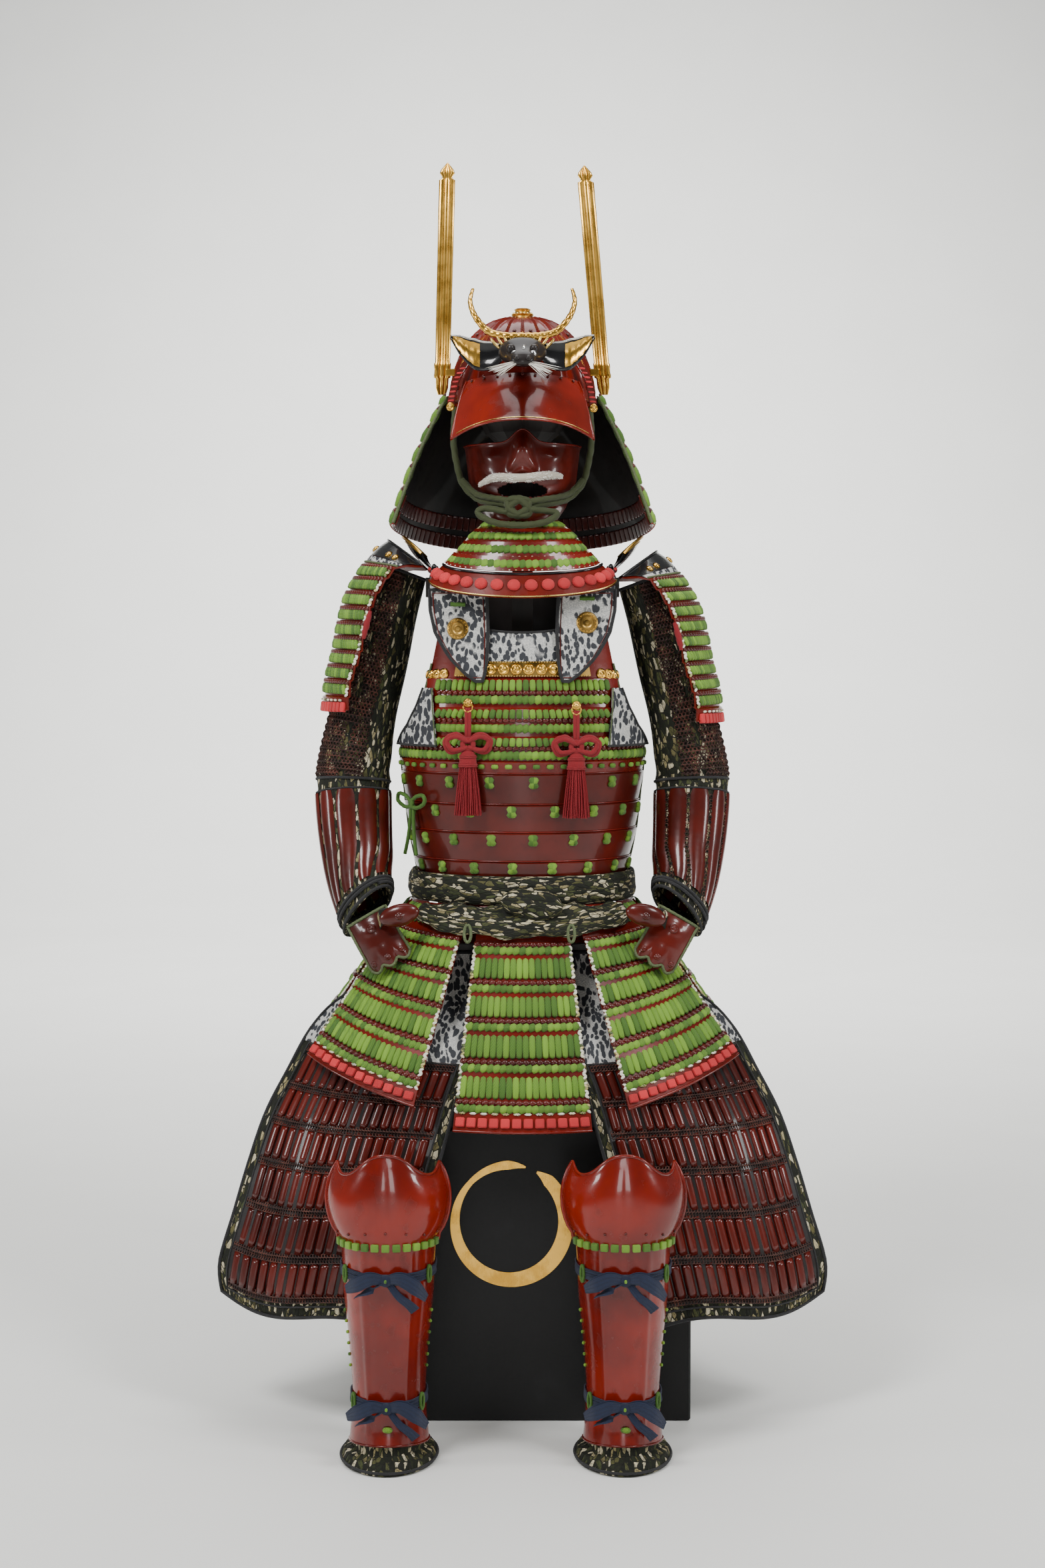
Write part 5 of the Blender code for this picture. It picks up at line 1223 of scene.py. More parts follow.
def make_crest():
    # Skull and snout: distance in front of the bowl, height, half width, half height.
    stations = (
        (-0.1166, 1.579, 0.011, 0.008), (-0.13, 1.579, 0.016, 0.01), (-0.14, 1.58, 0.022, 0.014),
        (-0.144, 1.581, 0.032, 0.02), (-0.15, 1.582, 0.036, 0.022), (-0.156, 1.582, 0.036, 0.0215),
        (-0.162, 1.58, 0.033, 0.0195), (-0.17, 1.576, 0.026, 0.016), (-0.178, 1.572, 0.021, 0.013),
        (-0.186, 1.569, 0.019, 0.012), (-0.1925, 1.567, 0.0165, 0.01), (-0.197, 1.566, 0.009, 0.0055),
    )
    rings = []
    for y, z, half, tall in stations:
        ring = []
        for t in turns(28):
            ridge = exp(-(((t - pi / 2) ** 2 - 0.3) / 0.22) ** 2)
            brow = 1.0 + 0.16 * ridge * exp(-(((y + 0.168) / 0.01) ** 2))
            ring.append(vec(half * cos(t) * brow, y, z + tall * sin(t) * brow))
        rings.append(ring)
    skull = lofted("skull", rings, angle=70.0)
    work(skull, "SUBSURF", levels=1, render_levels=1)
    parts = [skull]
    for side in (LEFT, RIGHT):
        for x, y, z, size in ((0.0085, -0.1945, 1.5685, 0.0042), (0.017, -0.176, 1.584, 0.0068)):
            add = bpy.ops.mesh.primitive_uv_sphere_add
            lump = primitive("lump", add, segments=14, ring_count=9, radius=size, location=(side * x, y, z))
            bpy.ops.object.transform_apply(location=True, rotation=False, scale=False)
            parts.append(smooth(lump, 70.0))
    head = joined("crest_head_beast", parts)
    ready(head, DULL_BLACK, ["crest_head"])
    for side in (LEFT, RIGHT):
        root, tip = vec(side * 0.026, -0.15, 1.583), vec(side * 0.106, -0.142, 1.606)

        def ear(u, v, root=root, tip=tip):
            tall = at(((0.0, 0.007), (0.12, 0.015), (0.25, 0.02), (0.55, 0.022), (0.82, 0.014),
                (1.0, 0.0015)), v)[0]
            dish = 0.0075 * sin(pi * min(1.0, v + 0.06)) + 0.001
            s = 2 * u - 1
            here = root.lerp(tip, v) - Z * 0.016 * sin(pi * v)
            return here + Vector((0, dish * (1 - abs(s) ** 2), tall * s))

        ready(skin(side_name("crest_ear", side), ear, 13, 19, 0.0022, (0.0, 1.0)), BLACK)
        leaf = skin(
            side_name("crest_ear_gold", side), ear, spread(0.1, 0.9, 11), spread(0.46, 0.95, 13), 0.0006,
            (0.0, 1.0), rise=lambda u, v: 0.0008 + 0.0006 * cos(v * 60)
        )
        ready(leaf, GILT)
        laid_cord(side_name("crest_ear_rim", side), ear, upright(0.985, 0.1, 0.985, 16), 0.0013, SILVER,
            0.0006, axis=(0.0, 1.0))
    eyes, pupils = [], []
    for side in (LEFT, RIGHT):
        here = vec(side * 0.0135 + 0.002, -0.1825, 1.5765)
        eyes.append(Matrix.Translation(here) @ stretched(0.006, 0.0034, 0.0046))
        pupils.append(Matrix.Translation(here + vec(0, -0.0026, 0)) @ stretched(0.0018, 0.001, 0.0018))
    eyes.append(Matrix.Translation((0.002, -0.18, 1.585)) @ stretched(0.0026, 0.0022, 0.004))
    copies("crest_eyes", DOT, eyes, SILVER)
    copies("crest_pupils", DOT, pupils, BLACK)
    route = (
        (-0.073, -0.128, 1.677), (-0.077, -0.134, 1.657), (-0.069, -0.139, 1.634), (-0.05, -0.143, 1.613),
        (-0.027, -0.146, 1.606), (0.0, -0.147, 1.605), (0.027, -0.146, 1.606), (0.05, -0.143, 1.613),
        (0.069, -0.139, 1.634), (0.077, -0.134, 1.657), (0.073, -0.128, 1.677),
    )
    taper = lambda t: (1.0 - 0.62 * abs(2 * t - 1) ** 1.8) * (1.0 + 0.16 * abs(sin(t * 80)))
    strand("crest_horns_gold", smooth_path(route, 150), 0.0054, 14, 0.0, GILT, ["crest_horns"], taper=taper)
    spikes = []
    for k in range(11):
        t = (k - 5) / 5
        here = vec(t * 0.04, -0.15, 1.6 - 0.006 * t * t)
        aim = Matrix.Rotation(t * 0.75, 4, "Y")
        spikes.append(Matrix.Translation(here) @ aim @ stretched(0.0028, 0.0022, 0.012))
    copies("crest_spikes", LOCK, spikes, PALE_GILT)
    whiskers = []
    draw = random.Random("whiskers")
    for side in (LEFT, RIGHT):
        for k in range(18):
            t = draw.random()
            start = Vector((side * (0.004 + 0.01 * draw.random()), -0.1925, 1.5605 + 0.004 * draw.random()))
            end = start + vec(side * lerp(0.02, 0.044, t), -0.004,
                -lerp(0.02, 0.008, t) - 0.004 * draw.random())
            size = stretched(0.0005, 0.0005, (end - start).length / 2)
            whiskers.append(Matrix.Translation((start + end) / 2) @ aimed(end - start) @ size)
    copies("crest_whiskers", LOCK, whiskers, HAIR)


def mask_form(u, v):
    """A plain, generic mask: nose, cheeks, lips and chin, with a few worked folds."""
    u = 2 * u - 1
    nose = 0.024 * exp(-((u / 0.11) ** 2)) * exp(-(((v - 0.24) / 0.17) ** 2))
    wings = 0.006 * exp(-(((abs(u) - 0.12) / 0.06) ** 2)) * exp(-(((v - 0.36) / 0.06) ** 2))
    cheeks = 0.007 * exp(-(((abs(u) - 0.42) / 0.18) ** 2)) * exp(-(((v - 0.22) / 0.16) ** 2))
    mouth = exp(-(((v - 0.74) / 0.05) ** 2)) + 0.7 * exp(-(((v - 0.46) / 0.04) ** 2))
    lip = 0.005 * exp(-((u / 0.35) ** 2)) * mouth
    chin = 0.009 * exp(-((u / 0.22) ** 2)) * exp(-(((v - 0.93) / 0.1) ** 2))
    folds = 0.0012 * sin(26 * v + 9 * abs(u)) * exp(-(((abs(u) - 0.55) / 0.2) ** 2)) * min(1.0, v * 5)
    edge = 0.0025 * exp(-((v / 0.03) ** 2))
    return nose + wings + cheeks + lip + chin + folds + edge


def make_mask():
    plain = skin("face_mask_shell", mask_point, 81, 61, 0.0, rise=mask_form)
    edited(plain, lambda: bpy.ops.mesh.select_all(action="DESELECT"))
    for face in plain.data.polygons:
        x, z = face.center.x, face.center.z
        face.select = face.center.y < -0.07 and (x / 0.038) ** 2 + ((z - 1.383) / 0.0115) ** 2 < 1.0
    bpy.ops.object.mode_set(mode="EDIT")
    bpy.ops.mesh.delete(type="FACE")
    bpy.ops.object.mode_set(mode="OBJECT")
    work(plain, "SOLIDIFY", thickness=0.002, offset=-1.0)
    ready(smooth(plain, 70.0), BROWN_RED, ["face_mask"])
    for word, v in (("upper", 0.008), ("lower", 0.985)):
        out = lambda u: facing(mask_point, u, v, (0.0, 0.0)) * mask_form(u, v)
        points = [mask_point(u, v) + out(u) for u in spread(0.02, 0.98, 50)]
        strand(f"mask_{word}_rim", points, 0.0013, 6, 0.0, RED)
    route = (
        (-0.064, -0.085, 1.393), (-0.04, -0.1133, 1.4015), (0.0, -0.1251, 1.4005), (0.038, -0.1133, 1.4055),
        (0.059, -0.0899, 1.405),
    )
    path = smooth_path(route, 60)
    fullness = lambda t: 0.35 + 0.65 * sin(pi * t) ** 0.6
    strand("moustache_core", path, 0.0062, 10, 0.0, HAIR, ["moustache"], taper=fullness)
    locks = []
    draw = random.Random("moustache")
    for k in range(900):
        t = draw.random()
        i = min(58, int(t * 59))
        here, ahead = path[i], (path[i + 1] - path[i]).normalized()
        turn = draw.uniform(-0.6, pi + 0.6)
        out = (vec(0, -1, 0) * sin(turn) + Z * cos(turn)).normalized()
        full = fullness(t)
        way = 1 if t > 0.5 else -1
        aim = (out * 0.6 + ahead * way * 1.1 - Z * 0.15).normalized()
        reach = draw.uniform(0.004, 0.007) * full
        root = here + out * 0.003 * full
        locks.append(
            Matrix.Translation(root + aim * reach / 2) @ aimed(aim) @ stretched(0.0006, 0.0006, reach)
        )
    copies("moustache_hair", LOCK, locks, HAIR)


def make_throat():
    place = throat_point
    rows = [(0.0, 0.0)]
    for seam in (0.16, 0.36, 0.55):
        rows += [(seam, 0.0), (seam + 0.01, STEP)]
    rows.append((0.715, 0.0005))
    outs = dict(rows)
    ready(skin("throat_lames", place, 33, [v for v, _ in rows], 0.0024, rise=lambda u, v: outs[v]), RED,
        ["throat_guard_upper"])
    lacing = Lacing("throat_guard", place)
    for top, bottom in ((0.005, 0.155), (0.17, 0.355), (0.37, 0.545), (0.56, 0.71)):
        lacing.lame(top, bottom, 0.0034, pitch=0.0092, rope=0.0064, scallop=0.0034, uprights=False,
                    slant=0.5, plump=1.1)
        lacing.knots += row_of(place, lerp(top, bottom, 0.97), 0.0022, 0.0095, (0.002, 0.0012, 0.0012))
    lacing.make()
    us, vs = spread(0, 1, 65), (0.724, 0.75, 0.79, 0.82, 0.85, 0.88, 0.91, 0.94, 0.97, 1.0)
    ready(skin("throat_lower_plate", place, us, vs, 0.0024, rise=0.001), RED, ["throat_guard_lower"])
    bosses = [
        spot(place, (k + 0.5) / 16, 0.865, 0.0022, 0.0, (0.0098, 0.0092, 0.0058)) for k in range(16)
    ]
    copies("throat_bosses", ball_unit("boss unit", 16, 10), bosses, PINK)
    away(bpy.data.objects["boss unit"])
    laid_cord("throat_hem", place, level(0.985, 44), 0.0011, PALE_GILT, 0.0022)
    laid_cord("throat_black_edge", place, level(0.748, 44), 0.002, BLACK, 0.002)


def make_chin_cord():
    knot = vec(-0.006, -0.1179, 1.357)
    cords = []
    for side in (LEFT, RIGHT):
        route = (
            (side * 0.1015, -0.046, 1.5104), (side * 0.104, -0.06, 1.462), (side * 0.099, -0.06, 1.425),
            (side * 0.09, -0.054, 1.395), (side * 0.07, -0.06, 1.374), (side * 0.05, -0.088, 1.366),
            (side * 0.026, -0.113, 1.361),
            tuple(knot + vec(side * 0.008, 0.0, 0.0)),
        )
        cords.append((smooth_path(route, 80), 0.0044))
        second = [Vector(p) + vec(side * 0.002, -0.004, 0.0075) for p in route[3:]]
        cords.append((smooth_path(second, 50), 0.004))
    loop = (
        (-0.022, -0.124, 1.35), (-0.056, -0.108, 1.356), (-0.066, -0.106, 1.348), (-0.04, -0.124, 1.334),
        (0.0, -0.134, 1.33), (0.036, -0.126, 1.336), (0.05, -0.114, 1.349), (0.012, -0.124, 1.354),
    )
    cords.append((smooth_path(loop, 90), 0.0043))
    for a, b, tilt in ((0.018, 0.01, 0.5), (0.017, 0.009, -0.5), (0.01, 0.013, 0.0)):
        flat = [Vector((a * cos(t), -0.004 * abs(sin(t)), b * sin(t))) for t in turns(40, True)]
        lift = vec(0, -0.003 - 0.003 * abs(tilt), 0)
        cords.append(([knot + Matrix.Rotation(tilt, 3, "Y") @ here + lift for here in flat], 0.0044))
    parts = [strand("chin strand", path, radius, 10, 0.22) for path, radius in cords]
    ready(joined("chin_cord_twisted", parts), MOSS, ["chin_cord"])


def make_cuirass(back):
    place, share = cuirass_point(back)
    neck = 1.205 if back else 1.172
    name = "cuirass_back" if back else "cuirass_front"
    rows = (
        (neck, 0.0015), (neck - 0.006, 0.0), (1.128, 0.0), (1.104, 0.0), (1.102, STEP), (1.06, 0.0),
        (1.058, STEP), (1.017, 0.0), (1.015, STEP), (0.981, 0.0005), (0.979, STEP), (0.961, 0.001),
        (0.959, STEP), (0.915, 0.0005), (0.913, STEP), (0.873, 0.0005), (0.871, STEP), (0.829, 0.0005),
        (0.827, STEP), (0.803, 0.0015),
    )
    outs = {share(z): out for z, out in rows}
    body = skin(f"{name}_plates", place, spread(-1, 1, 49), list(outs), 0.0025, rise=lambda u, v: outs[v])
    # Faces that look inwards take the dull black, painted shade inside the cuirass; the plates below z 0.961
    # take the brown-red lacquer.
    for face in body.data.polygons:
        inner = face.normal.x * face.center.x + face.normal.y * face.center.y < -0.01
        face.material_index = 2 if inner else 1 if face.center.z < 0.961 else 0
    ready(body, RED, [name], extra=(BROWN_RED, DULL_BLACK))
    if back:
        # A dull black sheet inside the back plate's collar: painted shade that fills the gap at the neck.
        collar = skin(
            f"{name}_collar_lining", lambda u, v: torso(180.0 - 36.0 * u, lerp(1.232, 1.16, v), -0.0045),
            spread(-1, 1, 25), spread(0, 1, 5), 0.0016
        )
        ready(collar, DULL_BLACK)
    lacing = Lacing(name, place)

    def reach(z):
        """How far a row runs before the armhole's leather or the plate's end."""
        limit = at(ARMHOLE, z)[0]
        half = at(TORSO, z)[0]
        return 0.97 if back or z < 1.0 else min(0.97, degrees(asin(min(1.0, 0.128 / half))) / limit)

    def line(z, out, pitch, size, turn=0.0):
        far = reach(z)
        return row_of(place, share(z), out, pitch, size, turn, -far, far)

    for top, low in ((1.1017, 1.0839), (1.058, 1.0433), (1.0156, 1.0017)):
        tall = (top - low) / 2
        lacing.strands += line((top + low) / 2, 0.0042, 0.0098, (0.0047, tall, 0.003))
        lacing.scales += line(low - 0.0022, 0.0026, 0.0098, (0.0052, 0.0034, 0.0024))
    for top, low in ((1.079, 1.064), (1.0364, 1.0215), (0.9968, 0.981)):
        lacing.ropes += line((top + low) / 2, 0.0024, 0.0092, (0.007, 0.0064, 0.0036), 0.55)
    lacing.strands += line(0.9725, 0.0046, 0.0205, (0.0056, 0.0036, 0.0026))
    for number, z in enumerate((0.9482, 0.9047, 0.8621, 0.8195)):
        shift = 0.5 if number % 2 else 0.0
        for k in range(8):
            u = (k + shift - 3.75) / 3.75 * 0.86
            if abs(u) < 0.93:
                lacing.ends.append(spot(place, u, share(z), 0.0044, 0.0, (0.001, 0.001, 0.001)))
                for lean in (0.55, -0.55):
                    lacing.strands.append(spot(place, u, share(z), 0.004, lean, (0.005, 0.0098, 0.004)))
    lacing.make()
    for number, z in enumerate((0.961, 0.915, 0.873, 0.829, 0.8045)):
        edge = level(share(z + 0.0012), 50, -0.99, 0.99)
        laid_cord(f"{name}_plate_edge_{number}", place, edge, 0.001, RED, 0.0014)
    for word, far in (("low", -0.992), ("high", 0.992)):
        edge = [(far, v) for v in spread(share(1.125), 0.99, 40)]
        laid_cord(f"{name}_end_{word}", place, edge, 0.0016, EDGING, 0.0022, plait=0.2)


def make_chest():
    place, share = cuirass_point(False)
    leather = skin(
        "breast_leather_sheet", place, spread(-0.66, 0.66, 31), spread(share(1.1715), share(1.1285), 8),
        0.0018, rise=0.004
    )
    band = skin(
        "breast_gold_band", place, spread(-0.66, 0.66, 31), spread(share(1.1278), share(1.106), 5), 0.0016,
        rise=0.0038
    )
    ready(leather, LEATHER, ["breast_leather"])
    ready(band, OLD_GILT)
    roses = row_of(place, share(1.1168), 0.0036, 0.0185, (0.0088, 0.0088, 0.006), 0.0, -0.6, 0.6)
    for side in (LEFT, RIGHT):
        for k in range(3):
            roses.append(spot(place, side * (0.8 + 0.095 * k), share(1.1095 - 0.001 * k), 0.001, 0.0,
                              (0.0086, 0.0086, 0.006)))
    copies("chest_rosettes", ROSETTE, roses, GILT)
    beads = []
    for z in (1.1272, 1.1064):
        beads += row_of(place, share(z), 0.0042, 0.004, (0.0017, 0.0012, 0.0012), 0.0, -0.65, 0.65)
    copies("chest_band_beads", LOCK, beads, PALE_GILT)
    laid_cord("breast_top_piping", place, level(share(1.1705), 30, -0.66, 0.66), 0.0019, PIPING, 0.004)
    for side in (LEFT, RIGHT):

        def under(u, v, side=side):
            z = lerp(1.0885, 1.001, v)
            start = at(((1.001, 42.0), (1.0885, 46.0)), z)[0]
            return torso(side * lerp(start, at(ARMHOLE, z)[0] - 0.5, u), z, STEP + 0.0042)

        name = side_name("armhole_leather", side)
        ready(skin(f"{name}_sheet", under, 13, 13, 0.0018), LEATHER, [name])
        for word, line in (("rim", upright(0.99, 0.0, 1.0, 18)), ("foot", level(0.99, 14))):
            laid_cord(f"{name}_{word}", under, line, 0.0019, PIPING, 0.0004)
        laid_cord(f"{name}_seam", under, upright(0.012, 0.0, 1.0, 18), 0.0011, EDGING, 0.0006)


def make_shoulders(side):
    front, rear = torso(side * 41.5, 1.186, 0.0024), torso(side * 138.5, 1.192, 0.0024)
    tangents = [
        (torso(side * (d + 2), 1.19) - torso(side * (d - 2), 1.19)).normalized() for d in (41.5, 138.5)
    ]
    tangents[1].negate()
    route = (
        tuple(front),
        (side * 0.116, -0.1, 1.218), (side * 0.118, -0.079, 1.245), (side * 0.119, -0.042, 1.256),
        (side * 0.119, 0.0, 1.2598), (side * 0.119, 0.042, 1.257), (side * 0.118, 0.08, 1.247),
        (side * 0.116, 0.101, 1.222),
        tuple(rear),
    )
    path = smooth_path(route, 31)
    lies = []
    for k in range(31):
        end = tangents[0] if k < 15 else tangents[1]
        lies.append(tuple(end.lerp(vec(side, 0, 0), 1.0 - abs(k / 15 - 1) ** 2)))
    name = side_name("shoulder_strap", side)
    ready(strap(f"{name}_band", path, lies, [0.044] * 31, 0.0044, 20), LEATHER, [name])
    for word, way in (("near", -1), ("far", 1)):
        edge = [here + Vector(lie).normalized() * 0.0215 * way for here, lie in zip(path, lies)]
        strand(f"{name}_{word}_piping", edge, 0.0018, 6, 0.0, PIPING)

    def wing(u, v):
        t = radians(lerp(-72, 72, u))
        root = Vector((side * 0.1375, 0.088 * sin(t), 1.2625 + 0.006 * (1 - cos(t))))
        edge = root + vec(side * 0.046 * cos(t), 0.006 * sin(t), 0.002 + 0.054 * cos(t) ** 0.8)
        return root.lerp(edge, v) + vec(side * 0.007 * cos(t) * sin(pi * v), 0, 0)

    name = side_name("shoulder_wing", side)
    ready(skin(f"{name}_plate", wing, 33, 9, 0.002, (-side * 0.5, 0.0)), BLACK, [name])
    laid_cord(f"{name}_gold_rim", wing, level(0.99, 44), 0.0028, GILT, axis=(-side * 0.5, 0.0), sides=8)
    laid_cord(f"{name}_pink_rim", wing, level(0.06, 44), 0.0026, PINK, 0.0012, axis=(-side * 0.5, 0.0),
        sides=8)
    laid_cord(f"{name}_gold_line", wing, level(0.86, 44, 0.04, 0.96), 0.0008, PALE_GILT, 0.0006,
        axis=(-side * 0.5, 0.0))
    knobs = []
    for y in (-0.055, -0.04, 0.04, 0.055):
        place = Matrix.Translation((side * 0.134, y, 1.269)) @ stretched(0.0045, 0.0045, 0.007)
        knobs.append(place)
    copies(side_name("shoulder_knobs", side), DOT, knobs, BLACK)


def flap_back(x, z):
    return vec(x, -0.1433 + 0.9 * x * x + 0.12 * (z - 1.1), z)


def make_breast_flap(side):
    # Height from the tip up, near edge and far edge from the middle line.
    outline = (
        (1.098, 0.06, 0.068), (1.112, 0.055, 0.088), (1.135, 0.052, 0.11), (1.17, 0.05, 0.131),
        (1.205, 0.051, 0.139), (1.236, 0.053, 0.14),
    )

    def face(u, v):
        z = lerp(1.236, 1.098, v)
        near, far = at(outline, z)
        return flap_back(side * lerp(near, far, u), z) + vec(0, -0.0035, 0)

    name = side_name("breast_flap", side)
    ready(skin(f"{name}_shield", face, 17, 21, 0.0034, (0.0, 1.0)), LEATHER, [name])
    for word, inset, radius, material, out in (
        ("edge", 0.012, 0.0026, PIPING, 0.0002), ("rim", 0.075, 0.0009, BROWN_RED, 0.0006),
    ):
        laid_cord(f"{name}_{word}", face, rim((inset, inset * 0.6), (1 - inset, 1 - inset * 0.6), 14),
            radius, material, out, (0.0, 1.0), sides=8)
    z = 1.177 if side == LEFT else 1.186
    here = flap_back(side * 0.096, z) + vec(0, -0.0034, 0)
    # Boss: radius, height.
    boss = (
        (0.0, 0.0082), (0.003, 0.0078), (0.0044, 0.006), (0.006, 0.0056), (0.0078, 0.0066),
        (0.0096, 0.0062), (0.0106, 0.0042), (0.0124, 0.004), (0.0142, 0.0046), (0.0158, 0.0034),
        (0.0166, 0.0008), (0.0166, -0.0006),
    )
    fitting(f"{name}_boss", boss, here, (0, -1, 0), OLD_GILT, 36)
    places = [here + vec(0.0132 * sin(t), -0.0044, 0.0132 * cos(t)) for t in turns(16)]
    dots = [Matrix.Translation(place) @ stretched(0.0013, 0.0012, 0.0013) for place in places]
    copies(f"{name}_boss_beads", LOCK, dots, GILT)
    bar = [here + vec(dx, -0.0015, 0.036 + 0.0006 * dx) for dx in spread(-0.011, 0.011, 12)]
    strand(f"{name}_cord_bar", bar, 0.0027, 8, 0.3, GREEN)


def make_tassel(side):
    x, rise = (-0.081, 0.0) if side == LEFT else (0.08, -0.004)
    centre = vec(x, -0.1493, 1.006 + rise)
    name = side_name("chest_tassel", side)
    draw = random.Random(name)
    parts = []
    for way in (-1, 1):
        for lap in (0.0, 0.0035):
            route = (
                centre + vec(0.0, -lap, 0.0042),
                centre + vec(way * 0.018, -0.002 - lap, 0.015 - lap),
                centre + vec(way * (0.034 - lap), -lap * 0.5, 0.005),
                centre + vec(way * (0.026 - lap), 0.001 - lap, -0.012 + lap),
                centre + vec(0.0, -lap, -0.0042),
            )
            parts.append(strand("bow", smooth_path(route, 34), 0.0032, 8, 0.22))
    for tilt in (-0.5, 0.0, 0.5):
        flat = [vec(0.008 * cos(t), -0.0022, 0.0068 * sin(t)) for t in turns(24, True)]
        ring = [centre + Matrix.Rotation(tilt, 3, "Y") @ here for here in flat]
        parts.append(strand("turn", ring, 0.0034, 8, 0.22))
    for way in (-1, 1):
        run = [centre + vec(way * 0.0022, 0.001 * k / 3, 0.054 * k / 9) for k in range(10)]
        parts.append(strand("hanger", run, 0.0025, 8, 0.22))
    head = turned_unit("head", ((0.0, -0.004), (0.0062, -0.006), (0.0102, -0.013), (0.0125, -0.022),
        (0.0134, -0.031),
                                (0.0128, -0.034), (0.0, -0.034)), 24)
    parts.append(moved(head, Matrix.Translation(centre) @ stretched(1.0, 0.62, 1.0)))
    for z in (-0.0165, -0.019, -0.03, -0.0325):
        girth = at(((-0.034, 0.0134), (-0.022, 0.013), (-0.013, 0.0106)), z)[0]
        ring = [centre + vec(girth * cos(t), girth * 0.64 * sin(t), z) for t in turns(24, True)]
        parts.append(strand("binding", ring, 0.0012, 6, 0.2))
    ready(joined(f"{name}_knot", parts), CRIMSON, [name])
    threads = []
    for k in range(120):
        far = 0.012 * sqrt((k + 0.5) / 120)
        turn = k * 2.39996
        root = vec(far * cos(turn), far * 0.6 * sin(turn), -0.03)
        end = vec(root.x * 1.75, root.y * 1.35, -0.1035 - 0.003 * draw.random())
        bend = vec(draw.uniform(-0.0012, 0.0012), draw.uniform(-0.0008, 0.0008), 0.0)
        run = [centre + root.lerp(end, t) + bend * sin(pi * t) for t in spread(0, 1, 5)]
        threads.append(strand("thread", run, 0.00085, 4))
    ready(joined(f"{name}_skirt", threads), CRIMSON)
    ring_at = centre + vec(0.0, 0.001, 0.0548)
    ring = ring_unit(f"{name}_ring", 28, 8, 0.0068, 0.0012)
    lay = Matrix.Translation(ring_at) @ Matrix.Rotation(pi / 2, 4, "X")
    ready(smooth(moved(ring, lay), 60.0), GILT)
    rose = Matrix.Translation(ring_at + vec(0, 0.0005, 0.0065)) @ Matrix.Rotation(pi / 2, 4, "X")
    copies(f"{name}_rosette", ROSETTE, [rose @ stretched(0.0068, 0.0068, 0.0055)], GILT)


def make_side_tie():
    # Loop of the bow: distance along the side, height.
    bow = (
        (0.001, 0.0038), (0.016, 0.012), (0.036, 0.014), (0.038, 0.003), (0.018, -0.005), (0.001, -0.0038),
    )
    parts = []
    for way in (-1, 1):
        route = [TIE_KNOT + TIE_SIDE * way * a + Z * b + TIE_OUT * 0.002 for a, b in bow]
        parts.append(strand("loop", smooth_path(route, 44), 0.0027, 10, 0.2))
    for tilt in (-0.6, 0.6, 0.0):
        flat = lambda t: TIE_SIDE * cos(t + tilt) * 0.0056 + Z * sin(t) * 0.005
        out = lambda t: TIE_OUT * (0.0015 + 0.001 * cos(t))
        parts.append(
            strand("turn", [TIE_KNOT + (flat(t) + out(t)) for t in turns(24, True)], 0.0026, 10, 0.2)
        )
    ready(joined("side_tie_bow", parts), GREEN, ["side_tie"])


def make_sash():
    rings = []
    for degrees in spread(-180, 180, 121)[:-1]:
        t = radians(degrees)
        ring = []
        for a in turns(20):
            fold = 1.0 + 0.2 * sin(2 * a + t * 11.0) + 0.09 * sin(5 * a - t * 19.0)
            out = 0.0093 + 0.0069 * cos(a) * (fold if cos(a) > 0 else 1.0)
            up = 0.0222 * sin(a) * (0.96 + 0.03 * fold)
            ring.append(torso(degrees, 0.77, out) + Z * (0.7865 - 0.77 + up))
        rings.append(ring)
    rings.append(rings[0])
    upper = lofted("sash_upper_roll", rings, angle=80.0)
    ready(upper, BROCADE, ["sash_upper"])
    rings = []
    for degrees in spread(-58, 58, 65):
        t = radians(degrees)
        far = abs(degrees) / 58
        lean = lerp(0.42, 0.72, min(1.0, far * 1.1))
        z = 0.7405 + 0.01 * far * far
        swell = max(0.12, 1.0 - 0.45 * far**3 - 0.3 * max(0.0, far - 0.93) / 0.07)
        outward = (torso(degrees, 0.77, 0.01) - torso(degrees, 0.77)).normalized()
        here = torso(degrees, 0.77, 0.0127 + 0.0085 * swell + lean * (TASSET_TOP - z) + 0.0045 * far)
        here.z = z
        up = (Z - outward * lean).normalized()
        side = up.cross(outward).cross(up)
        ring = []
        for a in turns(20):
            fold = 1.0 + 0.15 * sin(2 * a + t * 13.0) + 0.08 * sin(5 * a - t * 23.0)
            high = 0.027 if sin(a) > 0 else 0.0212
            ring.append(here + side * cos(a) * 0.0085 * swell * fold + up * sin(a) * high * swell * fold)
        rings.append(ring)
    lower = lofted("sash_lower_roll", rings, angle=80.0)
    knot_rings = []
    turn = Matrix.Rotation(0.12, 3, "Y")
    for t in spread(-1.0, 1.0, 31):
        girth = max(0.02, 1.0 - abs(t) ** 2.6) ** 0.5
        ring = []
        for a in turns(24):
            fold = 1.0 + 0.1 * sin(3 * a + 5.0 * t) - 0.16 * exp(-(((sin(a) - 0.25 - 0.3 * t) / 0.16) ** 2))
            flat = vec(t * 0.046, cos(a) * 0.0125 * girth * fold, sin(a) * 0.0215 * girth * fold)
            ring.append(vec(0.014, -0.1695, 0.769) + turn @ flat)
        knot_rings.append(ring)
    knot = lofted("sash knot", knot_rings, angle=80.0)
    lower = joined("sash_lower_roll", [lower, knot])
    ready(lower, BROCADE, ["sash_lower"])
    for number, x in enumerate((-0.081, 0.072)):
        loop = lambda t: vec(x + 0.005 * sin(t), -0.1885 + 0.002 * cos(t), 0.7285 + 0.0125 * cos(t))
        strand(f"sash_loop_{number}", [loop(t) for t in turns(24, True)], 0.002, 8, 0.25, EDGING)


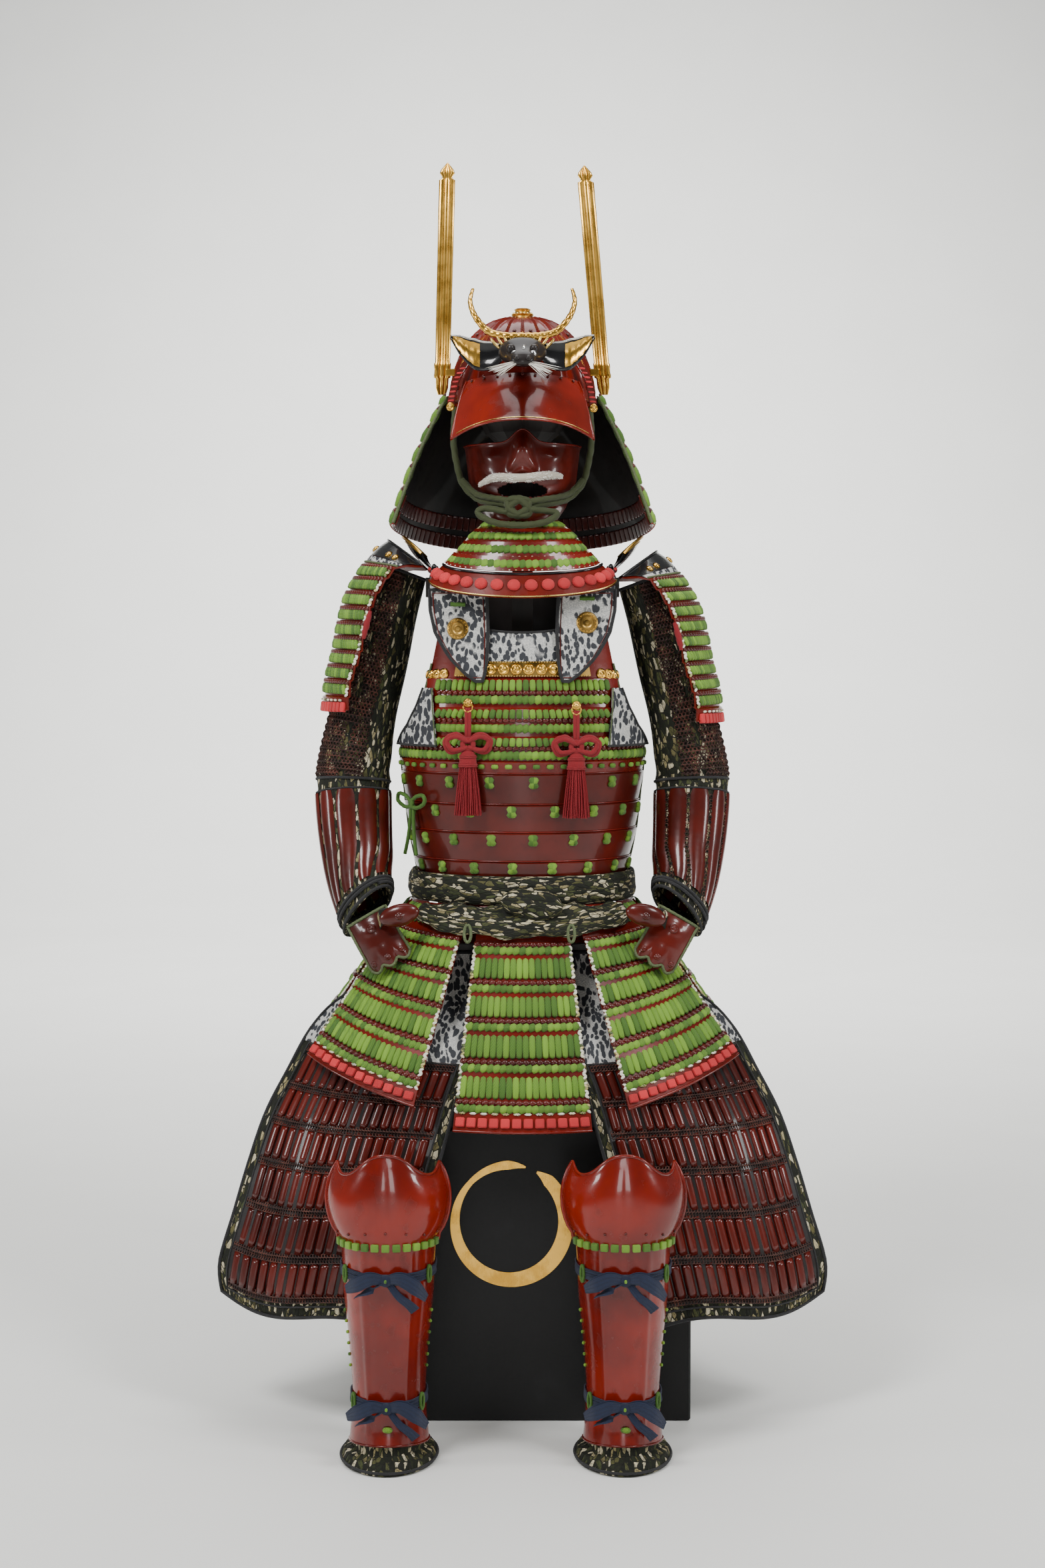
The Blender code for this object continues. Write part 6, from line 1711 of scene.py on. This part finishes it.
def make_tassets():
    # Share of the length, how far out.
    rows = (
        (0.0, 0.0), (0.055, 0.002), (0.165, 0.0), (0.175, STEP), (0.335, 0.0), (0.345, STEP), (0.505, 0.0),
        (0.515, STEP), (0.685, 0.0), (0.695, STEP), (0.86, 0.001), (0.87, STEP), (1.0, 0.001),
    )
    outs = dict(rows)
    tops = (0.165, 0.335, 0.505, 0.685, 0.86)
    for name, degrees, first, second in TASSETS:
        place = tasset_point(degrees, first, second)
        ready(skin(f"{name}_lames", place, 17, list(outs), 0.003, rise=lambda u, v: outs[v]), RED, [name])
        lacing = Lacing(name, place)
        whole = lacing.length(0.0, 1.0)
        lacing.strands += row_of(place, 0.07, 0.0022, 0.0094, (0.0051, whole * 0.055, 0.003), 0.0, 0.02, 0.98)
        for top, nxt in zip(tops, (*tops[1:], 1.0)):
            lacing.scales += row_of(place, top + 0.01, 0.0042, 0.01, (0.0056, 0.0038, 0.0024), 0.0, 0.0, 1.0)
            lacing.ropes += row_of(place, top + 0.037, 0.0034, 0.0092, (0.007, 0.006, 0.0036), 0.55, 0.02,
                0.98)
            if nxt < 1.0:
                low, high = top + 0.066, nxt - 0.004
                tall = whole * (high - low) / 2
                lacing.strands += row_of(place, (low + high) / 2, 0.0022, 0.0094, (0.0051, tall, 0.003),
                    0.0, 0.02, 0.98)
            lacing.ends += edge_braid(place, [(top + 0.018, min(nxt - 0.004, 0.92))], 0.0034)
        for where in row_of(place, 0.918, 0.004, 0.0165, (0.0058, 0.0022, 0.002), 0.0, 0.02, 0.98):
            lacing.knots += [where @ Matrix.Rotation(lean, 4, "Z") for lean in (-0.55, 0.55)]
        lacing.pads += row_of(place, 0.957, 0.003, 0.0165, (0.0066, whole * 0.02, 0.0034), 0.0, 0.01, 0.99)
        lacing.make()
        laid_cord(f"{name}_hem", place, level(0.994, 24), 0.002, RED, 0.0004)
        for number, top in enumerate(tops):
            laid_cord(f"{name}_rim_{number}", place, level(top + 0.003, 24, 0.005, 0.995), 0.0008, RED, 0.004)


def make_thigh(side):
    place = thigh_point(side)
    name = side_name("thigh_guard", side)
    wave = lambda u, v: 0.0012 * sin(u * 23.0 + v * 7.0) * min(1.0, v * 3)
    cloth = skin(f"{name}_cloth", place, 41, 37, 0.0028, rise=wave)
    ready(cloth, BROCADE, [name])
    dark = skin(f"{name}_backing", place, spread(0.062, 0.938, 41), spread(0.298, 0.935, 27), 0.0006,
                rise=lambda u, v: wave(u, v) + 0.0008)
    ready(dark, DULL_BLACK)
    # Splint rows: share of the length at which each starts and ends.
    splint_rows = [(0.312 + 0.103 * k, 0.4 + 0.103 * k) for k in range(6)]
    slats = []
    for high, low in splint_rows:
        middle = (high + low) / 2
        for k in range(16):
            u = lerp(0.075, 0.925, (k + 0.5) / 16)
            half = (place(u + 0.0266, middle) - place(u - 0.0266, middle)).length / 2
            tall = (place(u, high) - place(u, low)).length / 2
            slats.append(spot(place, u, middle, 0.0002, 0.0, (half * 0.9, tall, 0.003)))
    copies(f"{name}_splints", SLAT, slats, BROWN_RED)
    links = []
    for v in [high - 0.0075 for high, low in splint_rows] + [0.9225]:
        for k in range(3):
            for where in row_of(place, v + (k - 1) * 0.007, 0.0024, 0.0046, (0.003, 0.003, 0.0028), 0.0,
                    0.07, 0.93):
                links.append(where @ Matrix.Rotation(0.5 if k % 2 else -0.5, 4, "X"))
    copies(f"{name}_mail", LINK, links, MAIL)
    laid_cord(f"{name}_piping", place, rim((0.006, 0.006), (0.994, 0.994), 40), 0.0026, PIPING, 0.0006,
        sides=8)
    laid_cord(f"{name}_inner_piping", place, rim((0.058, 0.296), (0.942, 0.948), 40), 0.0014, PIPING, 0.002)
    top = skin(f"{name}_waistband", place, spread(0.01, 0.99, 25), spread(0.008, 0.292, 15), 0.0008,
               rise=lambda u, v: wave(u, v) + 0.0012)
    ready(top, LEATHER)


def make_sode(side):
    place, name, axis = sode_point(side), side_name("sode", side), (side * 0.1, 0.0)
    lames = 10
    rows = [(0.0, 0.0015), (0.04, 0.0), (0.15, 0.0)]
    tops = [lerp(SODE_TOP, 1.0, k / lames) for k in range(lames + 1)]
    for top, low in zip(tops, tops[1:]):
        rows += [(top + 0.004, 0.0036), (low - 0.004, 0.0)]
    outs = dict(rows)
    us = [0.0, 0.02, 0.05, 0.09, 0.14, 0.2, 0.27, 0.35, 0.43, 0.5, 0.57, 0.65, 0.73, 0.8, 0.86, 0.91, 0.95,
        0.98, 1.0]
    plate = skin(f"{name}_lames", place, us, list(outs), 0.003, axis, rise=lambda u, v: outs[v])
    ready(plate, RED, [name])
    lacing = Lacing(name, place, axis)
    for top, low in zip(tops[:-1], tops[1:-1]):
        mid = lerp(top, low, 0.58)
        lacing.scales += lacing.row(lerp(top, low, 0.16), 0.0034, 0.008, (0.005, 0.0036, 0.0022), 0.0,
            0.005, 0.995)
        lacing.ropes += lacing.row(mid, 0.0026, 0.007, (0.0042, 0.0084, 0.0036), 0.42, 0.02, 0.98)
        lacing.ends += edge_braid(place, [(lerp(top, low, 0.3), low)], 0.003, (0.01, 0.99), axis)
    for where in lacing.row(lerp(tops[-2], 1.0, 0.22), 0.0036, 0.014, (0.0052, 0.002, 0.0018)):
        lacing.knots += [where @ Matrix.Rotation(lean, 4, "Z") for lean in (-0.55, 0.55)]
    lacing.pads += lacing.row(lerp(tops[-2], 1.0, 0.68), 0.002, 0.011, (0.0046, 0.0072, 0.003), 0.0, 0.01,
        0.99)
    lacing.make()
    ready(skin(f"{name}_top_plate", place, us, spread(0.02, 0.18, 6), 0.0008, axis, rise=0.0022), BLACK)
    ready(skin(f"{name}_top_leather", place, us, spread(0.185, 0.235, 4), 0.0008, axis, rise=0.0022), LEATHER)
    edges = ((0.012, 0.002, BLACK), (0.238, 0.0018, EDGING), (0.262, 0.001, RED))
    for number, (v, radius, material) in enumerate(edges):
        laid_cord(f"{name}_top_edge_{number}", place, level(v, 40), radius, material, 0.0028, axis=axis)
    laid_cord(f"{name}_hem", place, level(0.993, 40), 0.002, RED, axis=axis)
    studs = [
        spot(place, u, 0.13, 0.0026, 0.0, (0.005, 0.0068, 0.0036), axis) for u in (0.1, 0.17, 0.5, 0.83, 0.9)
    ]
    copies(f"{name}_studs", DOT, studs, GILT)
    path = [place(0.0, v) + facing(place, 0.0, v, axis) * 0.001 for v in spread(0.5, 0.64, 14)]
    full = lambda t: 0.7 + 0.5 * sin(pi * t)
    strand(side_name("sode_edge_knot", side), path, 0.0034, 8, 0.3, CRIMSON, taper=full)


def make_sleeve(side):
    place, name = sleeve_point(side), side_name("sleeve", side)
    axis = (side * 0.235, -0.02)

    def gather(u, v):
        pinch = -0.0012 * exp(-(((v - 0.575) / 0.02) ** 2))
        folds = 0.0014 * sin(v * 60 + 2.4 * sin(2 * pi * u)) * exp(-(((v - 0.52) / 0.07) ** 2))
        return pinch + folds + 0.0006 * sin(6 * pi * u + v * 9)

    cloth = skin(f"{name}_cloth", place, 49, 61, 0.0022, axis, rise=gather, closed=True)
    ready(cloth, BROCADE, [name])
    out_turn = 1.0 if side == LEFT else 0.5
    way = -1 if side == LEFT else 1
    links = []
    for k in range(64):
        v = lerp(0.02, 0.535, k / 63)
        for n in range(30):
            a = lerp(-0.22, 0.3, (n + (0.5 if k % 2 else 0.0)) / 30)
            if n % 10 in (4, 5) and 4 < k % 14 < 12:
                continue
            lean = Matrix.Rotation(0.5 if k % 2 else -0.5, 4, "X")
            links.append(
                spot(place, out_turn + way * a, v, 0.0022, 0.0, (0.0036, 0.0036, 0.0028), axis) @ lean
            )
    for k in range(20):
        for n in range(3, 40, 4):
            where = spot(place, n / 40, lerp(0.63, 0.93, k / 19), 0.0012, 0.0, (0.003, 0.003, 0.0024), axis)
            links.append(where @ Matrix.Rotation(0.4, 4, "X"))
    copies(f"{name}_mail", LINK, links, MAIL)
    parts = []
    for k in range(10):
        centre = (k + 0.5) / 10 + (0.025 if side == LEFT else -0.025)

        def slat(u, v, centre=centre):
            half = lerp(0.044, 0.04, v) * (1.0 - 0.25 * abs(2 * v - 1) ** 8)
            return place(centre + (2 * u - 1) * half, lerp(0.605, 0.925, v))

        dome = lambda u, v: 0.0006 + 0.0026 * sqrt(max(0.0, 1.0 - (2 * u - 1) ** 2))
        parts.append(skin("slat", slat, 7, 13, 0.0005, axis, rise=dome))
    ready(joined(f"{name}_splints", parts), BROWN_RED)
    pipings = ((0.006, 0.0026), (0.548, 0.0022), (0.6, 0.0016), (0.99, 0.0026))
    for number, (v, radius) in enumerate(pipings):
        laid_cord(f"{name}_piping_{number}", place, level(v, 41), radius, PIPING, 0.0008, axis=axis, sides=8)
    wound = [(2.6 * t, lerp(0.935, 0.968, t)) for t in spread(0, 1, 90)]
    laid_cord(f"{name}_wrist_cord", place, wound, 0.0022, PIPING, 0.0028, axis=axis, plait=0.25, sides=8)


def hand_surface(side):
    """The curved plate over the back of the hand, with its three finger scallops."""
    wrist = vec(side * 0.2351, -0.1393, 0.7486)
    aim = vec(side * -0.5, -0.1, -0.86).normalized()
    front = (vec(0, -1, 0) + aim * aim.y).normalized()
    across = aim.cross(front) * side

    def place(u, v):
        turn = (u - 0.5) * 0.064 / 0.045 * 1.15
        reach = 0.076 * v + 0.0085 * abs(sin(3 * pi * u)) * max(0.0, v - 0.55) / 0.45
        depth = 0.045 * (cos(turn) - 1.0) + 0.01 * sin(pi * v * 0.8)
        return wrist + aim * reach + across * 0.045 * sin(turn) + front * depth

    return place, wrist, aim


def make_hand(side):
    place, wrist, aim = hand_surface(side)
    name, axis = side_name("hand_guard", side), (wrist.x, wrist.y + 0.2)

    def form(u, v):
        knuckle = 0.0022 * abs(sin(3 * pi * u)) * exp(-(((v - 0.86) / 0.1) ** 2))
        oval_relief = 0.0022 * exp(-((((u - 0.5) / 0.22) ** 2 + ((v - 0.28) / 0.13) ** 2) ** 2))
        rib = 0.0008 * exp(-(((v - 0.6) / 0.02) ** 2))
        return knuckle + oval_relief + rib

    ready(skin(f"{name}_plate", place, 37, 27, 0.0026, axis, rise=form), BROWN_RED, [name])
    laid_cord(f"{name}_rim", place, rim((0.012, 0.012), (0.988, 0.992), 24), 0.0022, EDGING, 0.0004,
        axis=axis, plait=0.2)
    roses = [spot(place, u, 0.84, 0.0022, 0.0, (0.0052, 0.0052, 0.0042), axis) for u in (1 / 6, 0.5, 5 / 6)]
    roses.append(spot(place, 0.5, 0.28, 0.0022, 0.0, (0.0072, 0.0072, 0.0046), axis))
    copies(f"{name}_rosettes", ROSETTE, roses, BROWN_RED)
    thumb = vec(side * 0.1831, -0.1613, 0.7526)
    turn = Matrix.Rotation(side * 0.25, 3, "Y")

    def lobe(u, v):
        a, b = radians(lerp(-84, 84, u)), radians(lerp(82, -82, v))
        flat = vec(0.0305 * sin(a) * cos(b), -0.0108 * cos(a) * cos(b), 0.0168 * sin(b))
        return thumb + turn @ flat

    thumb_axis = (thumb.x, thumb.y + 0.05)
    ready(skin(f"{name}_thumb", lobe, 25, 17, 0.0022, thumb_axis), BROWN_RED)
    rose = spot(lobe, 0.5, 0.5, 0.0002, 0.0, (0.0058, 0.0058, 0.004), thumb_axis)
    copies(f"{name}_thumb_rosette", ROSETTE, [rose], BROWN_RED)
    path = smooth_path(
        [
            thumb + vec(side * 0.012, 0.0, -0.002),
            thumb.lerp(wrist, 0.5) + vec(0, -0.003, -0.002),
            wrist + aim * 0.012 + vec(side * -0.014, -0.002, 0),
        ],
        14,
    )
    band = strap(f"{name}_strap", path, (0, 0, 1), [0.023] * 14, 0.0026, 16)
    ready(band, BROCADE)
    for way in (-1, 1):
        edge = [here + Z * 0.0112 * way for here in path]
        strand(f"{name}_strap_edge_{'low' if way < 0 else 'high'}", edge, 0.0014, 6, 0.0, PIPING)


def make_leg(side):
    axis = (LEG_X[side], LEG_Y)
    reach = 112.0

    def plate_point(u, v):
        z = lerp(0.326, 0.024, v)
        degrees = reach * (2 * u - 1)
        arch = 0.01 * cos(radians(degrees)) * max(0.0, (0.06 - z) / 0.036)
        return leg_point(side, degrees, z, 0.001) + Z * arch

    def ridges(u, v):
        degrees = reach * (2 * u - 1)
        ridge = 0.002 * (exp(-(((degrees - 30) / 4.5) ** 2)) + exp(-(((degrees + 30) / 4.5) ** 2)))
        return ridge * min(1.0, v * 12) * min(1.0, (1 - v) * 12)

    name = side_name("shin_plate", side)
    ready(skin(f"{name}_shell", plate_point, 97, 37, 0.0018, axis, rise=ridges), BRIGHT_RED, [name])
    laid_cord(f"{name}_rim", plate_point, rim((0.006, 0.006), (0.994, 0.992), 30), 0.0013, RED, 0.0006,
        axis=axis, sides=8)

    def cloth_point(u, v):
        degrees = 128.0 * (2 * u - 1)
        # Share of the length, height, half width, half depth.
        rows = (
            (0.0, 0.322, 0.0632, 0.07), (0.25, 0.24, 0.0607, 0.0687), (0.6, 0.105, 0.0487, 0.0597),
            (0.74, 0.06, 0.05, 0.0607), (0.82, 0.04, 0.0505, 0.0625), (0.88, 0.0205, 0.052, 0.066),
            (0.93, 0.015, 0.064, 0.086), (1.0, 0.0022, 0.069, 0.094),
        )
        z, half, depth = at(rows, v)
        return leg_ring(side, half, depth, degrees) + Z * z

    name = side_name("shin_cloth", side)
    vs = (0.0, 0.06, 0.14, 0.25, 0.36, 0.48, 0.6, 0.67, 0.74, 0.78, 0.82, 0.85, 0.88, 0.9, 0.93, 0.96, 0.98,
        1.0)
    lining = skin(f"{name}_pad", cloth_point, 49, list(vs), 0.0022, axis)
    ready(lining, BROCADE, [name])
    laid_cord(f"{name}_foot_piping", cloth_point, level(0.985, 60), 0.0021, PIPING, 0.001, axis=axis, sides=8)
    for word, u in (("left", 0.012), ("right", 0.988)):
        laid_cord(f"{name}_{word}_piping", cloth_point, upright(u, 0.02, 0.98, 40), 0.002, PIPING, axis=axis)

    knee = knee_point(side)
    name = side_name("knee_plate", side)
    folds = lambda u, v: 0.0016 * exp(-((v / 0.05) ** 2)) + 0.0012 * exp(-(((v - 0.93) / 0.02) ** 2))
    ready(skin(f"{name}_shell", knee, 73, 33, 0.0018, axis, rise=folds), BRIGHT_RED, [name])
    edge = upright(0.004, 0.98, 0.01, 12) + level(0.006, 60, 0.004, 0.996)
    edge += upright(0.996, 0.01, 0.98, 12)
    laid_cord(f"{name}_rolled_rim", knee, edge, 0.0024, BRIGHT_RED, 0.0008, axis=axis, sides=8)
    squares = row_of(knee, 0.955, 0.0022, 0.015, (0.0056, 0.0052, 0.003), 0.0, 0.06, 0.94, axis)
    copies(f"{name}_lacing", PAD, squares, GREEN)
    studs = row_of(knee, 0.8, 0.001, 0.03, (0.0022, 0.0022, 0.0018), 0.0, 0.06, 0.94, axis)
    copies(f"{name}_studs", DOT, studs, BROWN_RED)

    for word, z in (("upper", 0.274), ("lower", 0.09)):
        make_shin_tie(side, word, z, axis)
    name = side_name("shin_plate", side)
    studs = []
    for degrees in (-78, 78):
        for z in spread(0.215, 0.135, 6):
            base = leg_point(side, degrees, z, 0.002)
            studs.append(Matrix.Translation(base) @ stretched(0.0026, 0.0026, 0.0026))
    copies(f"{name}_green_studs", DOT, studs, GREEN)
    here = leg_point(side, 0.0, 0.0585, 0.0035)
    knot = Matrix.Translation(here) @ stretched(0.007, 0.003, 0.0045)
    copies(f"{name}_green_knot", DOT, [knot, knot @ Matrix.Translation((0.35, -0.3, 0.0))], GREEN)
    loops = []
    for degrees in (-58, 58):
        for z in (0.274, 0.09):
            base = leg_point(side, degrees, z, 0.005)
            away_from = vec(base.x - axis[0], base.y - axis[1], 0.0).normalized()
            along_it = Z.cross(away_from)
            ring = [base + along_it * 0.0036 * sin(t) + Z * 0.0115 * cos(t) for t in turns(24, True)]
            loops.append(strand("loop", ring, 0.0019, 8, 0.25))
    ready(joined(f"{name}_cord_loops", loops), GREEN)


def make_shin_tie(side, word, z, axis):
    name = side_name(f"shin_tie_{word}", side)

    def around(u, v):
        return leg_point(side, 112.0 * (2 * u - 1), z + 0.0075 * (1 - 2 * v), 0.0037)

    creases = lambda u, v: 0.0009 * sin(7 * pi * v + 9 * u) + 0.0005 * sin(40 * u)
    band = skin(f"{name}_ribbon", around, 49, 9, 0.0018, axis, rise=creases)
    ready(band, NAVY, [name])
    knot = leg_point(side, 0.0, z, 0.0067)
    parts = []
    for way in (-1, 1):
        drop = 1.5 if way == RIGHT else 0.8
        route = (
            knot,
            knot + vec(way * 0.02, -0.007, 0.005),
            knot + vec(way * 0.042, -0.003, -0.006 * drop),
            knot + vec(way * 0.056, 0.01, -0.018 * drop),
        )
        path = smooth_path(route, 16)
        for lap, gap in ((0.0, 0.0015), (1.0, -0.0015)):
            run = [p + vec(0, gap * sin(pi * k / 15) * 1.6, -0.0012 * lap) for k, p in enumerate(path)]
            wide = [
                lerp(0.009, 0.019, min(1.0, k / 6)) if k < 11 else lerp(0.019, 0.01, (k - 10) / 5)
                for k in range(16)
            ]
            parts.append(strap("loop", run, (0, 0, 1), wide, 0.0014, 12))
        tail = smooth_path(
            (
                knot + vec(way * 0.003, -0.001, -0.002),
                knot + vec(way * 0.018, -0.0045, -0.014 * drop),
                knot + vec(way * 0.032, -0.002, -0.022 * drop),
                knot + vec(way * 0.041, 0.003, -0.029 * drop),
            ),
            12,
        )
        parts.append(
            strap("tail", tail, (1, 0, 0.6), [lerp(0.009, 0.015, k / 11) for k in range(12)], 0.0014, 12)
        )
    core = []
    for t in spread(-1, 1, 15):
        girth = sqrt(max(0.02, 1 - t * t))
        core.append(oval(knot + vec(0.0, -0.0018, t * 0.0088), X * 0.0095 * girth, Y * 0.0048 * girth, 16))
    parts.append(lofted("knot", core, angle=80.0))
    bow = joined(f"{name}_bow", parts)
    ready(bow, NAVY)
    bead = Matrix.Translation(knot + vec(0.0, -0.0068, 0.0)) @ stretched(0.0024, 0.0014, 0.003)
    copies(f"{name}_stitch", DOT, [bead], GREEN)


def make_box_mark():
    """A plain brushed ring in gold on the box's front."""
    rings = []
    for k in range(97):
        t = 2 * pi * k / 96 * 0.965 + 0.5
        wide = 0.0115 * (0.35 + 0.65 * abs(sin(t * 0.5 + 0.4))) * min(1.0, (97 - k) / 6, (k + 1) / 5)
        here = vec(-0.018 + 0.082 * sin(t), -0.2003, 0.3 + 0.086 * cos(t))
        spoke = vec(sin(t), 0, cos(t))
        rings.append([here - spoke * wide, here + spoke * wide, here + spoke * wide - Y * 0.0006,
            here - spoke * wide - Y * 0.0006])
    ready(lofted("box_gold_ring", rings, angle=30.0), GILT)


# The solids whose shape stays get their finish.
# The stand takes the near-black wood that is painted shade inside the helmet.
for name, material in (("chest_body", BOX), ("chest_lid", BOX), ("stand", STAND_SHADE_WOOD)):
    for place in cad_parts[name].material_slots:
        place.material = material
make_helmet()
make_peak()
make_neck_guard()
make_turnbacks()
make_side_bars()
make_crest()
make_mask()
make_throat()
make_chin_cord()
make_cuirass(False)
make_cuirass(True)
make_chest()
make_sash()
make_tassets()
make_side_tie()
make_box_mark()
for side in (LEFT, RIGHT):
    make_shoulders(side)
    make_breast_flap(side)
    make_tassel(side)
    make_thigh(side)
    make_sode(side)
    make_sleeve(side)
    make_hand(side)
    make_leg(side)
for unit in (STRAND, DOT, PAD, SLAT, LINK, ROSETTE, LOCK):
    away(unit)
